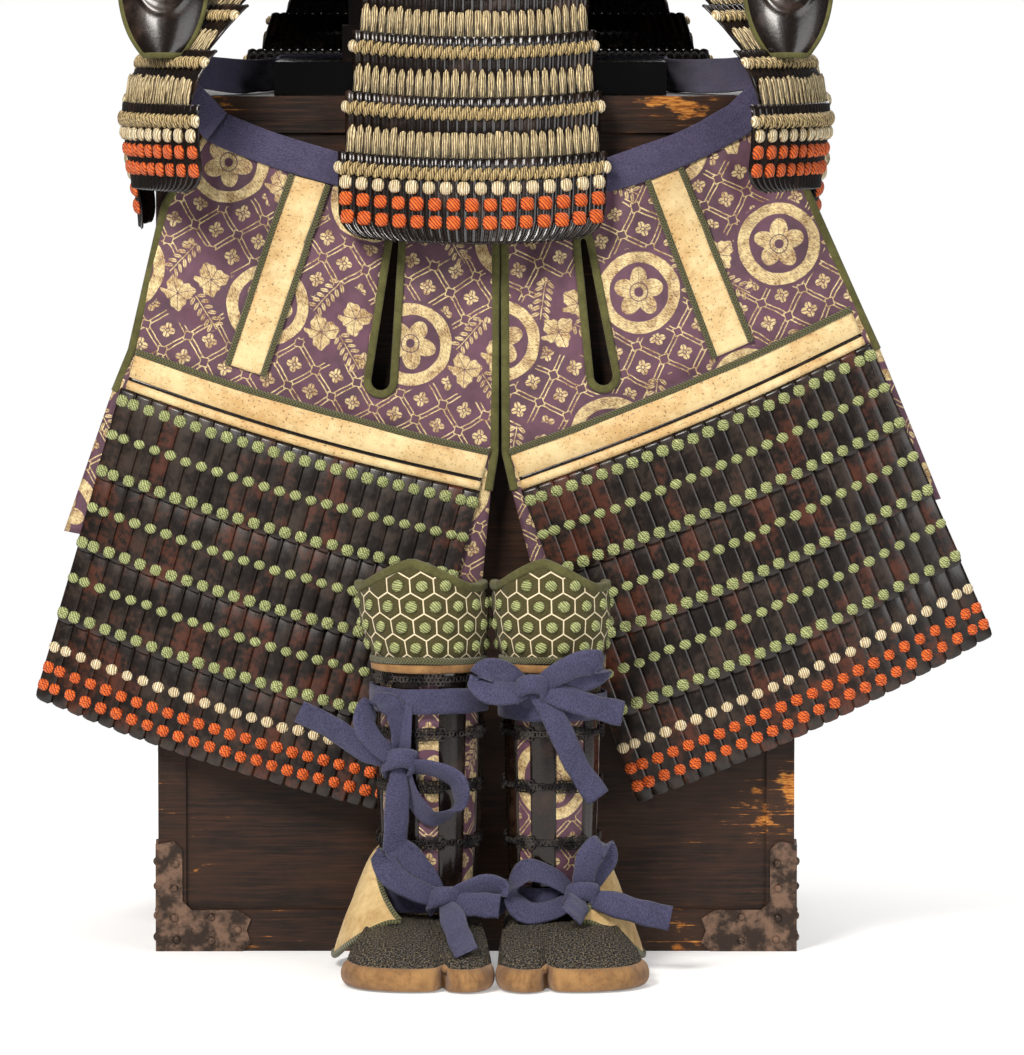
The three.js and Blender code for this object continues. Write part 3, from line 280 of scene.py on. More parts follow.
class Paint:
    """A material in the making: its Principled shader, its places and its tones."""

    def __init__(self, name: str, **sockets: float | tuple[float, ...]) -> None:
        """Args:
            name: the material's name.
            sockets: plain values for the shader, with _ for a space in a socket's name.
        """
        self.material = bpy.data.materials.new(name)
        self.material.use_nodes = True
        self.tree = self.material.node_tree
        self.shader = self.tree.nodes["Principled BSDF"]
        for key, value in sockets.items():
            feed(self.shader.inputs[key.replace("_", " ")], value)

    def flat_place(self) -> tuple[Term, Term]:
        """The piece's own UV place, in millimetres.

        Returns:
            u and v.
        """
        node = self.tree.nodes.new("ShaderNodeUVMap")
        node.uv_map = "UVMap"
        return self._split(node.outputs["UV"], 2)

    def solid_place(self) -> tuple[Term, Term, Term]:
        """The place in the object's own space, in millimetres."""
        return self._split(self.tree.nodes.new("ShaderNodeTexCoord").outputs["Object"], 3)

    def _split(self, socket: NodeSocket, count: int) -> tuple[Term, ...]:
        """A vector in metres as separate numbers in millimetres.

        Args:
            socket: the vector.
            count: how many of its numbers are wanted.

        Returns:
            The numbers.
        """
        node = self.tree.nodes.new("ShaderNodeSeparateXYZ")
        feed(node.inputs[0], socket)
        return tuple(Term(output) * (1 / MM) for output in node.outputs[:count])

    def tint(self) -> Term:
        """The number from 0 to 1 that each repeated shape carries.

        Returns:
            The number.
        """
        node = self.tree.nodes.new("ShaderNodeAttribute")
        node.attribute_name = "tint"
        return Term(node.outputs["Fac"])

    def use(self, build: Callable[..., Term], u: Term, v: Term, **size: float) -> Term:
        """One of the shared effects at a place.

        Args:
            build: the effect's own function, which also names it.
            u, v: the place.
            size: the effect's one size, by its name.

        Returns:
            The effect's value.
        """
        (key, value), = size.items()
        node = self.tree.nodes.new("ShaderNodeGroup")
        node.node_tree = effect(build.__name__, {"U": 0.0, "V": 0.0, key.title(): value}, build)
        for name, number in (("U", u), ("V", v), (key.title(), value)):
            feed(node.inputs[name], number)
        return Term(node.outputs["Value"])

    def mix(self, share: Term, first: "Tone", second: "Tone") -> NodeSocket:
        """A tone between two others.

        Args:
            share: how much of the second tone it has, from 0 to 1.
            first, second: the two tones.

        Returns:
            The tone's socket.
        """
        node = self.tree.nodes.new("ShaderNodeMix")
        node.data_type, node.clamp_factor = "RGBA", True
        for index, value in ((0, share), (6, first), (7, second)):
            feed(node.inputs[index], value)
        return node.outputs[2]

    def dress(self, colour: "Tone", roughness: Term | float, height: Term | None = None, relief: float = 0.3,
              metallic: Term | None = None) -> Material:
        """Join the finished numbers to the shader.

        Args:
            colour: base colour.
            roughness: roughness.
            height: the height of the fine relief, in millimetres, if it has one.
            relief: how strongly that relief shows.
            metallic: where the surface is metal, if it varies.

        Returns:
            The finished material.
        """
        chosen = {"Base Color": colour, "Roughness": roughness, "Metallic": metallic}
        if height is not None:
            bump = self.tree.nodes.new("ShaderNodeBump")
            for key, value in (("Strength", relief), ("Distance", MM), ("Height", height)):
                feed(bump.inputs[key], value)
            chosen["Normal"] = bump.outputs["Normal"]
        for key, value in chosen.items():
            if value is not None:
                feed(self.shader.inputs[key], value)
        return self.material


Tone = tuple[float, float, float, float] | NodeSocket


# Finishes ----------------------------------------------------------------------------------------


def tone(code: str) -> tuple[float, float, float, float]:
    """A linear colour from its usual six-digit code."""
    parts = [int(code[index:index + 2], 16) / 255 for index in (0, 2, 4)]
    return (*(part / 12.92 if part <= 0.04045 else ((part + 0.055) / 1.055) ** 2.4 for part in parts), 1.0)


@dataclass(frozen=True)
class Lacquer:
    """Black lacquer, brown where it has worn thin.

    Attributes:
        name: the material's name.
        dark, worn: its two colours.
        roughness: how dull it is.
        streak: the size of its worn patches along and across, in millimetres.
    """

    name: str = "black_lacquer"
    dark: str = "130b07"
    worn: str = "36241a"
    roughness: float = 0.25
    streak: tuple[float, float, float] = (40.0, 40.0, 40.0)

    def make(self) -> Material:
        """Build the material.

        Returns:
            The finished material.
        """
        paint = Paint(self.name, Coat_Weight=0.3, Coat_Roughness=0.12, Specular_IOR_Level=0.3)
        x, y, z = paint.solid_place()
        along, across, up = self.streak
        wear = patchy(x / along, y / across, z / up, 5, 0.62).soft(0.5, 0.76)
        fine = patchy(x / 3.0, y / 3.0, z / 3.0, 3, 0.6)
        colour = paint.mix(wear, tone(self.dark), tone(self.worn))
        return paint.dress(colour, fine * 0.16 + (wear * 0.2 + (self.roughness - 0.08)), fine, 0.12)


@dataclass(frozen=True)
class ScaleLacquer:
    """Lacquered hide scales, some grey-brown and some red-brown, with paler grey-brown streaks along long upright marks
    that are partly rubbed wear and partly a painted sheen.
    """

    name: str = "scale_lacquer"
    grey: str = "30231a"
    red: str = "4a2210"
    # the paler grey-brown of the streaks: partly rubbed wear, partly a painted sheen
    rubbed: str = "6a5340"

    def make(self) -> Material:
        """Build the material.

        Returns:
            The finished material.
        """
        paint = Paint(self.name, Coat_Weight=0.25, Coat_Roughness=0.2, Specular_IOR_Level=0.35)
        u, v = paint.flat_place()
        tint = paint.tint()
        cloud = paint.use(mottle_value, u, v, size=26.0)
        long_marks = patchy(u / 1.6, v / 30.0, 2.0, 4, 0.6)
        red = (tint + (cloud - 0.5) * 0.5).soft(0.5, 0.8)
        body = paint.mix(red, tone(self.grey), tone(self.red))
        darker = paint.mix((cloud * 0.75 + long_marks * 0.4).soft(0.35, 0.95), tone("150e0a"), body)
        # rubbed wear and painted sheen: paler grey-brown streaks where the long upright marks run high
        rubbed = long_marks.soft(0.6, 0.78) * 0.3
        return paint.dress(paint.mix(rubbed, darker, tone(self.rubbed)), cloud * 0.2 + 0.28, long_marks, 0.25)


@dataclass(frozen=True)
class ChestWood:
    """Brown-black lacquer over wood, rubbed through in level streaks near the edges."""

    name: str = "chest_wood"
    half_width: float = 320.0
    height: float = 860.0

    def make(self) -> Material:
        """Build the material.

        Returns:
            The finished material.
        """
        paint = Paint(self.name, Coat_Weight=0.06, Coat_Roughness=0.3, Specular_IOR_Level=0.25)
        x, y, z = paint.solid_place()
        grain = patchy((x + y) / 60.0, y / 90.0, z / 2.4, 6, 0.68)
        cloud = patchy(x / 95.0, y / 95.0, z / 60.0, 4, 0.6)
        reach = (self.half_width - 120, self.half_width - 20)
        near_edge = both(abs(x).soft(*reach) * (abs(y) + 80.0).soft(*reach),
                         both(z.soft(self.height - 110, self.height - 30), z.soft(120.0, 30.0)))
        chipped = (grain * 0.72 + cloud * 0.3 + near_edge * 0.055).soft(0.668, 0.7)
        bare = (cloud + near_edge * 0.14 + patchy(x / 16.0, y / 16.0, z / 5.0, 5, 0.7) * 0.24).soft(0.89, 0.94)
        ground = paint.mix(cloud.soft(0.35, 0.68), tone("170d07"), tone("321f13"))
        brown = paint.mix(grain.soft(0.42, 0.66) * 0.6, ground, tone("44291a"))
        wood = paint.mix(patchy(x / 9.0, y / 9.0, z / 1.1, 3, 0.6).soft(0.4, 0.6), tone("854517"), tone("cc8a3c"))
        worn = both(chipped, bare) * 0.92
        colour = paint.mix(worn, brown, wood)
        return paint.dress(colour, worn * 0.25 + (grain * 0.24 + 0.38), grain - worn * 0.6, 0.35)


@dataclass(frozen=True)
class Iron:
    """Forged iron with brown rust, or dark mail."""

    name: str = "rusty_iron"
    dark: str = "33271f"
    rust: str = "6d5240"
    metallic: float = 0.55

    def make(self) -> Material:
        """Build the material.

        Returns:
            The finished material.
        """
        paint = Paint(self.name)
        x, y, z = paint.solid_place()
        patch = patchy(x / 22.0, y / 22.0, z / 22.0, 6, 0.66)
        pits = patchy(x / 2.2, y / 2.2, z / 2.2, 3, 0.6)
        rust = patch.soft(0.42, 0.62)
        colour = paint.mix(rust, tone(self.dark), tone(self.rust))
        return paint.dress(colour, rust * 0.3 + 0.42, pits + patch, 0.5, rust.rest() * self.metallic)


@dataclass(frozen=True)
class Brocade:
    """Purple satin woven in gold: a lattice of flowers, leaf sprigs and ringed rosettes.

    Attributes:
        cell: width of a lattice cell.
        column, row: spacing of the ringed rosettes, each row shifted by half a column.
        ring: the ring's outer radius, and ring_width its width.
    """

    name: str = "brocade"
    cell: float = 31.0
    column: float = 148.0
    row: float = 128.0
    ring: float = 41.0
    ring_width: float = 11.5
    ground: str = "613a4d"

    def lattice(self, u: Term, v: Term) -> Term:
        """Double-line lattice with four-petalled flowers in its cells.

        Args:
            u, v: the place.

        Returns:
            Where its threads lie, from 0 to 1.
        """
        half, petal_at = self.cell / 2, self.cell * 0.105
        a, b = ((u + v) * SLANT).cycle(self.cell), ((u - v) * SLANT).cycle(self.cell)
        to_a, to_b = abs(a) * -1.0 + half, abs(b) * -1.0 + half
        corner = to_a + to_b
        lines = both(to_a.line(1.9, 0.6), to_b.line(1.9, 0.6)) * corner.soft(5.6, 6.2)
        lines = both(lines, corner.line(5.7, 0.65))
        petal = length_of(abs(a) - petal_at, abs(b) - petal_at).soft(3.5, 2.8)
        vein = abs(abs(a) - abs(b)).soft(0.2, 0.9)
        seed = length_of(a, b).soft(1.6, 1.1)
        return both(lines, both(petal * vein * length_of(a, b).soft(1.9, 2.4), seed))

    def sprig(self, u: Term, v: Term, turn: float, length: float) -> Term:
        """A fern-like sprig on a stem, centred on the place's origin.

        Args:
            u, v: the place.
            turn: the angle of its stem.
            length: the stem's length.

        Returns:
            Where its threads lie, from 0 to 1.
        """
        cosine, sine = math.cos(turn), math.sin(turn)
        x, y = u * cosine + v * sine, v * cosine - u * sine
        stem = x.line(0.0, 0.5) * abs(y).soft(length + 1, length)
        out, up = abs(x) - 5.2, y.cycle(6.4) - 0.6
        p, q = out * 0.82 - up * 0.57, out * 0.57 + up * 0.82
        leaf = length_of(p / 4.6, q / 1.9).soft(1.1, 0.8) * abs(y).soft(length + 1, length) * abs(q).soft(0.05, 0.45)
        return both(stem, leaf)

    def leaf(self, u: Term, v: Term, turn: float, size: float) -> Term:
        """A broad lobed leaf with its veins, centred on the place's origin.

        Args:
            u, v: the place.
            turn: the angle it points at.
            size: its size.

        Returns:
            Where its threads lie, from 0 to 1.
        """
        angle = v.math("ARCTAN2", u) - turn
        radius = length_of(u, v)
        edge = ((angle * 3.5).math("COSINE") * 0.16 + (angle * 11.0).math("COSINE") * 0.05 + 0.84) * size
        body = (radius - edge).soft(0.6, -0.6)
        veins = abs((angle * 3.5).math("SINE")) * radius
        return body * veins.soft(0.5, 1.5)

    def rosette(self, u: Term, v: Term) -> tuple[Term, Term]:
        """A ring round a five-petalled rosette of a plain kind.

        Args:
            u, v: the place.

        Returns:
            Where its threads lie, and the disc that it covers.
        """
        radius, angle = length_of(u, v), v.math("ARCTAN2", u)
        band = radius.line(self.ring - self.ring_width / 2, self.ring_width / 2)
        wave = abs((angle * 2.5).math("COSINE"))
        petals = (radius - (wave * 0.42 + 0.58) * 25.0).soft(0.7, -0.7)
        veins = abs((angle * 7.5).math("SINE")) * radius
        petals = petals * veins.soft(0.5, 1.7) * radius.line(9.0, 0.5).rest()
        return both(band, petals * radius.soft(4.2, 5.0)), radius

    def make(self) -> Material:
        """Build the material.

        Returns:
            The finished material.
        """
        paint = Paint(self.name, Sheen_Weight=0.35, Sheen_Roughness=0.4)
        u, v = paint.flat_place()
        u = u + (patchy(u / 30.0, v / 30.0, 0.5, 2, 0.5) - 0.5) * 5.0
        v = v + (patchy(u / 30.0, v / 30.0, 7.5, 2, 0.5) - 0.5) * 5.0
        row = (v / self.row).math("FLOOR")
        shift = (row * 0.5).math("FRACT") * self.column
        ring_u, ring_v = (u + shift).cycle(self.column), v.cycle(self.row)
        ringed, radius = self.rosette(ring_u, ring_v)
        beside_u, beside_v = (u + shift + self.column / 2).cycle(self.column), ring_v
        sprays = both(self.sprig(beside_u - 17.0, beside_v + 23.0, 0.8, 19.0),
                      self.sprig(beside_u + 19.0, beside_v - 24.0, -0.5, 19.0))
        leaves = both(self.leaf(beside_u + 15.0, beside_v + 11.0, 0.4, 17.5),
                      self.leaf(beside_u - 14.0, beside_v - 10.0, 2.2, 17.0))
        cleared = both(radius.soft(self.ring + 5, self.ring + 3),
                       length_of(beside_u / 35.0, beside_v / 40.0).soft(1.04, 1.0))
        gold = both(self.lattice(u, v) * cleared.rest(), both(ringed, both(sprays, leaves)))
        missing = patchy(u / 7.0, v / 7.0, 3.3, 5, 0.7).soft(0.34, 0.44)
        gold = gold * (missing * 0.45 + 0.55)
        thread = (v * (TURN / 0.9)).math("SINE") * 0.5 + 0.5
        cloud = paint.use(mottle_value, u, v, size=45.0)
        weft = patchy((u + v) / 1.3, (u - v) / 5.0, 1.0, 2, 0.5).soft(0.36, 0.6)
        patch = patchy(u / 15.0, v / 15.0, 6.0, 3, 0.6).soft(0.36, 0.62)
        shine = paint.mix(patch * 0.45 + weft * 0.55, tone("7d5024"), tone("ead59e"))
        satin = paint.mix(cloud, tone("3f2230"), tone(self.ground))
        satin = paint.mix(thread * 0.14, satin, tone("94707f"))
        colour = paint.mix(gold, satin, shine)
        height = gold * 0.9 + thread * 0.25 + paint.use(weave_height, u, v, pitch=0.9) * 0.2
        return paint.dress(colour, gold * -0.12 + (cloud * 0.08 + 0.52), height, 0.4, gold * 0.2)


@dataclass(frozen=True)
class Crepe:
    """Indigo crepe with a fine slanting grain whose ridges are painted paler and whose hollows are painted darker, as
    light and shade, with a cloudy tone over it.
    """

    name: str = "crepe"
    dark: str = "2e2b40"
    light: str = "58536f"
    slant: float = 0.6

    def make(self) -> Material:
        """Build the material.

        Returns:
            The finished material.
        """
        paint = Paint(self.name, Sheen_Weight=0.15, Sheen_Roughness=0.5, Specular_IOR_Level=0.2)
        u, v = paint.flat_place()
        p, q = u * math.cos(self.slant) + v * math.sin(self.slant), v * math.cos(self.slant) - u * math.sin(self.slant)
        crinkle = patchy(p / 3.2, q / 0.9, 0.0, 4, 0.65)
        cloud = paint.use(mottle_value, u, v, size=38.0)
        # painted light and shade: the light colour on the crinkle's ridges, the dark one in its hollows, mixed with a
        # cloudy tone
        colour = paint.mix(crinkle.soft(0.34, 0.66) * 0.7 + cloud * 0.3, tone(self.dark), tone(self.light))
        return paint.dress(colour, 0.82, crinkle * 1.4 + paint.use(weave_height, u, v, pitch=0.8) * 0.3, 0.55)


@dataclass(frozen=True)
class Hide:
    """Tan leather with brown specks and stains.

    Attributes:
        name: the material's name.
        light, deep: its two colours.
        specks: how many specks it has, from 0 to 1.
        roughness: how dull it is.
        nap: how rough its surface stands.
    """

    name: str = "tan_leather"
    light: str = "e6cf9a"
    deep: str = "c59c60"
    specks: float = 0.8
    roughness: float = 0.58
    nap: float = 0.25

    def make(self) -> Material:
        """Build the material.

        Returns:
            The finished material.
        """
        paint = Paint(self.name, Sheen_Weight=0.12)
        u, v = paint.flat_place()
        cloud = paint.use(mottle_value, u, v, size=55.0)
        grain = patchy(u / 1.4, v / 1.4, 0.0, 3, 0.6)
        spot = patchy(u / 2.6, v / 2.6, 5.0, 2, 0.5).soft(0.6, 0.67) * cloud.soft(1.1, 0.4) * self.specks
        stain = patchy(u / 16.0, v / 11.0, 9.0, 5, 0.7).soft(0.52, 0.75) * 0.6
        colour = paint.mix(stain, paint.mix(cloud, tone(self.deep), tone(self.light)), tone("a5713a"))
        colour = paint.mix(spot, colour, tone("5c3517"))
        return paint.dress(colour, grain * 0.15 + (self.roughness - 0.05), grain + stain * 0.5, self.nap)


@dataclass(frozen=True)
class Felt:
    """Olive wool felt or cloth with a fine fuzz."""

    name: str = "olive_felt"
    dark: str = "3a381c"
    light: str = "6c6a3e"

    def make(self) -> Material:
        """Build the material.

        Returns:
            The finished material.
        """
        paint = Paint(self.name, Sheen_Weight=0.12, Specular_IOR_Level=0.2)
        u, v = paint.flat_place()
        fuzz = patchy(u / 1.1, v / 1.1, 0.0, 4, 0.7)
        cloud = paint.use(mottle_value, u, v, size=24.0)
        colour = paint.mix(fuzz.soft(0.3, 0.7) * 0.5 + cloud * 0.5, tone(self.dark), tone(self.light))
        return paint.dress(colour, 0.88, fuzz * 1.2 + paint.use(weave_height, u, v, pitch=0.7) * 0.4, 0.5)


@dataclass(frozen=True)
class Braid:
    """Flat braid whose strands meet in a row of chevrons, with painted shade in the grooves between the strands; u runs
    across it and v along it.
    """

    name: str = "olive_braid"
    dark: str = "211f0d"
    light: str = "686638"
    pitch: float = 3.2

    def make(self) -> Material:
        """Build the material.

        Returns:
            The finished material.
        """
        paint = Paint(self.name, Sheen_Weight=0.25)
        u, v = paint.flat_place()
        chevron = ((v + abs(u) * 1.1).cycle(self.pitch) / self.pitch)
        strand = abs(chevron) * -2.0 + 1.0
        fine = ((u * 1.0 + v * 0.4) * 14.0).math("SINE") * 0.1
        # painted shade: dark in the grooves where the strands meet, light on their crowns
        colour = paint.mix((strand + fine).soft(0.05, 0.8), tone(self.dark), tone(self.light))
        return paint.dress(colour, 0.75, strand * 1.6 + fine, 0.8)


@dataclass(frozen=True)
class Silk:
    """Silk lacing: strands along v, speckled with dirt.

    Attributes:
        name: the material's name.
        light, deep: colour of clean silk on the strands' crowns, and the painted shade in the hollows between the
            strands.
        pitch: width of one strand.
        dirt: how dirty it is, from 0 to 1.
        slant: how far the strands turn from v, in radians.
    """

    name: str = "cream_silk"
    light: str = "fff3d0"
    # the painted shade in the hollows between the strands
    deep: str = "a4854e"
    pitch: float = 2.3
    dirt: float = 0.3
    slant: float = 0.0

    def make(self) -> Material:
        """Build the material.

        Returns:
            The finished material.
        """
        paint = Paint(self.name, Sheen_Weight=0.1, Sheen_Roughness=0.35)
        u, v = paint.flat_place()
        if self.slant:
            u, v = (u * math.cos(self.slant) + v * math.sin(self.slant),
                    v * math.cos(self.slant) - u * math.sin(self.slant))
        tint = paint.tint()
        strand = paint.use(strand_height, u + tint * 50.0, v + tint * 90.0, pitch=self.pitch)
        x, y, z = paint.solid_place()
        dirt = patchy(x / 4.0, y / 4.0, z / 4.0, 5, 0.7).soft(0.46, 0.7) * self.dirt
        # painted shade: the deep colour fills the hollows between the strands, the light one lies on their crowns
        colour = paint.mix(strand.soft(0.05, 0.75), tone(self.deep), tone(self.light))
        colour = paint.mix(dirt, colour, tone("453617"))
        colour = paint.mix(tint * 0.16, colour, tone(self.deep))
        return paint.dress(colour, 0.6, strand * 1.3, 0.75)


@dataclass(frozen=True)
class Quilt:
    """Olive quilted cloth with cream stitching along a net of hexagons; u runs across it and v down.

    Attributes:
        width: width of one hexagon.
        stretch: how much taller than regular it is.
        line: half the stitching's width.
    """

    name: str = "quilted_cloth"
    width: float = 21.5
    stretch: float = 1.1
    line: float = 0.62

    def make(self) -> Material:
        """Build the material.

        Returns:
            The finished material.
        """
        paint = Paint(self.name, Sheen_Weight=0.1, Specular_IOR_Level=0.2)
        u, v = paint.flat_place()
        tall = v / self.stretch
        pitch = self.width * 3 ** 0.5
        edges = []
        for shift in (0.0, 0.5):
            x, y = (u + shift * self.width).cycle(self.width), (tall + shift * pitch).cycle(pitch)
            reach = both(abs(x), abs(x) * 0.5 + abs(y) * HEXAGON)
            edges.append(reach)
        reach = edges[0].math("MINIMUM", edges[1])
        stitch = reach.line(self.width / 2, self.line, 0.25)
        fuzz = patchy(u / 1.2, v / 1.2, 0.0, 4, 0.7)
        ground = paint.mix(fuzz.soft(0.3, 0.7), tone("35301a"), tone("5a532f"))
        colour = paint.mix(stitch * paint.tint(), ground, tone("f0e0bc"))
        height = stitch * 1.5 + fuzz * 0.5 + paint.use(weave_height, u, v, pitch=0.8) * 0.3
        return paint.dress(colour, 0.82, height, 0.6)


@dataclass(frozen=True)
class MailNet:
    """Small dark rings of mail over old yellow cloth; u and v lie flat on the piece."""

    name: str = "mail_net"
    cell: float = 3.9

    def make(self) -> Material:
        """Build the material.

        Returns:
            The finished material.
        """
        paint = Paint(self.name, Specular_IOR_Level=0.3)
        u, v = paint.flat_place()
        rings = []
        for shift in (0.0, 0.5):
            x, y = (u + shift * self.cell).cycle(self.cell), (v + shift * self.cell).cycle(self.cell)
            rings.append(length_of(x, y).line(1.5, 0.6, 0.3))
        ring = both(*rings)
        speck = patchy(u / 2.0, v / 2.0, 1.0, 3, 0.7)
        cloth = paint.mix(speck.soft(0.5, 0.6), tone("14110b"), tone("a08a4c"))
        iron = paint.mix(speck.soft(0.46, 0.58), tone("0c0b0c"), tone("77716a"))
        return paint.dress(paint.mix(ring, cloth, iron), 0.55, ring * 1.6 + speck * 1.5, 1.0, ring * 0.15)


@dataclass(frozen=True)
class Finishes:
    """Every finish of the armour, made once."""

    lacquer: Material = field(default_factory=Lacquer().make)
    board: Material = field(default_factory=Lacquer("gloss_board", "040303", "080605", 0.14).make)
    scales: Material = field(default_factory=ScaleLacquer().make)
    chest: Material = field(default_factory=ChestWood().make)
    iron: Material = field(default_factory=Iron().make)
    mail: Material = field(default_factory=Iron("dark_mail", "1d1b1c", "3d3733", 0.7).make)
    brass: Material = field(default_factory=Iron("old_brass", "8a6a2f", "5a4420", 0.9).make)
    brocade: Material = field(default_factory=Brocade().make)
    crepe: Material = field(default_factory=Crepe().make)
    leather: Material = field(default_factory=Hide().make)
    welt: Material = field(default_factory=Hide("welt_leather", "a47c4a", "6c4a28", 0.5, 0.85, 0.6).make)
    suede: Material = field(default_factory=Hide("ankle_suede", "d8bd86", "a98752", 0.25, 0.85, 0.5).make)
    felt: Material = field(default_factory=Felt().make)
    braid: Material = field(default_factory=Braid().make)
    # each silk's second colour is the painted shade in the hollows between its strands
    cream: Material = field(default_factory=Silk().make)
    laces: Material = field(default_factory=Silk("lace_silk", "f0dcaa", "5f4522", 2.0, 0.6).make)
    rope: Material = field(default_factory=Silk("rope_silk", "dcc288", "55401f", 2.4, 0.4).make)
    green: Material = field(default_factory=Silk("green_silk", "bec686", "666c3a", 2.3, 0.1, 0.7).make)
    orange: Material = field(default_factory=Silk("orange_silk", "fb7422", "8e2a02", 2.7, 0.1, 0.75).make)
    quilt: Material = field(default_factory=Quilt().make)
    net: Material = field(default_factory=MailNet().make)
    # the tie's dark and light colours are its painted tones in shade and in light, laid over its crinkle
    tie: Material = field(default_factory=Crepe("tie_weave", "26263c", "52516e", 0.0).make)


# Shapes ------------------------------------------------------------------------------------------


@dataclass
class Shape:
    """A mesh in the making: points in millimetres, faces, and each point's flat place and tint."""

    points: list[Vector] = field(default_factory=list)
    faces: list[tuple[int, ...]] = field(default_factory=list)
    flat: list[tuple[float, float]] = field(default_factory=list)
    tints: list[float] = field(default_factory=list)

    def grid(self, rows: Rows, flat: Flat, tint: float = 0.5, keep: Callable[[Vector], bool] | None = None) -> "Shape":
        """Add rows of points, from the top down and from left to right as seen from outside.

        Args:
            rows: the points.
            flat: each point's place on the flat piece, in millimetres.
            tint: the tint of all of them.
            keep: leaves out each face whose middle it refuses.

        Returns:
            This shape.
        """
        start, width = len(self.points), len(rows[0])
        for line, places in zip(rows, flat):
            self.points += line
            self.flat += places
            self.tints += [tint] * width
        for row in range(len(rows) - 1):
            for column in range(width - 1):
                first = start + row * width + column
                face = (first, first + width, first + width + 1, first + 1)
                if keep is None or keep(sum((self.points[corner] for corner in face), Vector()) / 4):
                    self.faces.append(face)
        return self

    def pad(self, rows: Rows, flat: Flat, tint: float = 0.5) -> "Shape":
        """Add rows of points and close their underside with one face.

        Args:
            rows: rows of points.
            flat: their flat places.
            tint: the number they carry.

        Returns:
            The shape itself.
        """
        start, width, count = len(self.points), len(rows[0]), len(rows)
        self.grid(rows, flat, tint)
        rim = [start + column for column in range(width)]
        rim += [start + row * width + width - 1 for row in range(1, count)]
        rim += [start + (count - 1) * width + column for column in range(width - 2, -1, -1)]
        rim += [start + row * width for row in range(count - 2, 0, -1)]
        self.faces.append(tuple(rim))
        return self

    def dome(self, width: float, height: float, thick: float, turn: float = 0.0, lift: float = 0.0, sides: int = 10,
             rings: int = 2, skew: float = 0.0, square: float = 1.0) -> "Shape":
        """Add a closed bead that is flat underneath.

        Args:
            width, height, thick: its sizes; its height runs along y and its thickness along z.
            turn: how far it turns about z, in degrees.
            lift: the height of its flat side.
            sides, rings: how finely it is divided.
            skew: how far its head leans to the right of its foot, as a share of its height.
            square: 1 for an oval outline, less for one with fuller corners.

        Returns:
            This shape.
        """
        start = len(self.points)
        cosine, sine = math.cos(math.radians(turn)), math.sin(math.radians(turn))
        for ring in range(rings):
            reach, rise = math.cos(ring / rings * math.pi / 2), math.sin(ring / rings * math.pi / 2)
            for side in range(sides):
                across, along = math.cos(2 * math.pi * side / sides), math.sin(2 * math.pi * side / sides)
                y = height / 2 * reach * math.copysign(abs(along) ** square, along)
                x = width / 2 * reach * math.copysign(abs(across) ** square, across) + skew * y
                self.points.append(Vector((x * cosine - y * sine, x * sine + y * cosine, lift + thick * rise)))
                self.flat.append((x, y))
        self.points.append(Vector((0, 0, lift + thick)))
        self.flat.append((0.0, 0.0))
        self.tints += [0.5] * (rings * sides + 1)
        pole = start + rings * sides
        for side in range(sides):
            after = (side + 1) % sides
            for ring in range(rings - 1):
                low, high = start + ring * sides, start + (ring + 1) * sides
                self.faces.append((low + side, low + after, high + after, high + side))
            last = start + (rings - 1) * sides
            self.faces.append((last + side, last + after, pole))
        self.faces.append(tuple(start + side for side in range(sides - 1, -1, -1)))
        return self

    def ring(self, radius: float, thick: float) -> "Shape":
        """Add a small closed ring that lies flat.

        Args:
            radius: from its middle to the wire's middle.
            thick: half the wire's width.

        Returns:
            The shape itself.
        """
        start = len(self.points)
        for side in range(6):
            angle = math.pi * side / 3
            for corner in range(4):
                reach = radius + thick * math.cos(math.pi * corner / 2)
                at = Vector((reach * math.cos(angle), reach * math.sin(angle),
                             thick * (1 + math.sin(math.pi * corner / 2))))
                self.points.append(at)
                self.flat.append((at.x, at.y))
                low, high, after = start + side * 4, start + (side + 1) % 6 * 4, (corner + 1) % 4
                self.faces.append((low + corner, low + after, high + after, high + corner))
        self.tints += [0.5] * 24
        return self

    def ribbon(self, path: "Spline", across: Vector, width: float, thick: float, count: int, tint: float = 0.5,
               form: Callable[[float], tuple[float, float]] = lambda share: (1.0, 0.0)) -> "Shape":
        """Add a closed flat strap along a path.

        Args:
            path: the strap's middle line.
            across: the way its width runs, roughly.
            width, thick: its sizes.
            count: its number of lengths.
            tint: its tint.
            form: how wide it is and how far its middle crowns, at each share of its length.

        Returns:
            This shape.
        """
        section = [(-0.5, 0.0), (-0.42, 0.42), (-0.2, 0.5), (0.2, 0.5), (0.42, 0.42), (0.5, 0.0), (0.42, -0.42),
                   (0.2, -0.5), (-0.2, -0.5), (-0.42, -0.42)]
        start, corners = len(self.points), len(section)
        for share in steps(count):
            at, along = path.at(share), path.along(share)
            flat = (across - along * across.dot(along)).normalized()
            up, (wide, crown) = along.cross(flat), form(share)
            for over, rise in section:
                self.points.append(at + flat * (over * width * wide) + up
                                   * (rise * thick + crown * (1 - 4 * over * over)))
                self.flat.append((over * width, share * path.length))
                self.tints.append(tint)
        for span in range(count):
            for corner in range(corners):
                after = (corner + 1) % corners
                low, high = start + span * corners, start + (span + 1) * corners
                self.faces.append((low + corner, low + after, high + after, high + corner))
        self.faces.append(tuple(start + corner for corner in range(corners - 1, -1, -1)))
        self.faces.append(tuple(start + count * corners + corner for corner in range(corners)))
        return self

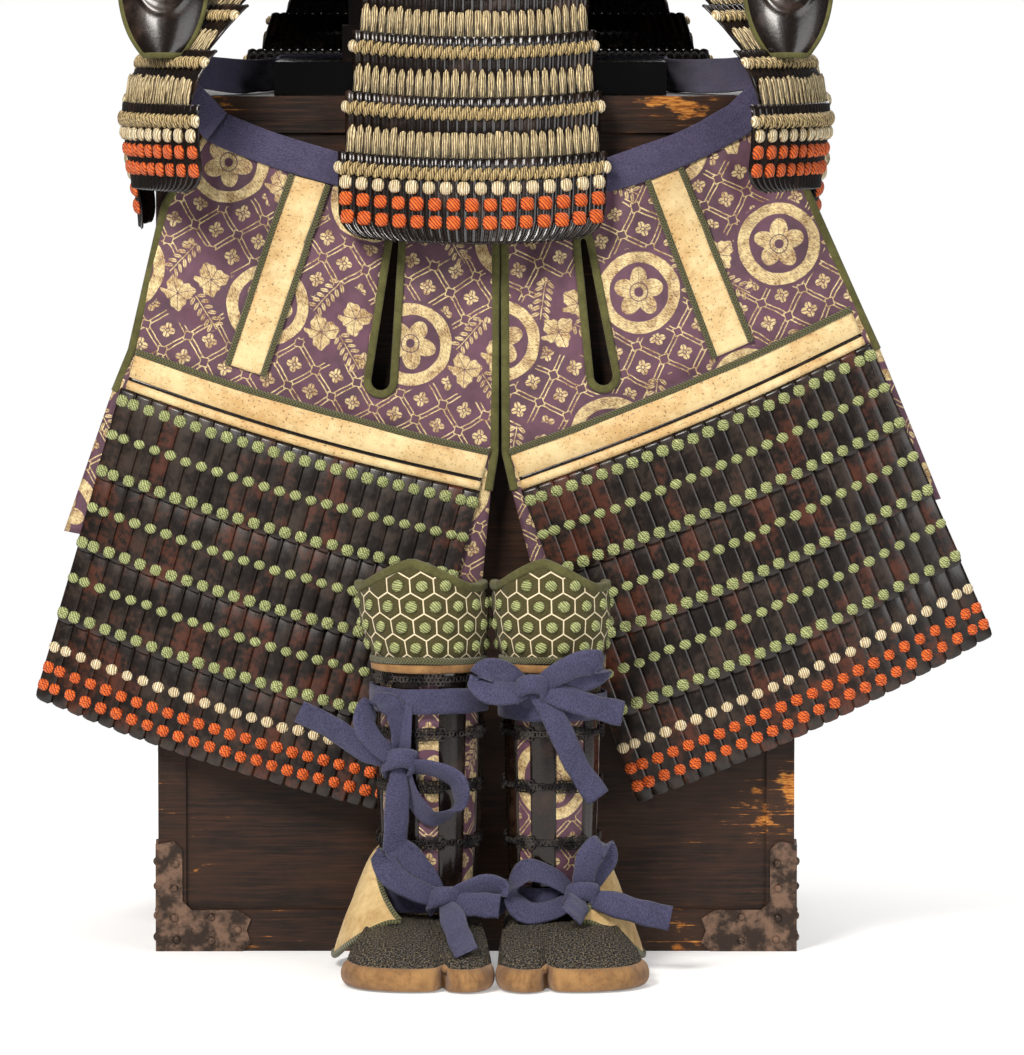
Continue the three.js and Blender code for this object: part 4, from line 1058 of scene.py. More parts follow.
    def mesh(self, name: str, closed: bool = False, tinted: bool = True) -> Mesh:
        """The shape as a smooth-shaded mesh in metres.

        Args:
            name: the mesh's name.
            closed: whether all of it is closed, so that its faces can be turned to point out.
            tinted: whether it carries its tints.

        Returns:
            The mesh.
        """
        mesh = bpy.data.meshes.new(name)
        mesh.from_pydata([point * MM for point in self.points], [], self.faces)
        layer = mesh.uv_layers.new(name="UVMap")
        for loop in mesh.loops:
            across, down = self.flat[loop.vertex_index]
            layer.uv[loop.index].vector = (across * MM, down * MM)
        if tinted:
            mesh.attributes.new("tint", "FLOAT", "POINT").data.foreach_set("value", self.tints)
        work = bmesh.new()
        work.from_mesh(mesh)
        bmesh.ops.delete(work, geom=[vert for vert in work.verts if not vert.link_faces], context="VERTS")
        bmesh.ops.remove_doubles(work, verts=work.verts, dist=2e-5)
        if closed:
            bmesh.ops.recalc_face_normals(work, faces=work.faces)
        work.to_mesh(mesh)
        work.free()
        mesh.shade_smooth()
        return mesh

    def build(self, name: str, material: Material, slot: str, replaces: Sequence[str] = (), wall: float = 0.0,
              closed: bool = False) -> Object:
        """The shape as a finished piece of the armour.

        Args:
            name: the piece's name.
            material: its finish.
            slot: not used; it is only handed on to place_piece.
            replaces: the solids that it stands for.
            wall: the thickness it grows inwards, if it is an open surface.
            closed: whether all of it is closed.

        Returns:
            The piece.
        """
        piece = place_piece(name, self.mesh(name, closed), material, slot, replaces)
        if wall:
            solidify = piece.modifiers.new("Wall", "SOLIDIFY")
            solidify.thickness = wall * MM
            solidify.offset = -1
        return piece


def place_piece(name: str, mesh: Mesh, material: Material, slot: str,
                replaces: Sequence[str] = ()) -> Object:
    """Put a mesh into the scene as a piece that rides on the armour's one body.

    Args:
        name: the piece's name.
        mesh: its mesh.
        material: its finish.
        slot: not used.
        replaces: the nodes it is seen instead of.

    Returns:
        The piece.
    """
    piece = bpy.data.objects.new(name, mesh)
    bpy.context.scene.collection.objects.link(piece)
    piece.data.materials.clear()
    piece.data.materials.append(material)
    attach(piece, "root")
    for node in replaces:
        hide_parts(node)
    LOG.info("%s: %d faces", name, len(mesh.polygons))
    return piece


class Spline:
    """A smooth curve through points, measured along its length."""

    def __init__(self, points: Iterable[Vector], closed: bool = False, fine: int = 24) -> None:
        """Args:
            points: the points that it passes through.
            closed: whether it returns to the first one.
            fine: samples between two points.
        """
        self.points, self.closed = list(points), closed
        spans = len(self.points) - (0 if closed else 1)
        self.samples = [self.point(index / (spans * fine)) for index in range(spans * fine + 1)]
        self.run = [0.0]
        for before, after in zip(self.samples, self.samples[1:]):
            self.run.append(self.run[-1] + (after - before).length)
        self.length = self.run[-1]

    def point(self, place: float) -> Vector:
        """The point at a share of the curve's spans, not of its length.

        Args:
            place: the share of the spans.

        Returns:
            The point.
        """
        count = len(self.points)
        spans = count if self.closed else count - 1
        index = min(int(place * spans), spans - 1)
        share = place * spans - index
        if self.closed:
            before, first, second, after = (self.points[(index + step) % count] for step in (-1, 0, 1, 2))
        else:
            first, second = self.points[index], self.points[index + 1]
            before = self.points[index - 1] if index else first * 2 - second
            after = self.points[index + 2] if index + 2 < count else second * 2 - first
        gaps = [max((end - start).length ** 0.5, 1e-4) for start,
                end in ((before, first), (first, second), (second, after))]
        enter = (first - before) / gaps[0] - (second - before) / (gaps[0] + gaps[1]) + (second - first) / gaps[1]
        leave = (second - first) / gaps[1] - (after - first) / (gaps[1] + gaps[2]) + (after - second) / gaps[2]
        enter, leave = enter * gaps[1], leave * gaps[1]
        return (first + enter * share + (second * 3 - first * 3 - enter * 2 - leave) * share ** 2
                + (first * 2 - second * 2 + enter + leave) * share ** 3)

    def at(self, share: float) -> Vector:
        """The point at a share of the curve's length.

        Args:
            share: the share of the length.

        Returns:
            The point.
        """
        run = min(max(share, 0.0), 1.0) * self.length
        low, high = 0, len(self.run) - 1
        while high - low > 1:
            middle = (low + high) // 2
            low, high = (middle, high) if self.run[middle] <= run else (low, middle)
        part = (run - self.run[low]) / max(self.run[high] - self.run[low], 1e-9)
        return self.samples[low].lerp(self.samples[high], part)

    def along(self, share: float) -> Vector:
        """The direction of the curve at a share of its length."""
        return (self.at(share + 0.01) - self.at(share - 0.01)).normalized()


def normal_at(surface: Surface, u: float, v: float, reach: float = 0.004) -> Vector:
    """The direction out of a surface whose u runs right and v down as seen from outside.

    Args:
        surface: gives a point for each u and v.
        u, v: the place.
        reach: the step it measures over.

    Returns:
        The direction, of length 1.
    """
    across = surface(u + reach, v) - surface(u - reach, v)
    down = surface(u, v + reach) - surface(u, v - reach)
    return down.cross(across).normalized()


def on_surface(surface: Surface, us: Sequence[float], vs: Sequence[float],
               lift: Callable[[float, float], float] | float = 0.0) -> Rows:
    """Points at a lift above a surface, in rows."""
    rise = lift if callable(lift) else lambda u, v: lift
    return [[surface(u, v) + normal_at(surface, u, v) * rise(u, v) for u in us] for v in vs]


def laid_out(levels: Sequence, columns: Sequence, cell: Callable[..., tuple[Vector, Pair]]) -> tuple[Rows, Flat]:
    """Rows of points with their flat places.

    Args:
        levels: what is given for each row.
        columns: what is given for each place of a row.
        cell: gives a point and its flat place from the two.

    Returns:
        The rows and the flat places.
    """
    cells = [[cell(level, column) for column in columns] for level in levels]
    return [[at for at, _ in line] for line in cells], [[place for _, place in line] for line in cells]


def measured(rows: Rows) -> Flat:
    """Flat places of a grid by its own lengths, from the middle column and the top row.

    Args:
        rows: the grid's points.

    Returns:
        A flat place for each point.
    """
    middle = len(rows[0]) // 2
    flat, down = [], 0.0
    for index, line in enumerate(rows):
        if index:
            down += (line[middle] - rows[index - 1][middle]).length
        along = [0.0]
        for before, after in zip(line, line[1:]):
            along.append(along[-1] + (after - before).length)
        flat.append([(run - along[middle], -down) for run in along])
    return flat


class Input(Enum):
    """The named inputs of the tree that repeats a shape."""

    SHAPE = ("Shape", "NodeSocketObject")
    FINISH = ("Finish", "NodeSocketMaterial")
    SPREAD = ("Size Spread", "NodeSocketFloat")
    SEED = ("Seed", "NodeSocketInt")


def repeat_tree() -> tuple[NodeTree, dict[Input, str]]:
    """The Geometry Nodes tree that sets one shape on every point, turned and sized by the point's own values.

    Returns:
        The tree and the identifier of each input.
    """
    tree = bpy.data.node_groups.new("repeat_on_points", "GeometryNodeTree")
    tree.interface.new_socket("Geometry", in_out="INPUT", socket_type="NodeSocketGeometry")
    names = {key: tree.interface.new_socket(key.value[0], in_out="INPUT", socket_type=key.value[1]).identifier
             for key in Input}
    tree.interface.new_socket("Geometry", in_out="OUTPUT", socket_type="NodeSocketGeometry")
    new, link = tree.nodes.new, tree.links.new
    entry, leave = new("NodeGroupInput"), new("NodeGroupOutput")
    shape, place = new("GeometryNodeObjectInfo"), new("GeometryNodeInstanceOnPoints")
    link(entry.outputs["Shape"], shape.inputs["Object"])
    link(entry.outputs["Geometry"], place.inputs["Points"])
    link(shape.outputs["Geometry"], place.inputs["Instance"])
    values = {}
    for name in ("turn", "size"):
        values[name] = new("GeometryNodeInputNamedAttribute")
        values[name].data_type = "FLOAT_VECTOR"
        values[name].inputs["Name"].default_value = name
    turn = new("FunctionNodeEulerToRotation")
    link(values["turn"].outputs["Attribute"], turn.inputs[0])
    link(turn.outputs[0], place.inputs["Rotation"])
    low, high, spread = new("ShaderNodeMath"), new("ShaderNodeMath"), new("FunctionNodeRandomValue")
    low.operation, high.operation = "SUBTRACT", "ADD"
    for node in (low, high):
        node.inputs[0].default_value = 1.0
        link(entry.outputs["Size Spread"], node.inputs[1])
    spread.data_type = "FLOAT"
    link(low.outputs[0], spread.inputs[2])
    link(high.outputs[0], spread.inputs[3])
    link(entry.outputs["Seed"], spread.inputs["Seed"])
    scaled = new("ShaderNodeVectorMath")
    scaled.operation = "SCALE"
    link(values["size"].outputs["Attribute"], scaled.inputs[0])
    link(spread.outputs[1], scaled.inputs["Scale"])
    link(scaled.outputs[0], place.inputs["Scale"])
    real, finish = new("GeometryNodeRealizeInstances"), new("GeometryNodeSetMaterial")
    link(place.outputs["Instances"], real.inputs[0])
    link(real.outputs[0], finish.inputs["Geometry"])
    link(entry.outputs["Finish"], finish.inputs["Material"])
    link(finish.outputs[0], leave.inputs[0])
    return tree, names


@dataclass
class Scatter:
    """One small shape set many times: its x runs right, its y up and its z out of what it lies on.

    Attributes:
        shape: the small shape.
        name: the finished piece's name.
        slot: not used; it is only handed on to place_piece.
        spread: how much the sizes differ.
        places, turns, sizes, tints: the values of each point.
    """

    shape: Shape
    name: str
    slot: str
    spread: float = 0.05
    places: list[Vector] = field(default_factory=list)
    turns: list[tuple[float, float, float]] = field(default_factory=list)
    sizes: list[tuple[float, float, float]] = field(default_factory=list)
    tints: list[float] = field(default_factory=list)

    def put(self, at: Vector, right: Vector, out: Vector, size: tuple[float, float, float] = (1.0, 1.0, 1.0)) -> None:
        """Add one copy.

        Args:
            at: its place.
            right: the way its width runs, roughly.
            out: the way it faces.
            size: its scale along right, up and out.
        """
        out = out.normalized()
        right = (right - out * right.dot(out)).normalized()
        turn = Matrix((right, out.cross(right), out)).transposed().to_euler()
        self.places.append(at)
        self.turns.append(tuple(turn))
        self.sizes.append(size)
        self.tints.append(0.5 + 0.5 * uneven(*(at * 0.21)))

    def build(self, material: Material, seed: int = 7) -> Object:
        """Repeat the shape and keep the result as a plain mesh.

        Args:
            material: the finish.
            seed: the seed of its uneven sizes.

        Returns:
            The finished piece.
        """
        tree, names = repeat_tree()
        spots = bpy.data.meshes.new(self.name + "_spots")
        spots.from_pydata([place * MM for place in self.places], [], [])
        for key, values in (("turn", self.turns), ("size", self.sizes)):
            layer = spots.attributes.new(key, "FLOAT_VECTOR", "POINT")
            layer.data.foreach_set("vector", [number for value in values for number in value])
        spots.attributes.new("tint", "FLOAT", "POINT").data.foreach_set("value", self.tints)
        carrier = bpy.data.objects.new(self.name + "_carrier", spots)
        sample = bpy.data.objects.new(self.name + "_sample", self.shape.mesh(self.name + "_one", True, False))
        bpy.context.scene.collection.objects.link(carrier)
        bpy.context.scene.collection.objects.link(sample)
        repeat = carrier.modifiers.new("Repeat", "NODES")
        repeat.node_group = tree
        chosen = {Input.SHAPE: sample, Input.FINISH: material, Input.SPREAD: self.spread, Input.SEED: seed}
        for key, value in chosen.items():
            repeat[names[key]] = value
        graph = bpy.context.evaluated_depsgraph_get()
        mesh = bpy.data.meshes.new_from_object(carrier.evaluated_get(graph), depsgraph=graph)
        mesh.name = self.name
        for unused in (carrier, sample):
            bpy.data.objects.remove(unused)
        bpy.data.node_groups.remove(tree)
        mesh.shade_smooth()
        return place_piece(self.name, mesh, material, self.slot)


# Thigh guard -------------------------------------------------------------------------------------


@dataclass(frozen=True)
class Row:
    """One level of a cloth half: its inner and outer ends in the front view, as x and z."""

    inner: Pair
    outer: Pair

    def at(self, outward: float) -> Pair:
        """The place a share of the way from the inner end to the outer one."""
        return lerp(self.inner[0], self.outer[0], outward), lerp(self.inner[1], self.outer[1], outward)


@dataclass(frozen=True)
class Pleat:
    """A fold that hangs from the belt: where it starts and ends, how deep and how wide it is."""

    top_x: float
    foot_x: float
    depth: float
    half_width: float
    foot_z: float


@dataclass(frozen=True)
class Crease:
    """A small fold in the cloth, from one place of the front view to another."""

    start: Pair
    end: Pair
    depth: float
    width: float

    def height(self, x: float, z: float) -> float:
        """How far it moves the cloth at a place; it dies away at both ends.

        Args:
            x, z: the place in the front view.

        Returns:
            The height of the fold there.
        """
        run = Vector(self.end) - Vector(self.start)
        away = Vector((x, z)) - Vector(self.start)
        share = away.dot(run) / run.length_squared
        if not -0.3 < share < 1.3:
            return 0.0
        over = (run.x * away.y - run.y * away.x) / run.length
        fade = eased(share, -0.3, 0.3) * eased(share, 1.3, 0.7)
        skew = over / (self.width * (0.75 if over > 0 else 1.3))
        return self.depth * fade * math.exp(-skew * skew)


@dataclass(frozen=True)
class Slit:
    """A teardrop slit with its round end down."""

    top: Pair
    foot: Pair
    top_radius: float = 2.5
    foot_radius: float = 9.0

    def inside(self, x: float, z: float, grow: float) -> bool:
        """Whether a place of the front view lies in the slit, grown all round.

        Args:
            x, z: the place in the front view.
            grow: how far it is grown.

        Returns:
            Whether the place lies in it.
        """
        run = Vector(self.foot) - Vector(self.top)
        away = Vector((x, z)) - Vector(self.top)
        share = min(1.0, max(0.0, away.dot(run) / run.length_squared))
        return (away - run * share).length < lerp(self.top_radius, self.foot_radius, share) + grow

    def outline(self, grow: float, fine: int = 14) -> list[Pair]:
        """Places round the slit, grown all round, the first repeated at the end.

        Args:
            grow: how far it is grown.
            fine: how many steps it has.

        Returns:
            The places.
        """
        tilt = math.atan2(self.foot[0] - self.top[0], self.top[1] - self.foot[1])
        ends = [(self.foot, self.foot_radius, steps(fine, -math.pi, 0.0)),
                (self.top, self.top_radius, steps(6, 0.0, math.pi))]
        places = [(x + (radius + grow) * math.cos(angle + tilt), z + (radius + grow) * math.sin(angle + tilt))
                  for (x, z), radius, angles in ends for angle in angles]
        sides = []
        for before, after in zip(places, places[1:] + places[:1]):
            parts = 10 if (Vector(after) - Vector(before)).length > 40 else 1
            sides += [(lerp(before[0], after[0], share), lerp(before[1], after[1], share))
                      for share in steps(parts)[:-1]]
        return sides + sides[:1]


@dataclass
class ThighGuard:
    """One half of the thigh guard: brocade with its slit, straps, bound edges, band and laced scales.

    Attributes:
        side: the half that it is.
        finishes: every finish.
        front, lean, wrap: the cloth's depth, how far it leans and how it wraps round the legs.
        belt_rise: how steeply the belt rises from its middle.
        rows: the cloth's levels from belt to hem, and corners the scale rows' first and last line.
        pleats, creases, slit: the cloth's folds and its opening.
        strap: the strap's places between the cloth's inner and outer edge, at its top and its foot.
        lean_of_pattern: how far the brocade's pattern turns with the flare, in degrees.
        tier_feet: where each tier of scales ends, below the first line.
        flat: the cloth's cut size in metres, and area its area; neither is used.
    """

    side: Side
    finishes: Finishes
    belt_rise: float
    rows: tuple[Row, ...]
    corners: tuple[Row, Row]
    pleats: tuple[Pleat, ...]
    creases: tuple[Crease, ...]
    slit: Slit
    strap: tuple[Pair, Pair]
    lean_of_pattern: float
    flat: Pair
    area: float
    front: float = -262.0
    lean: float = 16.0
    wrap: float = 46.0
    scales: int = 23
    plate_depth: float = 322.0
    tier_feet: tuple[float, ...] = (92.0, 166.0, 240.0, 322.0)
    sag: float = 7.0

    def belt_z(self, x: float) -> float:
        """Height of the belt's lower edge."""
        return 751.0 + self.belt_rise * (x - 24.0) ** 2

    def cloth_y(self, x: float, z: float) -> float:
        """Depth of the cloth behind a place of the front view, with its pleats and creases.

        Args:
            x, z: the place in the front view.

        Returns:
            The depth.
        """
        fold = 0.0
        for pleat in self.pleats:
            top = self.belt_z(pleat.top_x)
            share = (top - z) / (top - pleat.foot_z)
            middle = lerp(pleat.top_x, pleat.foot_x, share)
            fade = eased(share, 0.0, 0.2) * (1 - eased(share, 0.4, 1.0))
            fold += pleat.depth * fade * math.exp(-((x - middle) / pleat.half_width) ** 2)
        fold += sum(crease.height(x, z) for crease in self.creases)
        return self.front - self.lean * (840 - z) / 700 + self.wrap * ((x - 21) / 450) ** 4 - fold

    def outward(self, u: float) -> float:
        """Share of the way from the inner edge to the outer one, for u from left to right."""
        return 1 - u if self.side is Side.LEFT else u

    def cloth(self, u: float, v: float) -> Vector:
        """The cloth's outer face: u from left to right, v from the belt to the hem.

        Args:
            u, v: the place.

        Returns:
            The point.
        """
        place = min(max(v, 0.0), 1.0) * (len(self.rows) - 1)
        index = min(int(place), len(self.rows) - 2)
        share = v * (len(self.rows) - 1) - index
        outward = self.outward(u)
        ends = []
        for level in (index, index + 1):
            x, z = self.rows[level].at(outward)
            sag = self.sag * math.sin(math.pi * min(max(outward, 0.0), 1.0))
            ends.append((x, self.belt_z(x) + 12 if level == 0 else z - sag * (4 if level == 1 else 1)))
        x, z = lerp(ends[0][0], ends[1][0], share), lerp(ends[0][1], ends[1][1], share)
        return Vector((x, self.cloth_y(x, z), z))

    def plates(self, u: float, v: float) -> Vector:
        """The face under the scales: u as above, v as a share of the scale rows' depth.

        Args:
            u, v: the place.

        Returns:
            The point.
        """
        outward = self.outward(u)
        (top_x, top_z), (foot_x, foot_z) = self.corners[0].at(outward), self.corners[1].at(outward)
        x = lerp(top_x, foot_x, v)
        z = lerp(top_z, foot_z, v) - self.sag * math.sin(math.pi * min(max(outward, 0.0), 1.0))
        return Vector((x, self.cloth_y(x, z), z))

    def pattern_place(self, at: Vector) -> Pair:
        """The brocade's own flat place behind a point."""
        turn = math.radians(self.lean_of_pattern)
        return at.x * math.cos(turn) - at.z * math.sin(turn), at.x * math.sin(turn) + at.z * math.cos(turn)

    def wrinkle(self, u: float, v: float) -> float:
        """Fine soft wrinkles that run down from the belt, stronger in some places than in others."""
        strength = 0.35 + 0.65 * eased(uneven(u * 3.1, v * 2.3, seed=8), -0.4, 0.5)
        return 1.1 * strength * uneven(u * 15 + v * 2, v * 5.5, seed=self.side.value + 5)

    def build_cloth(self) -> Object:
        """The brocade sheet, cut away inside its slit.

        Returns:
            The piece.
        """
        rows = on_surface(self.cloth, steps(92), steps(100),
                          lambda u, v: 0.7 * uneven(u * 7, v * 7, seed=self.side.value) + self.wrinkle(u, v))
        flat = [[self.pattern_place(at) for at in line] for line in rows]
        shape = Shape().grid(rows, flat, keep=lambda at: not self.slit.inside(at.x, at.z, 4.2))
        piece = shape.build(f"thigh_brocade_{self.side.word}", self.finishes.brocade, "brocade",
                            [f"haidate_cloth_{self.side.word}"], wall=1.6)
        return piece

    def roll(self, path: list[Vector], outs: list[Vector], radius: float, name: str, nodes: Sequence[str],
             wide: float = 1.0) -> Object:
        """A rolled or folded strip along a path that lies on the cloth.

        Args:
            path: its middle line.
            outs: the way that the cloth faces along it.
            radius: half its thickness.
            name: the piece's name.
            nodes: the solids that it stands for.
            wide: how many times wider than thick it is.

        Returns:
            The piece.
        """
        rows, flat, run, last = [], [], 0.0, len(path) - 1
        closed = (path[0] - path[-1]).length < 0.01
        for index, (at, out) in enumerate(zip(path, outs)):
            before = path[index - 1] if index else path[-2 if closed else 0]
            after = path[index + 1] if index < last else path[1 if closed else last]
            along = (after - before).normalized()
            over = out.cross(along).normalized()
            run += (at - before).length
            line, places = [], []
            for turn in steps(12, 0, 2 * math.pi):
                line.append(at + over * (radius * wide * math.cos(turn)) + over.cross(along)
                            * (-radius * math.sin(turn)))
                places.append((radius * wide * math.cos(turn), run))
            rows.append(line)
            flat.append(places)
        shape = Shape().grid(rows, flat)
        if not closed:
            shape.faces += [tuple(range(12)), tuple(range(last * 13 + 11, last * 13 - 1, -1))]
        return shape.build(name, self.finishes.felt, "binding", nodes, closed=True)

    def build_edges(self) -> None:
        """The olive binding folded over both long edges."""
        for word in ("edge", "centre"):
            u, inward = (1.0, -1) if (word == "edge") == (self.side is Side.RIGHT) else (0.0, 1)
            vs = steps(60, 0.12, 0.75)
            path = [self.cloth(u, v) + (self.cloth(u + inward * 0.05, v) - self.cloth(u, v)).normalized() * 2.6
                    for v in vs]
            outs = [normal_at(self.cloth, u, v) for v in vs]
            path = [at - out * 1.0 for at, out in zip(path, outs)]
            self.roll(path, outs, 2.4, f"thigh_{word}_{self.side.word}", [f"haidate_{word}_{self.side.word}"], 1.8)

    def front_place(self, x: float, z: float) -> tuple[Vector, Vector]:
        """The cloth's point behind a place of the front view, and the way it faces there.

        Args:
            x, z: the place in the front view.

        Returns:
            The point and the direction.
        """
        def face(across: float, down: float) -> Vector:
            """The cloth's point at a place of the front view.

            Args:
                across, down: the place's x and z.

            Returns:
                The point.
            """
            return Vector((across, self.cloth_y(across, -down), -down))
        return face(x, -z), normal_at(face, x, -z, 0.6)

    def build_slit(self) -> None:
        """The felt binding round the slit."""
        places = [self.front_place(x, z) for x, z in self.slit.outline(4.3)]
        self.roll([at + out * 1.6 for at, out in places], [out for _, out in places], 1.9,
                  f"thigh_slit_{self.side.word}", [f"slit_binding_{self.side.word}"], 2.1)

    def strap_place(self, u: float, v: float) -> Vector:
        """The strap's face: u across it and v down it, both from 0 to 1.

        Args:
            u, v: the place.

        Returns:
            The point.
        """
        ends = []
        for (low, high), down in zip(self.strap, (0.035, 0.468)):
            outward = lerp(low, high, self.outward(u))
            ends.append(self.cloth(self.outward(outward), down))
        at = ends[0].lerp(ends[1], v)
        return Vector((at.x, self.cloth_y(at.x, at.z), at.z))

    def build_strap(self) -> None:
        """The tan leather strap with an olive braid down both edges."""
        rows = on_surface(self.strap_place, steps(14), steps(60), lambda u, v: 2.2 + 0.5 * math.sin(math.pi * u))
        Shape().grid(rows, measured(rows)).build(
            f"thigh_strap_{self.side.word}", self.finishes.leather, "leather", [f"haidate_strap_{self.side.word}"],
            wall=1.4)
        shape = Shape()
        for u in (-0.04, 1.04):
            path = Spline([self.strap_place(u, v) + normal_at(self.strap_place, u, v) * 3.0 for v in steps(24, 0, 1)])
            shape.ribbon(path, self.strap_place(1, 0.5) - self.strap_place(0, 0.5), 6.4, 3.2, 90)
        shape.build(f"strap_braid_{self.side.word}", self.finishes.braid, "binding", closed=True)

    def build_band(self) -> None:
        """The leather band over the scales: braid, flat leather, a rolled welt, and in the groove between them a black
        lacquer strip that paints its shadow.
        """
        inner, outer = 0.004, 0.012
        left, right = (outer, 1 - inner) if self.side is Side.LEFT else (inner, 1 - outer)
        us = steps(90, left, right)
        word = self.side.word
        profiles = {
            "leather": ([(-37, 2.2), (-36, 2.9), (-24, 3.1), (-13, 2.8), (-12, 1.2)], self.finishes.leather),
            "welt": ([(-9.5, 1.0), (-8.8, 3.2), (-6.5, 4.8), (-4.5, 5.2), (-2.4, 4.8), (-0.6, 3.4), (0.2, 1.2)],
                     self.finishes.leather),
            # painted shadow: a black lacquer strip laid in the gap between the band's leather and its welt
            "groove": ([(-13.5, 2.0), (-8.0, 2.0)], self.finishes.lacquer),
        }
        for key, (profile, material) in profiles.items():
            lifts = dict((v / self.plate_depth, lift) for v, lift in profile)
            rows = on_surface(self.plates, us, list(lifts), lambda u, v: lifts[v] + 0.25 * uneven(u * 9, v))
            Shape().grid(rows, measured(rows)).build(
                f"thigh_band_{key}_{word}", material, "leather", [f"haidate_band_{word}"] if key == "leather" else (),
                wall=1.0)
        path = Spline([self.plates(u, -38.5 / self.plate_depth) + normal_at(self.plates, u, -0.1) * 3.0
                       for u in steps(24, left, right)])
        Shape().ribbon(path, Vector((0, 0, 1)), 7.0, 3.4, 120).build(
            f"thigh_band_braid_{word}", self.finishes.braid, "binding", closed=True)

    def plate_lift(self, v: float) -> float:
        """How far the scales' underside stands off the cloth at a depth in millimetres.

        Args:
            v: the depth.

        Returns:
            The lift.
        """
        top = 0.0
        for foot in self.tier_feet:
            if v <= foot:
                return 0.4 + 4.6 * (v - top) / (foot - top)
            top = foot - 5.0
        return 5.0

    def build_scales(self) -> None:
        """Four tiers of separate lapped scales, each crowned, with its right edge over the next."""
        profile = [(-0.05, 0.0), (0.1, 0.8), (0.35, 1.7), (0.6, 2.2), (0.82, 2.4), (0.94, 2.2), (1.0, 1.2),
                   (1.01, -0.4)]
        top = 0.0
        for tier, foot in enumerate(self.tier_feet):
            shape = Shape()
            levels = [0.0, 0.04, 0.3, 0.6, 0.85, 0.95, 0.985, 1.0]
            for scale in range(self.scales):
                shade = 0.5 + 0.5 * uneven(scale * 1.73, tier * 2.9, seed=self.side.value + 3)
                shift = 1.2 * uneven(scale * 0.9, tier * 3.3, seed=5)
                rows, flat = [], []
                for level in levels:
                    line, places = [], []
                    for across, rise in profile:
                        drop = 2.2 * max(0.0, abs(across - 0.5) * 2 - 0.7) / 0.3 * level
                        v = lerp(top, foot + shift * 0.5, level) - drop * (level > 0.9)
                        rounded = 1.5 * eased(level, 0.95, 1.0) + 1.0 * eased(level, 0.04, 0.0)
                        lift = 0.4 + 4.6 * (v - top) / (foot - top) + 1.4 + rise - rounded
                        u = (scale + across) / self.scales
                        share = v / self.plate_depth
                        line.append(self.plates(u, share) + normal_at(self.plates, u, share) * lift)
                        places.append(((scale + across) * 16.0, -v))
                    rows.append(line)
                    flat.append(places)
                shape.grid(rows, flat, shade)
            shape.build(f"thigh_scales_{self.side.word}_{tier + 1}", self.finishes.scales, "scales",
                        [f"haidate_tier_{self.side.word}_{tier + 1}"], wall=1.8)
            top = foot - 5.0

    def put_knots(self, knots: dict[tuple[Knot, str], Scatter]) -> None:
        """Place the lace knots over the joints between the scales.

        Args:
            knots: the repeated knots of both halves, by shape and colour.
        """
        lines = [(12, Knot.CROSS, "green"), (47, Knot.ROUND, "green"), (84, Knot.CROSS, "green"),
                 (122, Knot.ROUND, "green"), (158, Knot.CROSS, "green"), (195, Knot.ROUND, "green"),
                 (231, Knot.CROSS, "green"), (267, Knot.EYE, "cream"), (288, Knot.CROSS, "orange"),
                 (306, Knot.CROSS, "orange")]
        for v, knot, colour in lines:
            for joint in range(self.scales + 1):
                u = min(max(joint / self.scales, 0.012), 0.988)
                share = (v + 0.9 * uneven(joint * 1.1, v)) / self.plate_depth
                out = normal_at(self.plates, u, share)
                at = self.plates(u, share) + out * (self.plate_lift(v) + 2.9)
                lean = Vector((1, 0, 0.12 * uneven(joint * 2.3, v * 0.7, seed=2)))
                right = self.plates(u + 0.01, share) - self.plates(u - 0.01, share)
                knots[(knot, colour)].put(at, right.normalized() + lean * 0.6, out)

    def build(self, knots: dict[tuple[Knot, str], Scatter]) -> None:
        """Build the whole half.

        Args:
            knots: the repeated knots, which it adds its own to.
        """
        self.build_cloth()
        self.build_edges()
        self.build_slit()
        self.build_strap()
        self.build_band()
        self.build_scales()
        self.put_knots(knots)


# Laced lames -------------------------------------------------------------------------------------

Place = Callable[[float, float, float], Vector]


@dataclass
class Lame:
    """One ribbed lame of a laced panel, by its runs down from the panel's head.

    Attributes:
        top, foot: where it starts and ends.
        width: its width.
        lip, tuck: how far its head and its foot stand off.
        hem: whether it is the last one, with rounded corners and rows of knots.
        corner: the radius of those corners.
    """

    top: float
    foot: float
    width: float
    lip: float = 4.5
    tuck: float = 0.2
    hem: bool = False
    corner: float = 26.0

    def half(self, run: float) -> float:
        """Half its width at a run.

        Args:
            run: how far down the panel.

        Returns:
            The half width.
        """
        over = run - (self.foot - self.corner)
        if not self.hem or over <= 0:
            return self.width / 2
        return self.width / 2 - self.corner + math.sqrt(max(0.0, self.corner ** 2 - over ** 2))

    def lift(self, run: float) -> float:
        """How far its face stands off at a run."""
        return lerp(self.lip, self.tuck, eased(run, self.top, self.foot + 12))


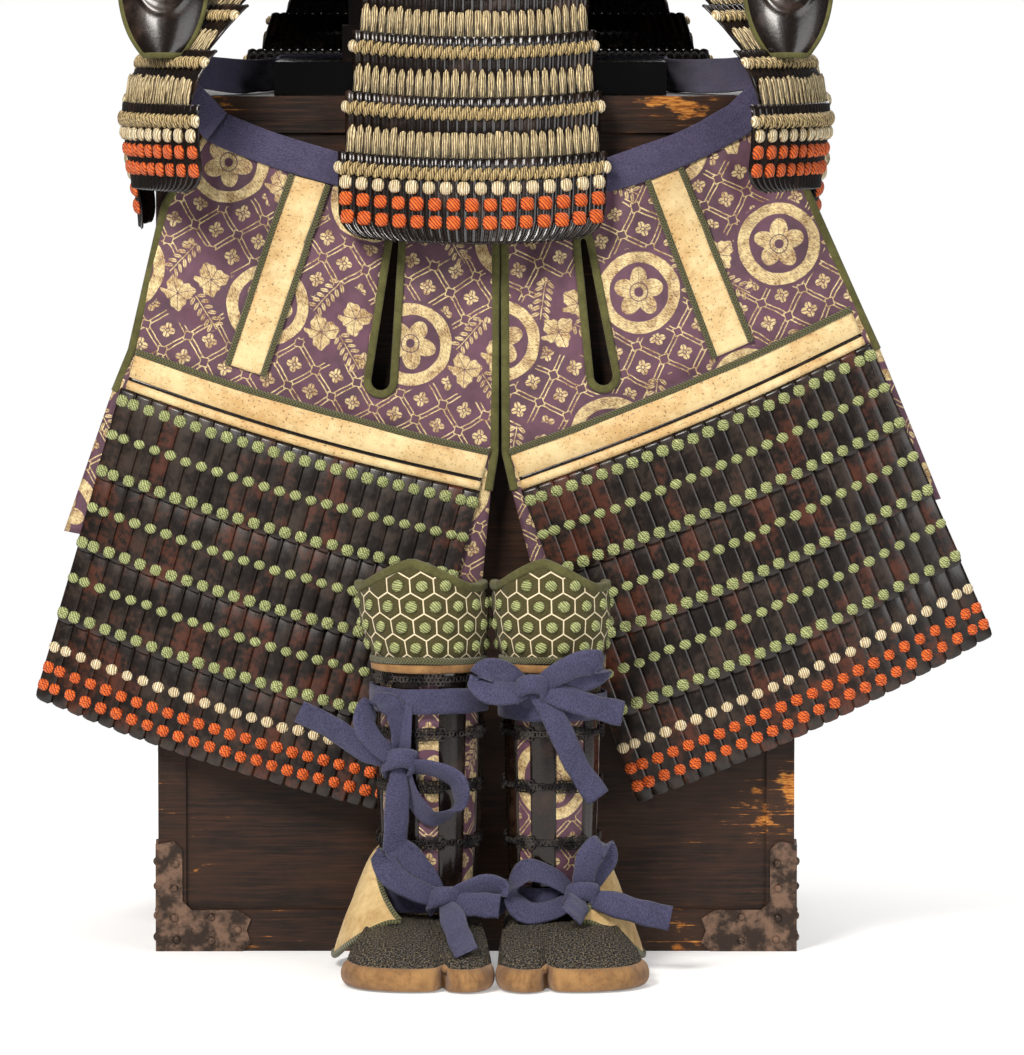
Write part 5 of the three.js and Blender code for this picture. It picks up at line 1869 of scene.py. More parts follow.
@dataclass
class Trims:
    """The repeated lacing of every laced panel.

    Attributes:
        laces: upright tongues, ropes: slanted stitches, ends: cream blobs at the ropes' ends.
        cream, orange: the hem's knots.
    """

    laces: Scatter = field(default_factory=lambda: Scatter(tongue(8.9, 27.0, 2.3), "panel_laces", "lacing"))
    ropes: Scatter = field(default_factory=lambda: Scatter(
        Shape().dome(10.8, 15.5, 5.4, skew=0.55, sides=8, rings=3), "panel_ropes", "lacing"))
    ends: Scatter = field(default_factory=lambda: Scatter(
        Shape().dome(10, 13, 6.0, sides=8, rings=3), "panel_rope_ends", "lacing"))
    cream: Scatter = field(default_factory=lambda: Scatter(
        Shape().dome(13.5, 14.5, 4.8, sides=12, rings=3, square=0.85), "hem_knots_cream", "lacing"))
    orange: Scatter = field(default_factory=lambda: Scatter(
        Shape().dome(14.5, 14.5, 4.6, sides=12, rings=3, square=0.62), "hem_knots_orange", "lacing"))

    def build(self, finishes: Finishes) -> None:
        """Build all the lacing.

        Args:
            finishes: the armour's finishes.
        """
        self.laces.build(finishes.laces)
        self.ropes.build(finishes.rope)
        self.ends.build(finishes.cream)
        self.cream.build(finishes.cream)
        self.orange.build(finishes.orange)


def tongue(width: float, height: float, thick: float) -> Shape:
    """A flat lace with a pointed round head; its foot is at its own origin and it runs up along y.

    Args:
        width, height, thick: its sizes.

    Returns:
        The shape.
    """
    def cell(level: Pair, across: float) -> tuple[Vector, Pair]:
        """One point of the lace.

        Args:
            level: the share of the height, and how wide it is there.
            across: the share of the width.

        Returns:
            The point and its flat place.
        """
        share, wide = level
        rise = thick * (1 - abs(2 * across) ** 3) * (0.55 if share > 0.95 else 1.0)
        place = (across * width * wide, share * height)
        return Vector((*place, rise)), place

    levels = ((1.0, 0.12), (0.96, 0.55), (0.88, 0.86), (0.7, 1.0), (0.0, 0.96))
    return Shape().pad(*laid_out(levels, (-0.5, -0.38, -0.14, 0.14, 0.38, 0.5), cell))


@dataclass
class LacedPanel:
    """A panel of black ribbed lames, the lower one outside, joined by silk laces and a twisted rope.

    Attributes:
        name: the piece's name.
        node: the solid that it stands for.
        place: the point at a place across, a run down and a lift out, all in millimetres.
        lames: its lames from the head down.
        head: the plain leather over the first lame, from the panel's top, as its foot's run and its width.
        rib: the width of one rib.
        sag: how far the lames' middles hang lower than their ends.
    """

    name: str
    node: str
    place: Place
    lames: list[Lame]
    head: Pair | None = None
    rib: float = 8.8
    sag: float = 0.0

    def point(self, across: float, run: float, lift: float, half: float) -> Vector:
        """A point of the panel with its sag."""
        return self.place(across, run + self.sag * (1 - (across / half) ** 2), lift)

    def axes(self, across: float, run: float) -> tuple[Vector, Vector]:
        """The way right and the way out at a place.

        Args:
            across, run: the place.

        Returns:
            The two directions, of length 1.
        """
        right = self.place(across + 1, run, 0) - self.place(across - 1, run, 0)
        down = self.place(across, run + 1, 0) - self.place(across, run - 1, 0)
        return right.normalized(), down.cross(right).normalized()

    def add_lame(self, shape: Shape, lame: Lame) -> None:
        """Add one ribbed lame to a shape.

        Args:
            shape: the shape it joins.
            lame: its sizes.
        """
        ribs = max(4, round(lame.width / self.rib))
        across = [(rib + part) / ribs - 0.5 for rib in range(ribs) for part in (0.0, 0.2, 0.5, 0.8)] + [0.5]
        crowns = [value for _ in range(ribs) for value in (0.0, 1.4, 2.1, 1.4)] + [0.0]
        span = lame.foot - lame.top
        runs = [(0.0, -1.8, 0.0), (0.0, 0.0, 0.4), (2.0, 0.2, 1.0), (10.0, 0.0, 1.0), (span * 0.5, 0.0, 1.0)]
        runs += [(span - depth, 0.0, 1.0) for depth in ((22.0, 14.0, 8.0, 3.5, 1.0) if lame.hem else ())]
        runs.append((span, -0.8 if lame.hem else 0.0, 0.6))

        def cell(level: tuple[float, float, float], rib: Pair) -> tuple[Vector, Pair]:
            """One point of the lame.

            Args:
                level: the run, how far it is sunk there and how much crown it has.
                rib: the share of the width and the crown's height.

            Returns:
                The point and its flat place.
            """
            (run, sink, crown), (share, rise) = level, rib
            half, dip = lame.half(lame.top + run), 2.6 * (1 - rise / 2.1) * max(0.0, 1 - run / 3)
            at_run = lame.top + run + dip
            height = lame.lift(at_run) + sink + crown * rise
            return self.point(share * 2 * half, at_run, height, half), (share * 2 * half, -at_run)

        shape.grid(*laid_out(runs, list(zip(across, crowns)), cell))

    def lace(self, lame: Lame, trims: Trims, last: bool) -> None:
        """Put the rope and the laces, or the hem's knots, on one lame.

        Args:
            lame: the lame.
            trims: the repeated lacing.
            last: whether nothing hangs from it.
        """
        def put(kind: Scatter, across: float, down: float, lift: float = 1.4,
                size: Sequence[float] = (1, 1, 1)) -> None:
            """Add one repeated shape at a place of the panel.

            Args:
                kind: which shape.
                across, down: the place.
                lift: how far it stands out.
                size: its scale along each axis.
            """
            run, half = lame.top + down, lame.width / 2
            right, out = self.axes(across, run)
            kind.put(self.point(across, run, lame.lift(run) + lift, half), right, out, tuple(size))

        half = lame.width / 2
        count = max(4, round((lame.width - 16) / self.rib))
        for index in range(count + 1):
            across = lerp(-half + 9, half - 9, index / count)
            put(trims.ropes, across, 17 + 0.4 * uneven(across * 0.3, lame.top))
            if not last:
                wide = 1.25 if index in (0, count) else 1.0
                reach = lame.foot - lame.top
                put(trims.laces, lerp(-half + 6, half - 6, index / count), reach + 1.5, 1.9,
                    (wide, (reach + 1.5 - 34 + uneven(across, lame.foot)) / 27.0, 1.0))
        for end in (-half + 1.5, half - 1.5):
            put(trims.ends, end, 17)
        if last:
            for down, kind, gap in ((31, trims.cream, 17.4), (47.5, trims.orange, 18.2), (65.5, trims.orange, 18.6)):
                reach = lame.half(lame.top + down + 4) - 9
                number = max(2, round(2 * reach / gap))
                for index in range(number + 1):
                    put(kind, lerp(-reach, reach, index / number), down)

    def build(self, finishes: Finishes, trims: Trims) -> None:
        """Build the panel and put its lacing among the repeated pieces.

        Args:
            finishes: the armour's finishes.
            trims: the repeated lacing.
        """
        shape = Shape()
        for lame in self.lames:
            self.add_lame(shape, lame)
            self.lace(lame, trims, lame.hem)
        shape.build(self.name, finishes.lacquer, "lacing", [self.node], wall=1.6)
        if self.head:
            foot, width = self.head
            runs = steps(8, 0.5, foot + 6)
            rows = [[self.place(across * width, run, 0.6 + 1.0 * math.cos(across * 3) ** 2)
                     for across in steps(14, -0.5, 0.5)]
                    for run in runs]
            Shape().grid(rows, measured(rows)).build(self.name + "_head", finishes.leather, "leather", wall=1.6)


def hanging_lames(length: float, width: float, narrowing: float, pitch: float = 61.0,
                  bottom: float = 87.0) -> list[Lame]:
    """The lames of a panel that hangs free, from the top down.

    Args:
        length: the panel's length.
        width: width of the last lame.
        narrowing: how much narrower each lame is than the one below.
        pitch: visible depth of a lame.
        bottom: depth of the last one.

    Returns:
        The lames.
    """
    count = int((length - bottom) / pitch) + 1
    lames = []
    for left in range(count - 1, -1, -1):
        top = length - bottom - left * pitch
        lames.append(Lame(top, length if left == 0 else top + pitch, width - narrowing * left, hem=left == 0))
    return lames


@dataclass(frozen=True)
class Hang:
    """How a free panel hangs: along a line, facing a way and curved to a radius at its head and its foot.

    Attributes:
        line: its middle line.
        facing: the way that it faces at head and foot, in degrees from the front towards the right.
        radius: its curve's radius at head and foot.
    """

    line: Spline
    facing: Pair
    radius: Pair

    def place(self, across: float, run: float, lift: float) -> Vector:
        """The point at a place across, a run down and a lift out.

        Args:
            across, run: the place.
            lift: how far it stands out.

        Returns:
            The point.
        """
        share = min(max(run / self.line.length, 0.0), 1.0)
        turn = 1 - (1 - share) ** 2
        middle = self.line.at(share) + self.line.along(1.0) * max(0.0, run - self.line.length)
        flat, facing = lerp(*self.radius, turn), math.radians(lerp(*self.facing, turn))
        angle = facing + across / flat
        centre = (middle.x - flat * math.sin(facing), middle.y + flat * math.cos(facing))
        return Vector((centre[0] + (flat + lift) * math.sin(angle), centre[1] - (flat + lift) * math.cos(angle),
                       middle.z))


@dataclass(frozen=True)
class TassetSpec:
    """One tasset: where it hangs from the waist, how wide it is and where its foot is."""

    word: str
    waist_arc: float
    waist_width: float
    waist_radius: float
    facing: float
    radius: float
    width: float
    narrowing: float
    foot: tuple[float, float, float]
    bend_z: float | None
    sag: float = 0.0


@dataclass
class Trunk:
    """Body armour: its two walls, the skirt tassets, the shoulder straps and the shoulder guards.

    Attributes:
        finishes: every finish.
        trims: the repeated lacing.
        centre_y, waist_z: the trunk's middle and the waist.
        rings: height, half width and half depth of the trunk.
        tassets: the tassets of the right side and the front.
    """

    finishes: Finishes
    trims: Trims
    centre_y: float = -118.0
    waist_z: float = 1088.0
    rings: tuple[tuple[float, float, float], ...] = (
        (1088, 172, 132), (1160, 169, 131), (1260, 182, 141), (1360, 190, 147), (1450, 180, 139))
    tassets: tuple[TassetSpec, ...] = (
        TassetSpec("front", 0, 218, 210, 0, 330, 272, 13, (-4, -320, 722), None, 7.0),
        TassetSpec("side", 176, 104, 150, 73.5, 240, 262, 33, (334, -268, 768), 868),
        TassetSpec("hip", 299, 100, 170, 90, 900, 256, 28, (348, 30, 722), 872),
        TassetSpec("back", 416, 98, 190, 180, 900, 256, 28, (136, 266, 762), 872),
    )

    def waist_place(self, arc: float) -> tuple[Vector, float]:
        """The point and facing on the waist's oval at an arc from its front.

        Args:
            arc: the length along the waist.

        Returns:
            The point and its facing.
        """
        _, wide, deep = self.rings[0]
        angle = travelled = 0.0
        pace = math.radians(0.25)

        def at(turn: float) -> Vector:
            """The oval's point at an angle."""
            return Vector((wide * math.sin(turn), self.centre_y - deep * math.cos(turn), 0))

        while travelled < arc:
            travelled += (at(angle + pace) - at(angle)).length
            angle += pace
        return at(angle), math.degrees(math.atan2(math.sin(angle) / wide, math.cos(angle) / deep))

    def build_tasset(self, spec: TassetSpec, sign: int, name: str) -> None:
        """Hang one tasset.

        Args:
            spec: its sizes.
            sign: which side it hangs on.
            name: the piece's name.
        """
        waist, facing = self.waist_place(spec.waist_arc)
        top = Vector((sign * waist.x, waist.y, self.waist_z - 0.6))
        foot = Vector((sign * spec.foot[0], *spec.foot[1:]))
        if spec.bend_z is None:
            points = [top, top.lerp(foot, 0.5), foot]
        else:
            points = [top, Vector((lerp(top.x, foot.x, 0.5), lerp(top.y, foot.y, 0.5), lerp(top.z, spec.bend_z, 0.46))),
                      Vector((foot.x, foot.y, spec.bend_z)), foot]
        hang = Hang(Spline(points), (sign * facing, sign * spec.facing), (spec.waist_radius, spec.radius))
        lames = hanging_lames(hang.line.length, spec.width, spec.narrowing)
        LacedPanel(name.replace("tasset", "skirt"), name, hang.place, lames, (lames[0].top, spec.waist_width),
                   sag=spec.sag).build(self.finishes, self.trims)

    def build_shoulder(self, side: Side) -> None:
        """Hang one shoulder guard.

        Args:
            side: which arm it covers.
        """
        sign = side.value
        line = Spline([Vector((sign * 334, -112, 1512)), Vector((sign * lerp(334, 372, 0.6), -116, 1308)),
                       Vector((sign * 372, -120, 1128))])
        hang = Hang(line, (sign * 84, sign * 84), (420, 420))
        lames = hanging_lames(line.length, 296, 3)
        LacedPanel(f"shoulder_panel_{side.word}", f"shoulder_guard_{side.word}", hang.place, lames,
                   (lames[0].top, 272)).build(self.finishes, self.trims)

    def ring_at(self, z: float) -> Pair:
        """Half width and half depth of the trunk at a height.

        Args:
            z: the height.

        Returns:
            The two half sizes.
        """
        for low, high in zip(self.rings, self.rings[1:]):
            if z <= high[0] or high is self.rings[-1]:
                share = (z - low[0]) / (high[0] - low[0])
                return lerp(low[1], high[1], share), lerp(low[2], high[2], share)

    def build_wall(self, facing: int, name: str) -> None:
        """Build the trunk's front wall, or its back one where facing is 1.

        Args:
            facing: 1 for the back wall.
            name: the piece's name.
        """
        mean = 160.0

        def place(across: float, run: float, lift: float) -> Vector:
            """A point of the wall.

            Args:
                across: the arc from its middle.
                run: how far down.
                lift: how far it stands out.

            Returns:
                The point.
            """
            angle = across / mean
            away = math.degrees(abs(angle))
            top = lerp(1442, 1290, eased(away, 38, 74)) - 22 * (1 - eased(away, 0, 30))
            z = lerp(top, self.waist_z, run / 350)
            wide, deep = self.ring_at(z)
            turn = angle if facing < 0 else -angle
            return Vector(((wide + lift) * math.sin(turn), self.centre_y + facing * (deep + lift) * math.cos(turn), z))

        width = mean * (math.pi - 0.03)
        lames = [Lame(350 * (step + 0.31) / 5, 350 * min(1.0, (step + 1.31) / 5) - (0.8 if step == 4 else 0), width)
                 for step in range(5)]
        panel = LacedPanel(f"trunk_{name}", f"cuirass_{name}", place, lames, (lames[0].top, width))
        panel.build(self.finishes, self.trims)

    def build_strap(self, side: Side) -> None:
        """Build the leather shoulder strap with its wing and its rolled edges.

        Args:
            side: which shoulder it lies on.
        """
        x = side.value * 108
        path = Spline([Vector((x, *place)) for place in (
            (-255, 1400), (-255, 1450), (-215, 1479), (-100, 1479), (-21, 1479), (19, 1450), (19, 1400))])
        shape = Shape().ribbon(path, Vector((1, 0, 0)), 52, 8.4, 60)
        end = side.value * 332
        shape.ribbon(Spline([Vector((x, -100, 1478.8)), Vector((lerp(x, end, 0.5), -100, 1479.2)),
                             Vector((end, -100, 1478.6))]),
                     Vector((0, 1, 0)), 44, 6.6, 24)
        shape.build(f"shoulder_leather_{side.word}", self.finishes.leather, "leather", [f"shoulder_strap_{side.word}"],
                    closed=True)
        edges = Shape()
        for offset in (-26, 26):
            edges.ribbon(Spline([point + Vector((offset, 0, 0)) for point in path.points]), Vector((0, 0, 1)), 9.6, 4,
                         60)
        edges.build(f"shoulder_braid_{side.word}", self.finishes.braid, "binding", closed=True)

    def build(self) -> None:
        """Build the whole trunk."""
        self.build_wall(-1, "front")
        self.build_wall(1, "back")
        for spec in self.tassets:
            if spec.word == "front":
                self.build_tasset(spec, 1, "tasset_front")
                continue
            for side in Side:
                self.build_tasset(spec, side.value, f"tasset_{spec.word}_{side.word}")
        for side in Side:
            self.build_strap(side)
            self.build_shoulder(side)


# Waistband ---------------------------------------------------------------------------------------


@dataclass
class Waistband:
    """The crepe band along the cloth's head, which goes on round the lid and the stand's board.

    Attributes:
        finishes: every finish.
        halves: the two halves of the thigh guard, by side.
        width, stand: the band's width and how far it stands off the cloth.
        end_x: where its front part ends on each side.
        lid_z: height of its middle on the lid.
    """

    finishes: Finishes
    halves: dict[Side, ThighGuard]
    width: float = 34.0
    stand: float = 3.8
    end_x: float = 258.0
    lid_z: float = 877.3

    def path(self) -> list[Vector]:
        """The band's middle line, to the right along the front and back round the lid.

        Returns:
            The line's points.
        """
        front = []
        for x in steps(90, -self.end_x, self.end_x + 4):
            half = self.halves[Side.LEFT if x < 24 else Side.RIGHT]
            z = half.belt_z(x) + self.width / 2
            front.append(Vector((x, half.cloth_y(x, z) - self.stand, z)))
        board = 203.5

        def over_lid(sign: int) -> list[Vector]:
            """The way from the front round the lid on one side.

            Args:
                sign: which side.

            Returns:
                The way's points.
            """
            places = [(sign * 281, -262, -22), (sign * 298, -255, -4), (sign * 300, -243, 8), (sign * 288, -222, 8),
                      (sign * 240, -130, 1), (sign * board - 6, 0, 0), (sign * board - 6, 178, 0),
                      (sign * (board - 6) - 6, 189, 0), (sign * (board - 30) - 6, 191, 0)]
            return [Vector((x, y, self.lid_z + rise)) for x, y, rise in places]

        def fine(points: list[Vector]) -> list[Vector]:
            """The same way with closer points.

            Args:
                points: the way's points.

            Returns:
                The closer points.
            """
            curve = Spline(points)
            return [curve.at(share) for share in steps(60)]

        right, left = fine([front[-1]] + over_lid(1)), fine([front[0]] + over_lid(-1))
        return front + right[1:] + left[:0:-1]

    def build(self) -> None:
        """Build the band with its long soft folds."""
        path = self.path()
        count = len(path)
        levels = steps(16, 0.5, -0.5)
        rows, flat, run = [[] for _ in levels], [[] for _ in levels], 0.0
        for index in [*range(count), 0]:
            before, at, after = path[index - 1], path[index], path[(index + 1) % count]
            along = (after - before).normalized()
            out = along.cross(Vector((0, 0, 1))).normalized()
            up = out.cross(along)
            run += (at - before).length
            for row, level in enumerate(levels):
                swell = 1.5 * math.cos(level * math.pi) + 0.9 * uneven(run / 42, level * 3.4) + 0.5 * uneven(run / 9,
                                                                                                             level * 8)
                wave = self.width * level + 1.5 * uneven(run / 60, seed=4 + (level > 0))
                rows[row].append(at + up * wave + out * swell)
                flat[row].append((run, wave))
        piece = Shape().grid(rows, flat).build("waist_crepe", self.finishes.crepe, "crepe", ["haidate_waistband"],
                                               wall=2.0)


# Chest and stand ---------------------------------------------------------------------------------


@dataclass
class Storage:
    """The storage chest with its corner irons, and the stand on its lid.

    Attributes:
        finishes: every finish.
        half_width, half_depth: half the chest's sizes.
    """

    finishes: Finishes
    half_width: float = 320.0
    half_depth: float = 240.0

    def dress(self) -> None:
        """Give the chest's and the stand's solids their finishes."""
        chosen = {"chest_body": self.finishes.chest, "chest_lid": self.finishes.chest,
                  "stand_board": self.finishes.board, "stand_frame": self.finishes.lacquer}
        for side in Side:
            for end in ("front", "back"):
                chosen[f"chest_corner_{end}_{side.word}"] = self.finishes.iron
        for node, material in chosen.items():
            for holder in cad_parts[node].material_slots:
                holder.material = material
            LOG.info("%s: dressed in %s", node, material.name)

    def nails(self) -> None:
        """Domed nails on every face of the corner irons; one has fallen out."""
        nails = Scatter(Shape().dome(8.5, 8.5, 3.4, sides=12, rings=3), "chest_nails", "iron", 0.08)
        spots = [(20, 89), (19, 64), (19, 34), (56, 35), (83, 22), (21, 12), (56, 11)]
        reach = 2.8
        for sign_x in (-1, 1):
            for sign_y in (-1, 1):
                for over, z in spots:
                    x = sign_x * (self.half_width + reach - over)
                    if (sign_x, sign_y, over) != (1, -1, 83):
                        nails.put(Vector((x, sign_y * (self.half_depth + reach), z)), Vector((-sign_y, 0, 0)),
                                  Vector((0, sign_y, 0)))
                    y = sign_y * (self.half_depth + reach - over)
                    nails.put(Vector((sign_x * (self.half_width + reach), y, z)), Vector((0, sign_x, 0)),
                              Vector((sign_x, 0, 0)))
        nails.build(self.finishes.iron)

    def build(self) -> None:
        """Dress and nail it."""
        self.dress()
        self.nails()


# Legs --------------------------------------------------------------------------------------------


@dataclass(frozen=True)
class LegPlace:
    """Where one leg stands: middles of shin, knee and foot, the shin's half width and its splints' angles."""

    side: Side
    x: float
    knee_x: float
    foot_x: float
    shin_half: float
    splints: tuple[float, ...]


@dataclass(frozen=True)
class TieSpec:
    """One tie: the height of its ring, its knot's place, its loops (turn, length, gape) and its ends (x, out, z)."""

    word: str
    ring_z: float
    knot: Pair
    loops: tuple[tuple[float, float, float], ...]
    ends: tuple[tuple[float, float, float], ...]


@dataclass
class Leg:
    """Shin, knee and foot guard of one leg, with its ankle flap and its ties.

    Attributes:
        place: where it stands.
        ties: its ties.
        finishes: every finish.
        tufts: the repeated strand tufts of both knees.
        centre_y, half_depth: the leg's middle and half the shin's depth.
        foot_z, top_z: the shin's lower and upper end.
        cell, cell_rise: the quilting's cell width and row height.
    """

    place: LegPlace
    ties: tuple[TieSpec, ...]
    finishes: Finishes
    tufts: Scatter
    centre_y: float = -342.0
    half_depth: float = 54.0
    foot_z: float = 56.3
    top_z: float = 301.0
    cell: float = 21.5
    cell_rise: float = 20.48

    @property
    def word(self) -> str:
        """The side's name."""
        return self.place.side.word

    def round_leg(self, x: float, half: float, deep: float, degrees: float, z: float) -> Vector:
        """A point on the leg's oval at an angle from the front towards the right."""
        angle = math.radians(degrees)
        return Vector((x + half * math.sin(angle), self.centre_y - deep * math.cos(angle), z))

    def shin_scale(self, z: float) -> float:
        """How much narrower the shin is towards the ankle."""
        return lerp(0.86, 1.0, math.sin((z - self.foot_z) / (self.top_z - self.foot_z) * math.pi / 2))

    def shin(self, degrees: float, z: float, lift: float) -> Vector:
        """A point of the shin's face."""
        scale = self.shin_scale(z) + lift / self.place.shin_half
        return self.round_leg(self.place.x, self.place.shin_half * scale, self.half_depth * scale, degrees, z)

    def shin_rows(self, angles: list[float], zs: list[float], lift: Callable[[float, float], float]) -> tuple[Rows,
                                                                                                              Flat]:
        """Rows over the shin with their flat places."""
        rows = [[self.shin(angle, z, lift(angle, z)) for angle in angles] for z in zs]
        return rows, [[(angle * self.place.shin_half / DEGREES, z) for angle in angles] for z in zs]

    def build_shin(self) -> None:
        """The brocade shin with lacquered splints, strips of mail and a bound edge."""
        rows, flat = self.shin_rows(steps(64, -SHIN_SWEEP, SHIN_SWEEP), steps(32, self.top_z, self.foot_z),
                                    lambda angle, z: 0.4 + 0.4 * uneven(angle / 9, z / 22))
        Shape().grid(rows, flat).build(f"shin_cloth_{self.word}", self.finishes.brocade, "black_lacquer",
                                       [f"shin_guard_{self.word}"], wall=2.6)
        splints = Shape()
        for middle in self.place.splints:
            zs = [self.top_z - 2, self.top_z - 3.5, *steps(12, self.top_z - 8, self.foot_z + 8), self.foot_z + 3.5,
                  self.foot_z + 2]
            profile = {-17: -0.6, -16: 1.4, -14: 2.2, -10.5: 1.7, -5: 2.3, 0: 2.6, 5: 2.3, 10.5: 1.7, 14: 2.2, 16: 1.4,
                       17: -0.6}
            rows, flat = self.shin_rows([middle + over for over in profile], zs,
                                        lambda angle, z, at=middle: profile[round((angle - at) * 2) / 2]
                                        - 1.6 * (abs(z - (self.top_z + self.foot_z) / 2) > 120.0))
            splints.grid(rows, flat, 0.3 + 0.1 * middle / 90)
        splints.build(f"shin_splints_{self.word}", self.finishes.lacquer, "black_lacquer", wall=1.4)
        links = Scatter(Shape().ring(2.6, 0.9), f"shin_mail_{self.word}", "black_lacquer", 0.15)
        for height in (290, 236, 184, 128, 66):
            for degrees in range(-108, 109, 4):
                for row in (-1, 0, 1):
                    if min(abs(degrees - middle) for middle in self.place.splints) > 14 or row == 0:
                        at = self.shin(degrees + 2 * (row % 2), height + row * 3.6,
                                       3.0 + 0.8 * uneven(degrees, height + row))
                        out = self.shin(degrees, height, 9.0) - self.shin(degrees, height, 0.0)
                        links.put(at, Vector((1, 0.3 * row, 0.4 * (degrees % 8 - 4))),
                                  out + Vector((0.5 * row, 0, 3 - degrees % 8)))
        links.build(self.finishes.mail)
        edge = Shape()
        for degrees in (-SHIN_SWEEP, SHIN_SWEEP):
            path = Spline([self.shin(degrees, z, 0.4) for z in steps(8, self.top_z - 1, self.foot_z + 1)])
            edge.ribbon(path, Vector((0, 1, 0)), 7, 6, 30)
        edge.build(f"shin_edge_{self.word}", self.finishes.felt, "binding", closed=True)

    def quilt_reach(self, u: float, v: float) -> float:
        """How near a place is to the quilting's stitches: 1 on them, 0 in a cell's middle.

        Args:
            u, v: the place.

        Returns:
            The nearness.
        """
        near = []
        for shift in (0.0, 0.5):
            x = abs((u / self.cell + shift) % 1.0 - 0.5) * self.cell
            y = abs((v / (2 * self.cell_rise) + shift) % 1.0 - 0.5) * 2 * self.cell_rise * 0.909
            near.append(max(x, x * 0.5 + y * HEXAGON) / (self.cell / 2))
        return min(near)

    def knee(self, degrees: float, rise: float, lift: float) -> Vector:
        """A point of the knee guard's face, rise going from 0 at its foot to 1 at its head.

        Args:
            degrees: the angle round the leg.
            rise: the share of its height.
            lift: how far it stands out.

        Returns:
            The point.
        """
        bulge = 5 * math.sin(math.pi * rise) + lift
        x = lerp(self.place.x, self.place.knee_x, rise)
        half = self.place.shin_half * lerp(1.0, 1.22, rise) + bulge
        deep = self.half_depth * lerp(1.0, 1.14, rise) + bulge
        return self.round_leg(x, half, deep, degrees, self.top_z + 0.3 + self.knee_height(degrees) * rise)

    def knee_height(self, degrees: float) -> float:
        """Height of the knee guard at an angle; it peaks a little to the left."""
        fall = min(1.0, abs(degrees + 8) / 62)
        return 104 - 26 * (fall * fall * (3 - 2 * fall) * 0.5 + fall * 0.5)

    def build_knee(self) -> None:
        """The quilted knee guard with its tufts, rolled head, braid and welt."""
        mean = self.place.shin_half * 1.1 / DEGREES
        angles, rises = steps(120, -KNEE_SWEEP, KNEE_SWEEP), steps(52, 1.0, 0.0)

        def cell(rise: float, degrees: float) -> tuple[Vector, Pair]:
            """One puffed point of the guard.

            Args:
                rise: the share of its height.
                degrees: the angle round the leg.

            Returns:
                The point and its flat place.
            """
            u, v = degrees * mean, rise * self.knee_height(degrees)
            puff = 1.7 * (1 - self.quilt_reach(u, v) ** 2.2) - 0.6
            side = eased(abs(degrees), KNEE_SWEEP, KNEE_SWEEP - 5)
            rim = min(eased(rise, 0.0, 0.05), eased(rise, 1.0, 0.95), side)
            return self.knee(degrees, rise, puff * rim + 0.3 * uneven(u / 18, v / 18)), (u, v)

        piece = Shape().grid(*laid_out(rises, angles, cell), 1.0).build(
            f"knee_quilt_{self.word}", self.finishes.quilt, "padded_cloth", [f"knee_guard_{self.word}"], wall=5.0)
        for shift in (0.0, 0.5):
            for column in range(-6, 7):
                for row in range(0, 4):
                    u = (column + 0.5 - shift) * self.cell
                    v = (row + 0.5 - shift) * 2 * self.cell_rise
                    degrees = u / mean
                    if abs(degrees) < 98 and 7 < v < self.knee_height(degrees) - 7:
                        rise = v / self.knee_height(degrees)
                        at = self.knee(degrees, rise, 1.1)
                        right = self.knee(degrees + 1, rise, 0) - self.knee(degrees - 1, rise, 0)
                        self.tufts.put(at, right, self.knee(degrees, rise, 5) - self.knee(degrees, rise, 0))
        head = Spline([self.knee(degrees, 1.0, -1.6) for degrees in steps(30, -KNEE_SWEEP, KNEE_SWEEP)])
        Shape().ribbon(head, Vector((0, -0.3, 1)), 9, 9, 120).build(f"knee_head_{self.word}", self.finishes.felt,
                                                                    "binding",
                                                                  closed=True)
        for key, rise, lift, wide, thick, material in (("braid", 0.075, 2.4, 7.0, 4.0, self.finishes.braid),
                                                       ("welt", -0.01, 2.6, 9.0, 7.0, self.finishes.welt)):
            path = Spline([self.knee(degrees, rise, lift) for degrees in steps(30, -KNEE_SWEEP, KNEE_SWEEP)])
            Shape().ribbon(path, Vector((0, 0, 1)), wide, thick, 120).build(f"knee_{key}_{self.word}", material,
                                                                            "binding",
                                                                         closed=True)

    def foot_outline(self) -> Spline:
        """The split-toed sole's outline, with its place along the foot as y.

        Returns:
            The closed outline.
        """
        sign = self.place.side.value
        table = [(0, -290), (34, -302), (42, -345), (47, -400), (64, -455), (72, -500), (66, -538), (48, -554),
                 (31, -545),
                 (24, -520), (14, -544), (-18, -548), (-56, -530), (-75, -490), (-66, -440), (-48, -390), (-42, -340),
                 (-33, -302)]
        return Spline([Vector((-sign * across, along, 0)) for across, along in table], closed=True)

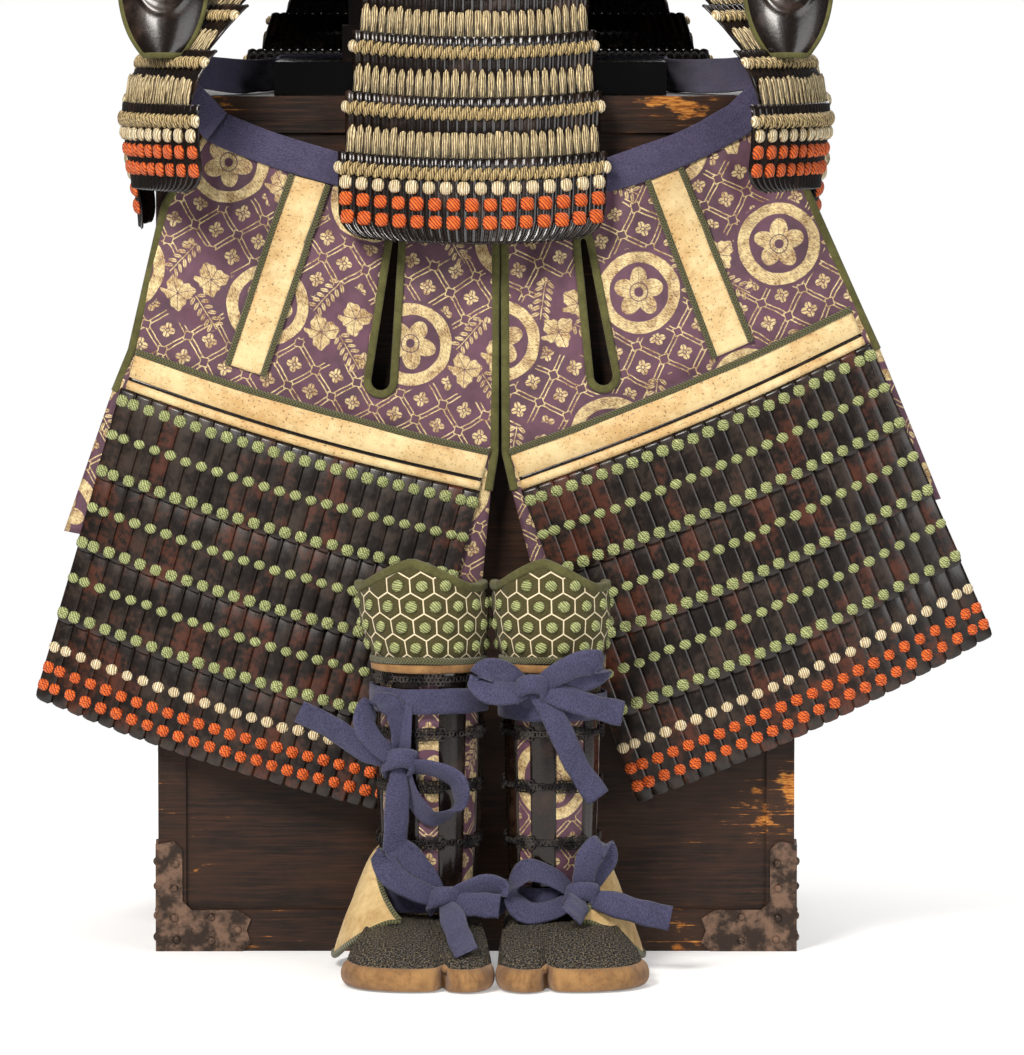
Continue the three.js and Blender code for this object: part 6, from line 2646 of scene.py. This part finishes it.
    def build_foot(self) -> None:
        """The split-toed foot guard: mail over its top, suede round its foot."""
        outline, sign = self.foot_outline(), self.place.side.value
        centre, samples = self.place.foot_x, 132
        levels = [(0.0, 56.0), (0.2, 52.5), (0.4, 47.0), (0.65, 38.5), (0.8, 31.0), (0.9, 22.0), (0.97, 12.0),
                  (0.985, 8.0)]
        top_rows, top_flat = [], []
        for reach, z in levels:
            line, places = [], []
            for index in range(samples + 1):
                share = (index % samples) / samples
                angle = -math.pi / 2 - sign * 2 * math.pi * share
                rim = Vector((self.place.x - centre + 45.5 * math.cos(angle), self.centre_y - 45.5 * math.sin(angle),
                              0))
                at = rim.lerp(outline.point(share), reach)
                at = Vector((centre + at.x, at.y, z + 2.6 * uneven(at.x / 24, at.y / 24) * math.sin(math.pi * reach)))
                line.append(at)
                places.append((at.x, at.y))
            top_rows.append(line)
            top_flat.append(places)
        shape = Shape().grid(top_rows, top_flat)
        if sign < 0:
            shape.faces = [face[::-1] for face in shape.faces]
        shape.build(f"foot_mail_{self.word}", self.finishes.net, "suede", [f"foot_guard_{self.word}"], wall=2.4)
        profile = [(0.93 + 0.09 * math.cos(turn), 12.4 + 11.3 * math.sin(turn)) for turn in steps(12, 2.6, -1.35)]

        def cell(level: Pair, index: int) -> tuple[Vector, Pair]:
            """One point of the welt.

            Args:
                level: how far out it lies, and its height.
                index: its place round the sole.

            Returns:
                The point and its flat place.
            """
            (reach, z), middle = level, Vector((0, -430, 0))
            edge = middle + (outline.point((index % samples) / samples) - middle) * reach
            return Vector((centre + edge.x, edge.y, z)), (index * 6.3, -z)

        welt = Shape().grid(*laid_out(profile, range(samples + 1), cell))
        if sign < 0:
            welt.faces = [face[::-1] for face in welt.faces]
        welt.build(f"foot_welt_{self.word}", self.finishes.welt, "suede", wall=2.0)

    def build_flap(self) -> None:
        """The leather flap round the outer side of the ankle, with its bound edge."""
        sign = self.place.side.value
        scale = self.shin_scale(116)

        def place(part: float, share: float, lift: float) -> Vector:
            """A point of the flap from its front edge to its back one and from its head to its foot.

            Args:
                part: the share from front to back.
                share: the share from head to foot.
                lift: how far it stands out.

            Returns:
                The point.
            """
            extra = 3.3 + lerp(30, 43, eased(part, 0.0, 0.3)) * share ** 0.8 + lift
            turn = lerp(lerp(66, 20, share), 162, part)
            return self.round_leg(self.place.x, self.place.shin_half * scale + extra, self.half_depth * scale + extra,
                                  sign * turn, lerp(118, lerp(54, 12, eased(part, 0.0, 0.45)), share))

        parts = steps(40) if sign > 0 else steps(40, 1.0, 0.0)
        rows = [[place(part, share, 2.0 + 2.4 * uneven(part * 5, share * 3)) for part in parts] for share in steps(30)]
        Shape().grid(rows, measured(rows)).build(f"ankle_leather_{self.word}", self.finishes.suede, "suede",
                                                 [f"ankle_flap_{self.word}"], wall=1.8)
        edge = [place(0.0, share, 1.6) for share in steps(10)] + [place(part, 1.0, 1.6)
                                                                  for part in steps(16, 0.05, 1.0)]
        Shape().ribbon(Spline(edge), Vector((0, -1, 0.4)), 6, 5, 110).build(f"ankle_braid_{self.word}",
                                                                            self.finishes.braid,
                                                                       "binding", closed=True)

    def build_tie(self, spec: TieSpec) -> None:
        """One woven tie: ring, lead, knot, loops and ends.

        Args:
            spec: its sizes and places.
        """
        x, half = self.place.x, self.place.shin_half
        scale = self.shin_scale(spec.ring_z + 12.5)
        swell, width, thick = 4.9, 25.0, 2.2

        def loop_form(share: float) -> tuple[float, float]:
            """A loop pinched at the knot and hollow at its far end.

            Args:
                share: the share of its length.

            Returns:
                How wide it is and how far it stands out.
            """
            swing = math.sin(math.pi * share)
            return 0.55 + 0.5 * swing ** 0.6 + 0.06 * uneven(share * 7, spec.ring_z), 2.6 * swing + uneven(share * 5,
                                                                                                           2.0)

        def end_form(share: float) -> tuple[float, float]:
            """An end pinched at the knot that opens out and curls a little."""
            width = 0.6 + 0.42 * eased(share, 0.02, 0.35) + 0.05 * uneven(share * 6, spec.ring_z)
            return width, 2.2 * uneven(share * 4, 6.0) + 1.2

        def ring(degrees: float, out: float, z: float) -> Vector:
            """A point of the strap round the leg.

            Args:
                degrees: the angle round the leg.
                out: how far it stands out.
                z: the height.

            Returns:
                The point.
            """
            angle = math.radians(degrees)
            back = 0.72 if math.cos(angle) < 0 else 1.0
            return Vector((x + (half * scale + out) * math.sin(angle),
                           self.centre_y - (self.half_depth * scale + out) * back * math.cos(angle), z))

        knot_x, knot_z = spec.knot
        share = min(max((knot_x - x) / (half + 12), -0.9), 0.9)
        hub = Vector((knot_x, self.centre_y - (self.half_depth + 8) * math.sqrt(1 - share ** 2) - 5, knot_z))
        shape = Shape()
        section = [(level, swell + thick + 0.6 * math.cos(level * 3.1)) for level in steps(6, 0.5, -0.5)]
        section += [(-0.5, swell), (0.5, swell), section[0]]
        turns = steps(96, -180, 180)
        rows = [[ring(degrees, out + 0.5 * uneven(degrees / 14, level * 4),
                      spec.ring_z + level * width + 1.2 * uneven(degrees / 25, seed=2)) for degrees in turns]
                for level, out in section]
        shape.grid(rows, [[(level * width, degrees * 0.95) for degrees in turns] for level, _ in section])
        straps = []
        for turn, length, gape in spec.loops:
            angle = math.radians(turn)
            axis, side = Vector((math.cos(angle), 0, math.sin(angle))), Vector((-math.sin(angle), 0, math.cos(angle)))
            straps.append(([hub + axis * (reach * length) + side * (over * gape * length) - Vector((0, out, 0))
                            for reach, over, out in ((0.06, 0, 2), (0.4, 0.26, 11), (0.78, 0.34, 13), (1.0, 0.06, 8),
                                                     (0.84, -0.3, 4), (0.42, -0.24, 1), (0.06, 0, -1))],
                           side + Vector((0, -0.9 * gape, 0)), width * 1.05, loop_form))
        for end_x, out, end_z in spec.ends:
            angle = math.atan2(end_z, end_x)
            straps.append(([hub + Vector((0, -3, 0)), hub + Vector((end_x * 0.3, -out * 0.3 - 7, end_z * 0.22)),
                            hub + Vector((end_x * 0.68, -out * 0.7 - 3, end_z * 0.7)),
                            hub + Vector((end_x, -out, end_z))],
                           Vector((-math.sin(angle), 0.35, math.cos(angle))), width, end_form))
        turn = math.radians(share * 60)
        landing = ring(share * 60, swell + thick / 2, spec.ring_z)
        straps.append(([hub, hub.lerp(landing, 0.5) + Vector((0, -3, 0)), landing],
                       Vector((math.cos(turn), math.sin(turn), 0)), width * 0.9, lambda share: (1.0, 0.0)))
        length = 2 * math.pi * half * 0.93
        for points, side, wide, form in straps:
            path = Spline(points)
            length += path.length
            shape.ribbon(path, side, wide, thick, 40, form=form)
        knot = Spline([hub + Vector((dx, dy, dz)) for dx, dy, dz in (
            (-9, 3, -6), (-12, -6, 2), (-1, -13, 7), (12, -7, 4), (10, 2, -5))])
        shape.ribbon(knot, Vector((0.3, 0, 1)), 24, 6, 24,
                     form=lambda share: (1.0 - 0.2 * math.sin(math.pi * share), 1.5))
        piece = shape.build(f"tie_{spec.word}_{self.word}", self.finishes.tie, "crepe",
                            [f"{spec.word}_tie_{self.word}"],
                            closed=True)
        f"shin_cloth_{self.word}"

    def build(self) -> None:
        """Build the whole leg."""
        self.build_shin()
        self.build_knee()
        self.build_foot()
        self.build_flap()
        for spec in self.ties:
            self.build_tie(spec)


# Arms --------------------------------------------------------------------------------------------


@dataclass
class Arm:
    """One sleeve with its splints and its hand guard.

    Attributes:
        side: the arm's side.
        finishes: every finish.
        rings: the sleeve's middle line and radius, as x, y, z and radius.
        guard: the hand guard's middle, and its length, width, crown and lean.
    """

    side: Side
    finishes: Finishes
    rings: tuple[tuple[float, float, float, float], ...] = (
        (252, -106, 1460.8, 56), (276, -100, 1370, 62), (288, -104, 1270, 57), (298, -130, 1180, 52),
        (303, -190, 1090, 47),
        (304, -238, 1030, 42))
    guard: tuple[float, float, float] = (309.0, -266.5, 977.0)
    guard_length: float = 150.0
    guard_width: float = 86.0
    crown: float = 14.0
    guard_lean: float = 52.5

    def __post_init__(self) -> None:
        """Lay the sleeve's middle line."""
        self.line = Spline([Vector((self.side.value * x, y, z)) for x, y, z, _ in self.rings])

    def sleeve(self, degrees: float, share: float, lift: float) -> Vector:
        """A point of the sleeve at an angle from the front towards the right.

        Args:
            degrees: the angle.
            share: the share of its length.
            lift: how far it stands out.

        Returns:
            The point.
        """
        place = share * (len(self.rings) - 1)
        index = min(int(place), len(self.rings) - 2)
        radius = lerp(self.rings[index][3], self.rings[index + 1][3], place - index) + lift
        along = (self.line.point(min(share + 0.01, 1)) - self.line.point(max(share - 0.01, 0))).normalized()
        right = Vector((0, 1, 0)).cross(along) * -1.0
        right.normalize()
        front = along.cross(right)
        angle = math.radians(degrees)
        return self.line.point(share) + right * (radius * math.sin(angle)) + front * (radius * math.cos(angle))

    def build_sleeve(self) -> None:
        """The brocade tube, its soft folds, its splints and its bound ends."""
        def lift(degrees: float, share: float) -> float:
            """How far its creases raise the sleeve.

            Args:
                degrees, share: the place.

            Returns:
                The lift.
            """
            return 1.6 * uneven(degrees / 50, share * 14, seed=self.side.value) * math.sin(math.pi * share)

        turns, shares = steps(48, -180, 180), steps(56)
        rows = [[self.sleeve(degrees, share, lift(degrees % 360, share)) for degrees in turns] for share in shares]
        flat = [[(degrees * 0.95, -share * 460) for degrees in turns] for share in shares]
        word = self.side.word
        piece = Shape().grid(rows, flat).build(f"arm_sleeve_{word}", self.finishes.brocade, "brocade",
                                               [f"sleeve_{word}"],
                                               wall=2.2)
        splints = Shape()
        for middle in (-60, -30, 0, 30, 60):
            across = {-9: 0.4, -8: 2.4, -4: 3.0, 0: 3.3, 4: 3.0, 8: 2.4, 9: 0.4}
            for low, high in ((0.66, 0.97), (0.2, 0.48)):
                levels = [low, low + 0.008, *steps(10, low + 0.03, high - 0.03), high - 0.008, high]
                splints.grid([[self.sleeve(middle + over, level, rise - 2.4 * (level in (low, high)))
                               for over, rise in across.items()] for level in levels],
                             [[(over * 0.9, -level * 460) for over in across] for level in levels])
        splints.build(f"arm_splints_{word}", self.finishes.lacquer, "black_lacquer", wall=1.6)
        rims = Shape()
        for share in (0.004, 0.996):
            path = Spline([self.sleeve(degrees, share, 0.5) for degrees in steps(24, -180, 180)])
            rims.ribbon(path, self.line.along(share), 9, 5, 72)
        rims.build(f"arm_rims_{word}", self.finishes.felt, "binding", closed=True)

    def guard_place(self, u: float, v: float) -> Vector:
        """The hand guard's face: u across it and v down it.

        Args:
            u, v: the place.

        Returns:
            The point.
        """
        across, down = 2 * u - 1, 2 * v - 1
        half = 0.5 * math.sqrt(max(0.16, 1 - 0.86 * down ** 2))
        bulge = self.crown * (1 - across ** 2) * (1 - 0.5 * down ** 2)
        x, y, z = self.guard
        return Vector((self.side.value * x + across * half * self.guard_width, y - bulge - self.guard_lean * v,
                       z + (0.5 - v) * self.guard_length))

    def build_guard(self) -> None:
        """The embossed hand guard with its rolled rim."""
        def relief(u: float, v: float) -> float:
            """How far the guard's ribs stand out.

            Args:
                u, v: the place.

            Returns:
                The relief.
            """
            ring = math.hypot((u - 0.5) * 2.6, (v - 0.5) * 3.6)
            groove = 0.9 * math.exp(-((ring - 0.8) / 0.07) ** 2) + 0.6 * math.exp(-((ring - 0.5) / 0.06) ** 2)
            petals = 0.8 * max(0.0, math.cos(5 * math.atan2(v - 0.5, u - 0.5))) * math.exp(-((ring - 0.3) / 0.16) ** 2)
            return 2.2 + groove + petals

        rows = on_surface(self.guard_place, steps(48), steps(64), relief)
        word = self.side.word
        Shape().grid(rows, measured(rows)).build(f"hand_plate_{word}", self.finishes.lacquer, "black_lacquer",
                                                 [f"hand_guard_{word}"], wall=2.0)
        rim = [self.guard_place(1.0, v) for v in steps(16)] + [self.guard_place(u, 1.0) for u in steps(6, 0.85, 0.15)]
        rim += [self.guard_place(0.0, v) for v in steps(16, 1.0, 0.0)] + [self.guard_place(u, 0.0)
                                                                          for u in steps(6, 0.15, 0.85)]
        rim.append(rim[0])
        Shape().ribbon(Spline(rim), Vector((0, 1, 0)), 7.0, 6.0, 200).build(f"hand_rim_{word}", self.finishes.felt,
                                                                            "binding",
                                                                            closed=True)

    def build(self) -> None:
        """Build the whole arm."""
        self.build_sleeve()
        self.build_guard()


# Helmet ------------------------------------------------------------------------------------------


@dataclass
class Helmet:
    """The ridged bowl with its visor, and the laced neck guard.

    Attributes:
        finishes: every finish.
        trims: the repeated lacing.
        centre: the middle of the bowl's rim.
        radius, height, stretch: the bowl's sizes, stretched from front to back.
        plates: number of its ridged plates.
        opening: half the neck guard's open angle at the front, in degrees.
    """

    finishes: Finishes
    trims: Trims
    centre: tuple[float, float, float] = (-12.0, -100.0, 1640.0)
    radius: float = 118.0
    height: float = 128.0
    stretch: float = 1.12
    plates: int = 32
    opening: float = 72.0

    def bowl(self, turn: float, rise: float, lift: float) -> Vector:
        """A point of the bowl at an angle round it and an angle up it, both in degrees.

        Args:
            turn, rise: the two angles.
            lift: how far it stands out.

        Returns:
            The point.
        """
        x, y, z = self.centre
        reach, angle = (self.radius + lift) * math.cos(math.radians(rise)), math.radians(turn)
        return Vector((x + reach * math.sin(angle), y - self.stretch * reach * math.cos(angle),
                       z + (self.height + lift) * math.sin(math.radians(rise))))

    def build_bowl(self) -> None:
        """The bowl of ridged plates with its rim band and its crown ring."""
        pattern = [(0.0, 2.2), (0.06, 0.4), (0.3, 0.0), (0.7, 0.1), (0.94, 0.5)]
        turns = [((plate + part) * 360 / self.plates, lift) for plate in range(self.plates) for part, lift in pattern]
        turns.append((360.0, 2.2))
        rises = [84.0, 80.0, *steps(22, 76, 4), 0.0]
        rows = [[self.bowl(turn - 180, rise, lift * min(1.0, (86 - rise) / 12)) for turn, lift in turns]
                for rise in rises]
        flat = [[(turn * 2.0, -rise * 2.2) for turn, _ in turns] for rise in rises]
        Shape().grid(rows, flat).build("helmet_plates", self.finishes.lacquer, "black_lacquer", ["helmet_bowl"],
                                       wall=2.4)
        crown = Shape()
        profile = [(84.5, -0.5), (81.0, 3.4), (80.0, 4.4), (83.0, 5.4), (85.5, 7.0), (87.0, 5.0), (90.0, 4.4)]
        crown.grid([[self.bowl(turn, rise, lift) for turn in steps(24, 180, -180)] for rise, lift in profile],
                   [[(turn, rise) for turn in steps(24, 180, -180)] for rise, _ in profile])
        crown.build("helmet_crown", self.finishes.brass, "black_lacquer", closed=True)
        band = [[self.bowl(turn, 0, lift) + Vector((0, 0, z)) for turn in steps(96, -180, 180)]
                for lift, z in ((0.2, 9.0), (2.6, 8.0), (3.0, 3.0), (2.6, -2.0), (0.2, -3.0))]
        Shape().grid(band, measured(band)).build("helmet_band", self.finishes.lacquer, "black_lacquer", wall=1.6)

    def visor(self, u: float, v: float) -> Vector:
        """The visor: u from left to right and v from the bowl to its edge.

        Args:
            u, v: the place.

        Returns:
            The point.
        """
        x, y, z = self.centre
        angle = math.radians(lerp(-66, 66, u))
        reach = self.radius - 4 + 58 * v * math.cos(angle) ** 0.6
        return Vector((x + reach * math.sin(angle), y - self.stretch * reach * math.cos(angle), z + 6 - 24 * v))

    def build_visor(self) -> None:
        """The visor with its rolled rim and its rivets."""
        rows = on_surface(self.visor, steps(60), steps(16), lambda u,
                          v: 2.5 + 1.2 * math.exp(-((v - 0.94) / 0.05) ** 2))
        Shape().grid(rows, measured(rows)).build("helmet_visor", self.finishes.lacquer, "black_lacquer", wall=2.4)
        rivets = Scatter(Shape().dome(7, 7, 3.2, sides=10, rings=3), "helmet_rivets", "black_lacquer")
        for u in steps(12, 0.06, 0.94):
            rivets.put(self.visor(u, 0.2) + normal_at(self.visor, u, 0.2) * 2.4, Vector((1, 0, 0)),
                       normal_at(self.visor, u, 0.2))
        for turn in steps(24, -172.5, 172.5):
            out = self.bowl(turn, 0, 5) - self.bowl(turn, 0, 0)
            rivets.put(self.bowl(turn, 0, 3.0) + Vector((0, 0, 3)), out.cross(Vector((0, 0, -1))), out)
        rivets.build(self.finishes.brass)

    def build_neck(self) -> None:
        """The laced neck guard round the back."""
        mean = 176.0

        def place(across: float, run: float, lift: float) -> Vector:
            """A point of the neck guard.

            Args:
                across: the arc from its middle.
                run: how far down.
                lift: how far it stands out.

            Returns:
                The point.
            """
            angle = math.pi + across / mean
            share = max(0.0, run / 132)
            reach = lerp(121.1, 196, share ** 0.8) + lift
            x, y, z = self.centre
            return Vector((x + reach * math.sin(angle), y - self.stretch * reach * math.cos(angle),
                           z + 8 - 132 * share))

        width = mean * math.radians(360 - 2 * self.opening)
        lames = [Lame(44 * step, 44 * step + 43, width, lip=3.5, tuck=0.3) for step in range(3)]
        LacedPanel("neck_lames", "helmet_neck_guard", place, lames).build(self.finishes, self.trims)

    def build(self) -> None:
        """Build the whole helmet."""
        self.build_bowl()
        self.build_visor()
        self.build_neck()


# Studio ------------------------------------------------------------------------------------------


CAMERA_PLACE = (0.036, -7.54, 1.0)
CAMERA_TILT = 4.48  # degrees below the level
CAMERA_LENS, CAMERA_SENSOR = 249.1, 36.0
FLOOR_HALF = 1.6
LIGHT_TARGET = (0, -0.1, 0.75)


def build_studio() -> None:
    """The white floor, the soft lights and the camera at the picture's angle."""
    bpy.context.scene.view_settings.view_transform = "Standard"
    camera = bpy.data.objects.new("camera", bpy.data.cameras.new("camera"))
    camera.data.lens, camera.data.sensor_width = CAMERA_LENS, CAMERA_SENSOR
    camera.location = CAMERA_PLACE
    camera.rotation_euler = (math.radians(90 - CAMERA_TILT), 0, 0)
    camera.data.clip_end = 100
    bpy.context.scene.collection.objects.link(camera)
    bpy.context.scene.camera = camera
    floor = bpy.data.objects.new("floor", bpy.data.meshes.new("floor"))
    work = bmesh.new()
    bmesh.ops.create_grid(work, x_segments=8, y_segments=8, size=FLOOR_HALF)
    work.to_mesh(floor.data)
    work.free()
    paint = Paint("pale_floor", Emission_Color=(1.0, 1.0, 1.0, 1.0), Emission_Strength=0.32)
    floor.data.materials.append(paint.dress((0.8, 0.8, 0.8, 1.0), 0.9))
    bpy.context.scene.collection.objects.link(floor)
    for name, place, size, power, warmth in (
            ("key", (-2.2, -4.6, 4.0), 1.8, 390, 0.9), ("fill", (3.4, -4.4, 2.0), 2.6, 100, 1.0),
            ("top", (0.4, 0.4, 4.6), 2.4, 110, 0.95), ("back", (0.8, 4.0, 3.0), 3.0, 80, 1.0)):
        light = bpy.data.objects.new(name, bpy.data.lights.new(name, "AREA"))
        light.data.size, light.data.energy = size, power
        light.data.color = (1.0, lerp(1.0, warmth, 0.5), warmth)
        light.location = place
        light.rotation_euler = (Vector(LIGHT_TARGET) - Vector(place)).to_track_quat("-Z", "Y").to_euler()
        bpy.context.scene.collection.objects.link(light)
    world = bpy.data.worlds.new("studio")
    world.use_nodes = True
    tree = world.node_tree
    path, strength = tree.nodes.new("ShaderNodeLightPath"), tree.nodes.new("ShaderNodeMath")
    strength.operation = "MULTIPLY_ADD"
    strength.inputs[1].default_value, strength.inputs[2].default_value = 0.86, 0.14
    tree.nodes["Background"].inputs["Color"].default_value = (1.0, 1.0, 1.0, 1.0)
    tree.links.new(path.outputs["Is Camera Ray"], strength.inputs[0])
    tree.links.new(strength.outputs[0], tree.nodes["Background"].inputs["Strength"])
    bpy.context.scene.world = world


# The whole armour --------------------------------------------------------------------------------


def thigh_halves(finishes: Finishes) -> dict[Side, ThighGuard]:
    """Both halves of the thigh guard with their own sizes.

    Args:
        finishes: the armour's finishes.

    Returns:
        The two halves by their sides.
    """
    left = ThighGuard(
        Side.LEFT, finishes, 7.7e-4,
        (Row((22, 763), (-268, 829)), Row((22, 690), (-313, 752)), Row((21, 505), (-347, 607)),
         Row((15, 467), (-364, 566)),
         Row((6, 374), (-414, 424))),
        (Row((4, 467), (-354, 569)), Row((-84, 144), (-441, 255))),
        (Pleat(-244, -266, 6, 15, 680), Pleat(-212, -240, -4, 16, 660), Pleat(-118, -126, 5, 17, 600),
         Pleat(-36, -50, 5, 17, 560), Pleat(-4, -12, -4, 15, 590)),
        (Crease((-246, 806), (-250, 741), -5, 7), Crease((-130, 721), (-123, 656), -4, 8),
         Crease((-205, 571), (-86, 531), -5, 9), Crease((-61, 626), (-26, 581), -4, 10),
         Crease((-315, 656), (-275, 626), -2.5, 9), Crease((-46, 706), (-21, 626), -3, 9),
         Crease((-180, 800), (-168, 700), -3, 9), Crease((-290, 700), (-262, 620), 2.5, 12)),
        Slit((-80, 716), (-95, 577)), ((0.575, 0.69), (0.645, 0.735)), 15, (0.42, 0.45), 0.128)
    right = ThighGuard(
        Side.RIGHT, finishes, 1.22e-3,
        (Row((26.4, 763), (272, 838)), Row((26.4, 690), (328, 776)), Row((27.5, 505), (386, 647)),
         Row((36, 467), (404, 608)),
         Row((58, 382), (467, 456))),
        (Row((46, 468), (393, 614)), Row((163, 155), (518, 316))),
        (Pleat(54, 48, -4, 15, 590), Pleat(76, 82, 5, 15, 570), Pleat(152, 158, 5, 16, 610),
         Pleat(214, 242, -4, 16, 660),
         Pleat(242, 272, 6, 15, 690)),
        (Crease((284, 816), (296, 741), -4, 8), Crease((170, 716), (176, 640), -3.5, 9),
         Crease((240, 590), (120, 541), -4.5, 9), Crease((92, 640), (70, 585), -4, 10),
         Crease((350, 700), (318, 640), -2.5, 9), Crease((96, 700), (72, 622), -3, 9),
         Crease((226, 812), (222, 716), 2.5, 10)),
        Slit((107, 716), (127, 582)), ((0.575, 0.695), (0.603, 0.7)), -19, (0.42, 0.46), 0.131)
    return {Side.LEFT: left, Side.RIGHT: right}


def main() -> None:
    """Build the armour, piece by piece."""
    logging.basicConfig(level=logging.INFO, format="%(name)s %(message)s")
    build_studio()
    finishes, trims = Finishes(), Trims()
    halves = thigh_halves(finishes)
    Waistband(finishes, halves).build()
    knots = {
        (Knot.CROSS, "green"): Scatter(cross_knot(), "knots_green_cross", "lacing"),
        (Knot.ROUND, "green"): Scatter(Shape().dome(12.5, 10.5, 3.6, sides=12, rings=3), "knots_green_round",
                                       "lacing"),
        (Knot.EYE, "cream"): Scatter(Shape().dome(12.5, 11.5, 3.4, sides=12, rings=3), "knots_cream_eye", "lacing"),
        (Knot.CROSS, "orange"): Scatter(cross_knot(), "knots_orange_cross", "lacing"),
    }
    for half in halves.values():
        half.build(knots)
    colours = {"green": finishes.green, "cream": finishes.cream, "orange": finishes.orange}
    for (_, colour), scatter in knots.items():
        scatter.build(colours[colour])
    Trunk(finishes, trims).build()
    Storage(finishes).build()
    tufts = Scatter(Shape().dome(12.5, 11.5, 3.4, 20, sides=12, rings=3).dome(11.5, 3.2, 4.2, 35, sides=6),
                    "knee_tufts",
                    "padded_cloth")
    legs = (
        Leg(LegPlace(Side.LEFT, -46, -54, -54, 52, (-83, -27.6, 27.6, 83)), (
            TieSpec("shin", 269, (-74, 208), ((-40, 70, 1.0), (112, 66, 0.75)), ((-99, 4, 52), (-6, 6, -92))),
            TieSpec("ankle", 72, (-30, 72), ((140, 76, 0.45), (8, 56, 0.6)), ((22, 112, -36), (54, 22, -2)))), finishes,
            tufts),
        Leg(LegPlace(Side.RIGHT, 76, 74, 93, 47, (-64, -12, 57)), (
            TieSpec("shin", 262, (55, 281), ((165, 52, 0.6), (20, 72, 0.35)), ((66, 6, -106), (90, -4, -24))),
            TieSpec("ankle", 72, (104, 76), ((172, 68, 0.9), (68, 54, 0.4)), ((88, 12, -20), (-10, 46, -14)))),
            finishes, tufts),
    )
    for leg in legs:
        leg.build()
    tufts.build(finishes.green)
    for side in Side:
        Arm(side, finishes).build()
    Helmet(finishes, trims).build()
    trims.build(finishes)


def cross_knot() -> Shape:
    """A squarish knot with one strand laid over it."""
    return Shape().dome(12.5, 12.0, 3.4, -6, sides=12, rings=3, square=0.72).dome(14.0, 4.0, 4.4, 38, sides=8)


if __name__ == "__main__":
    main()
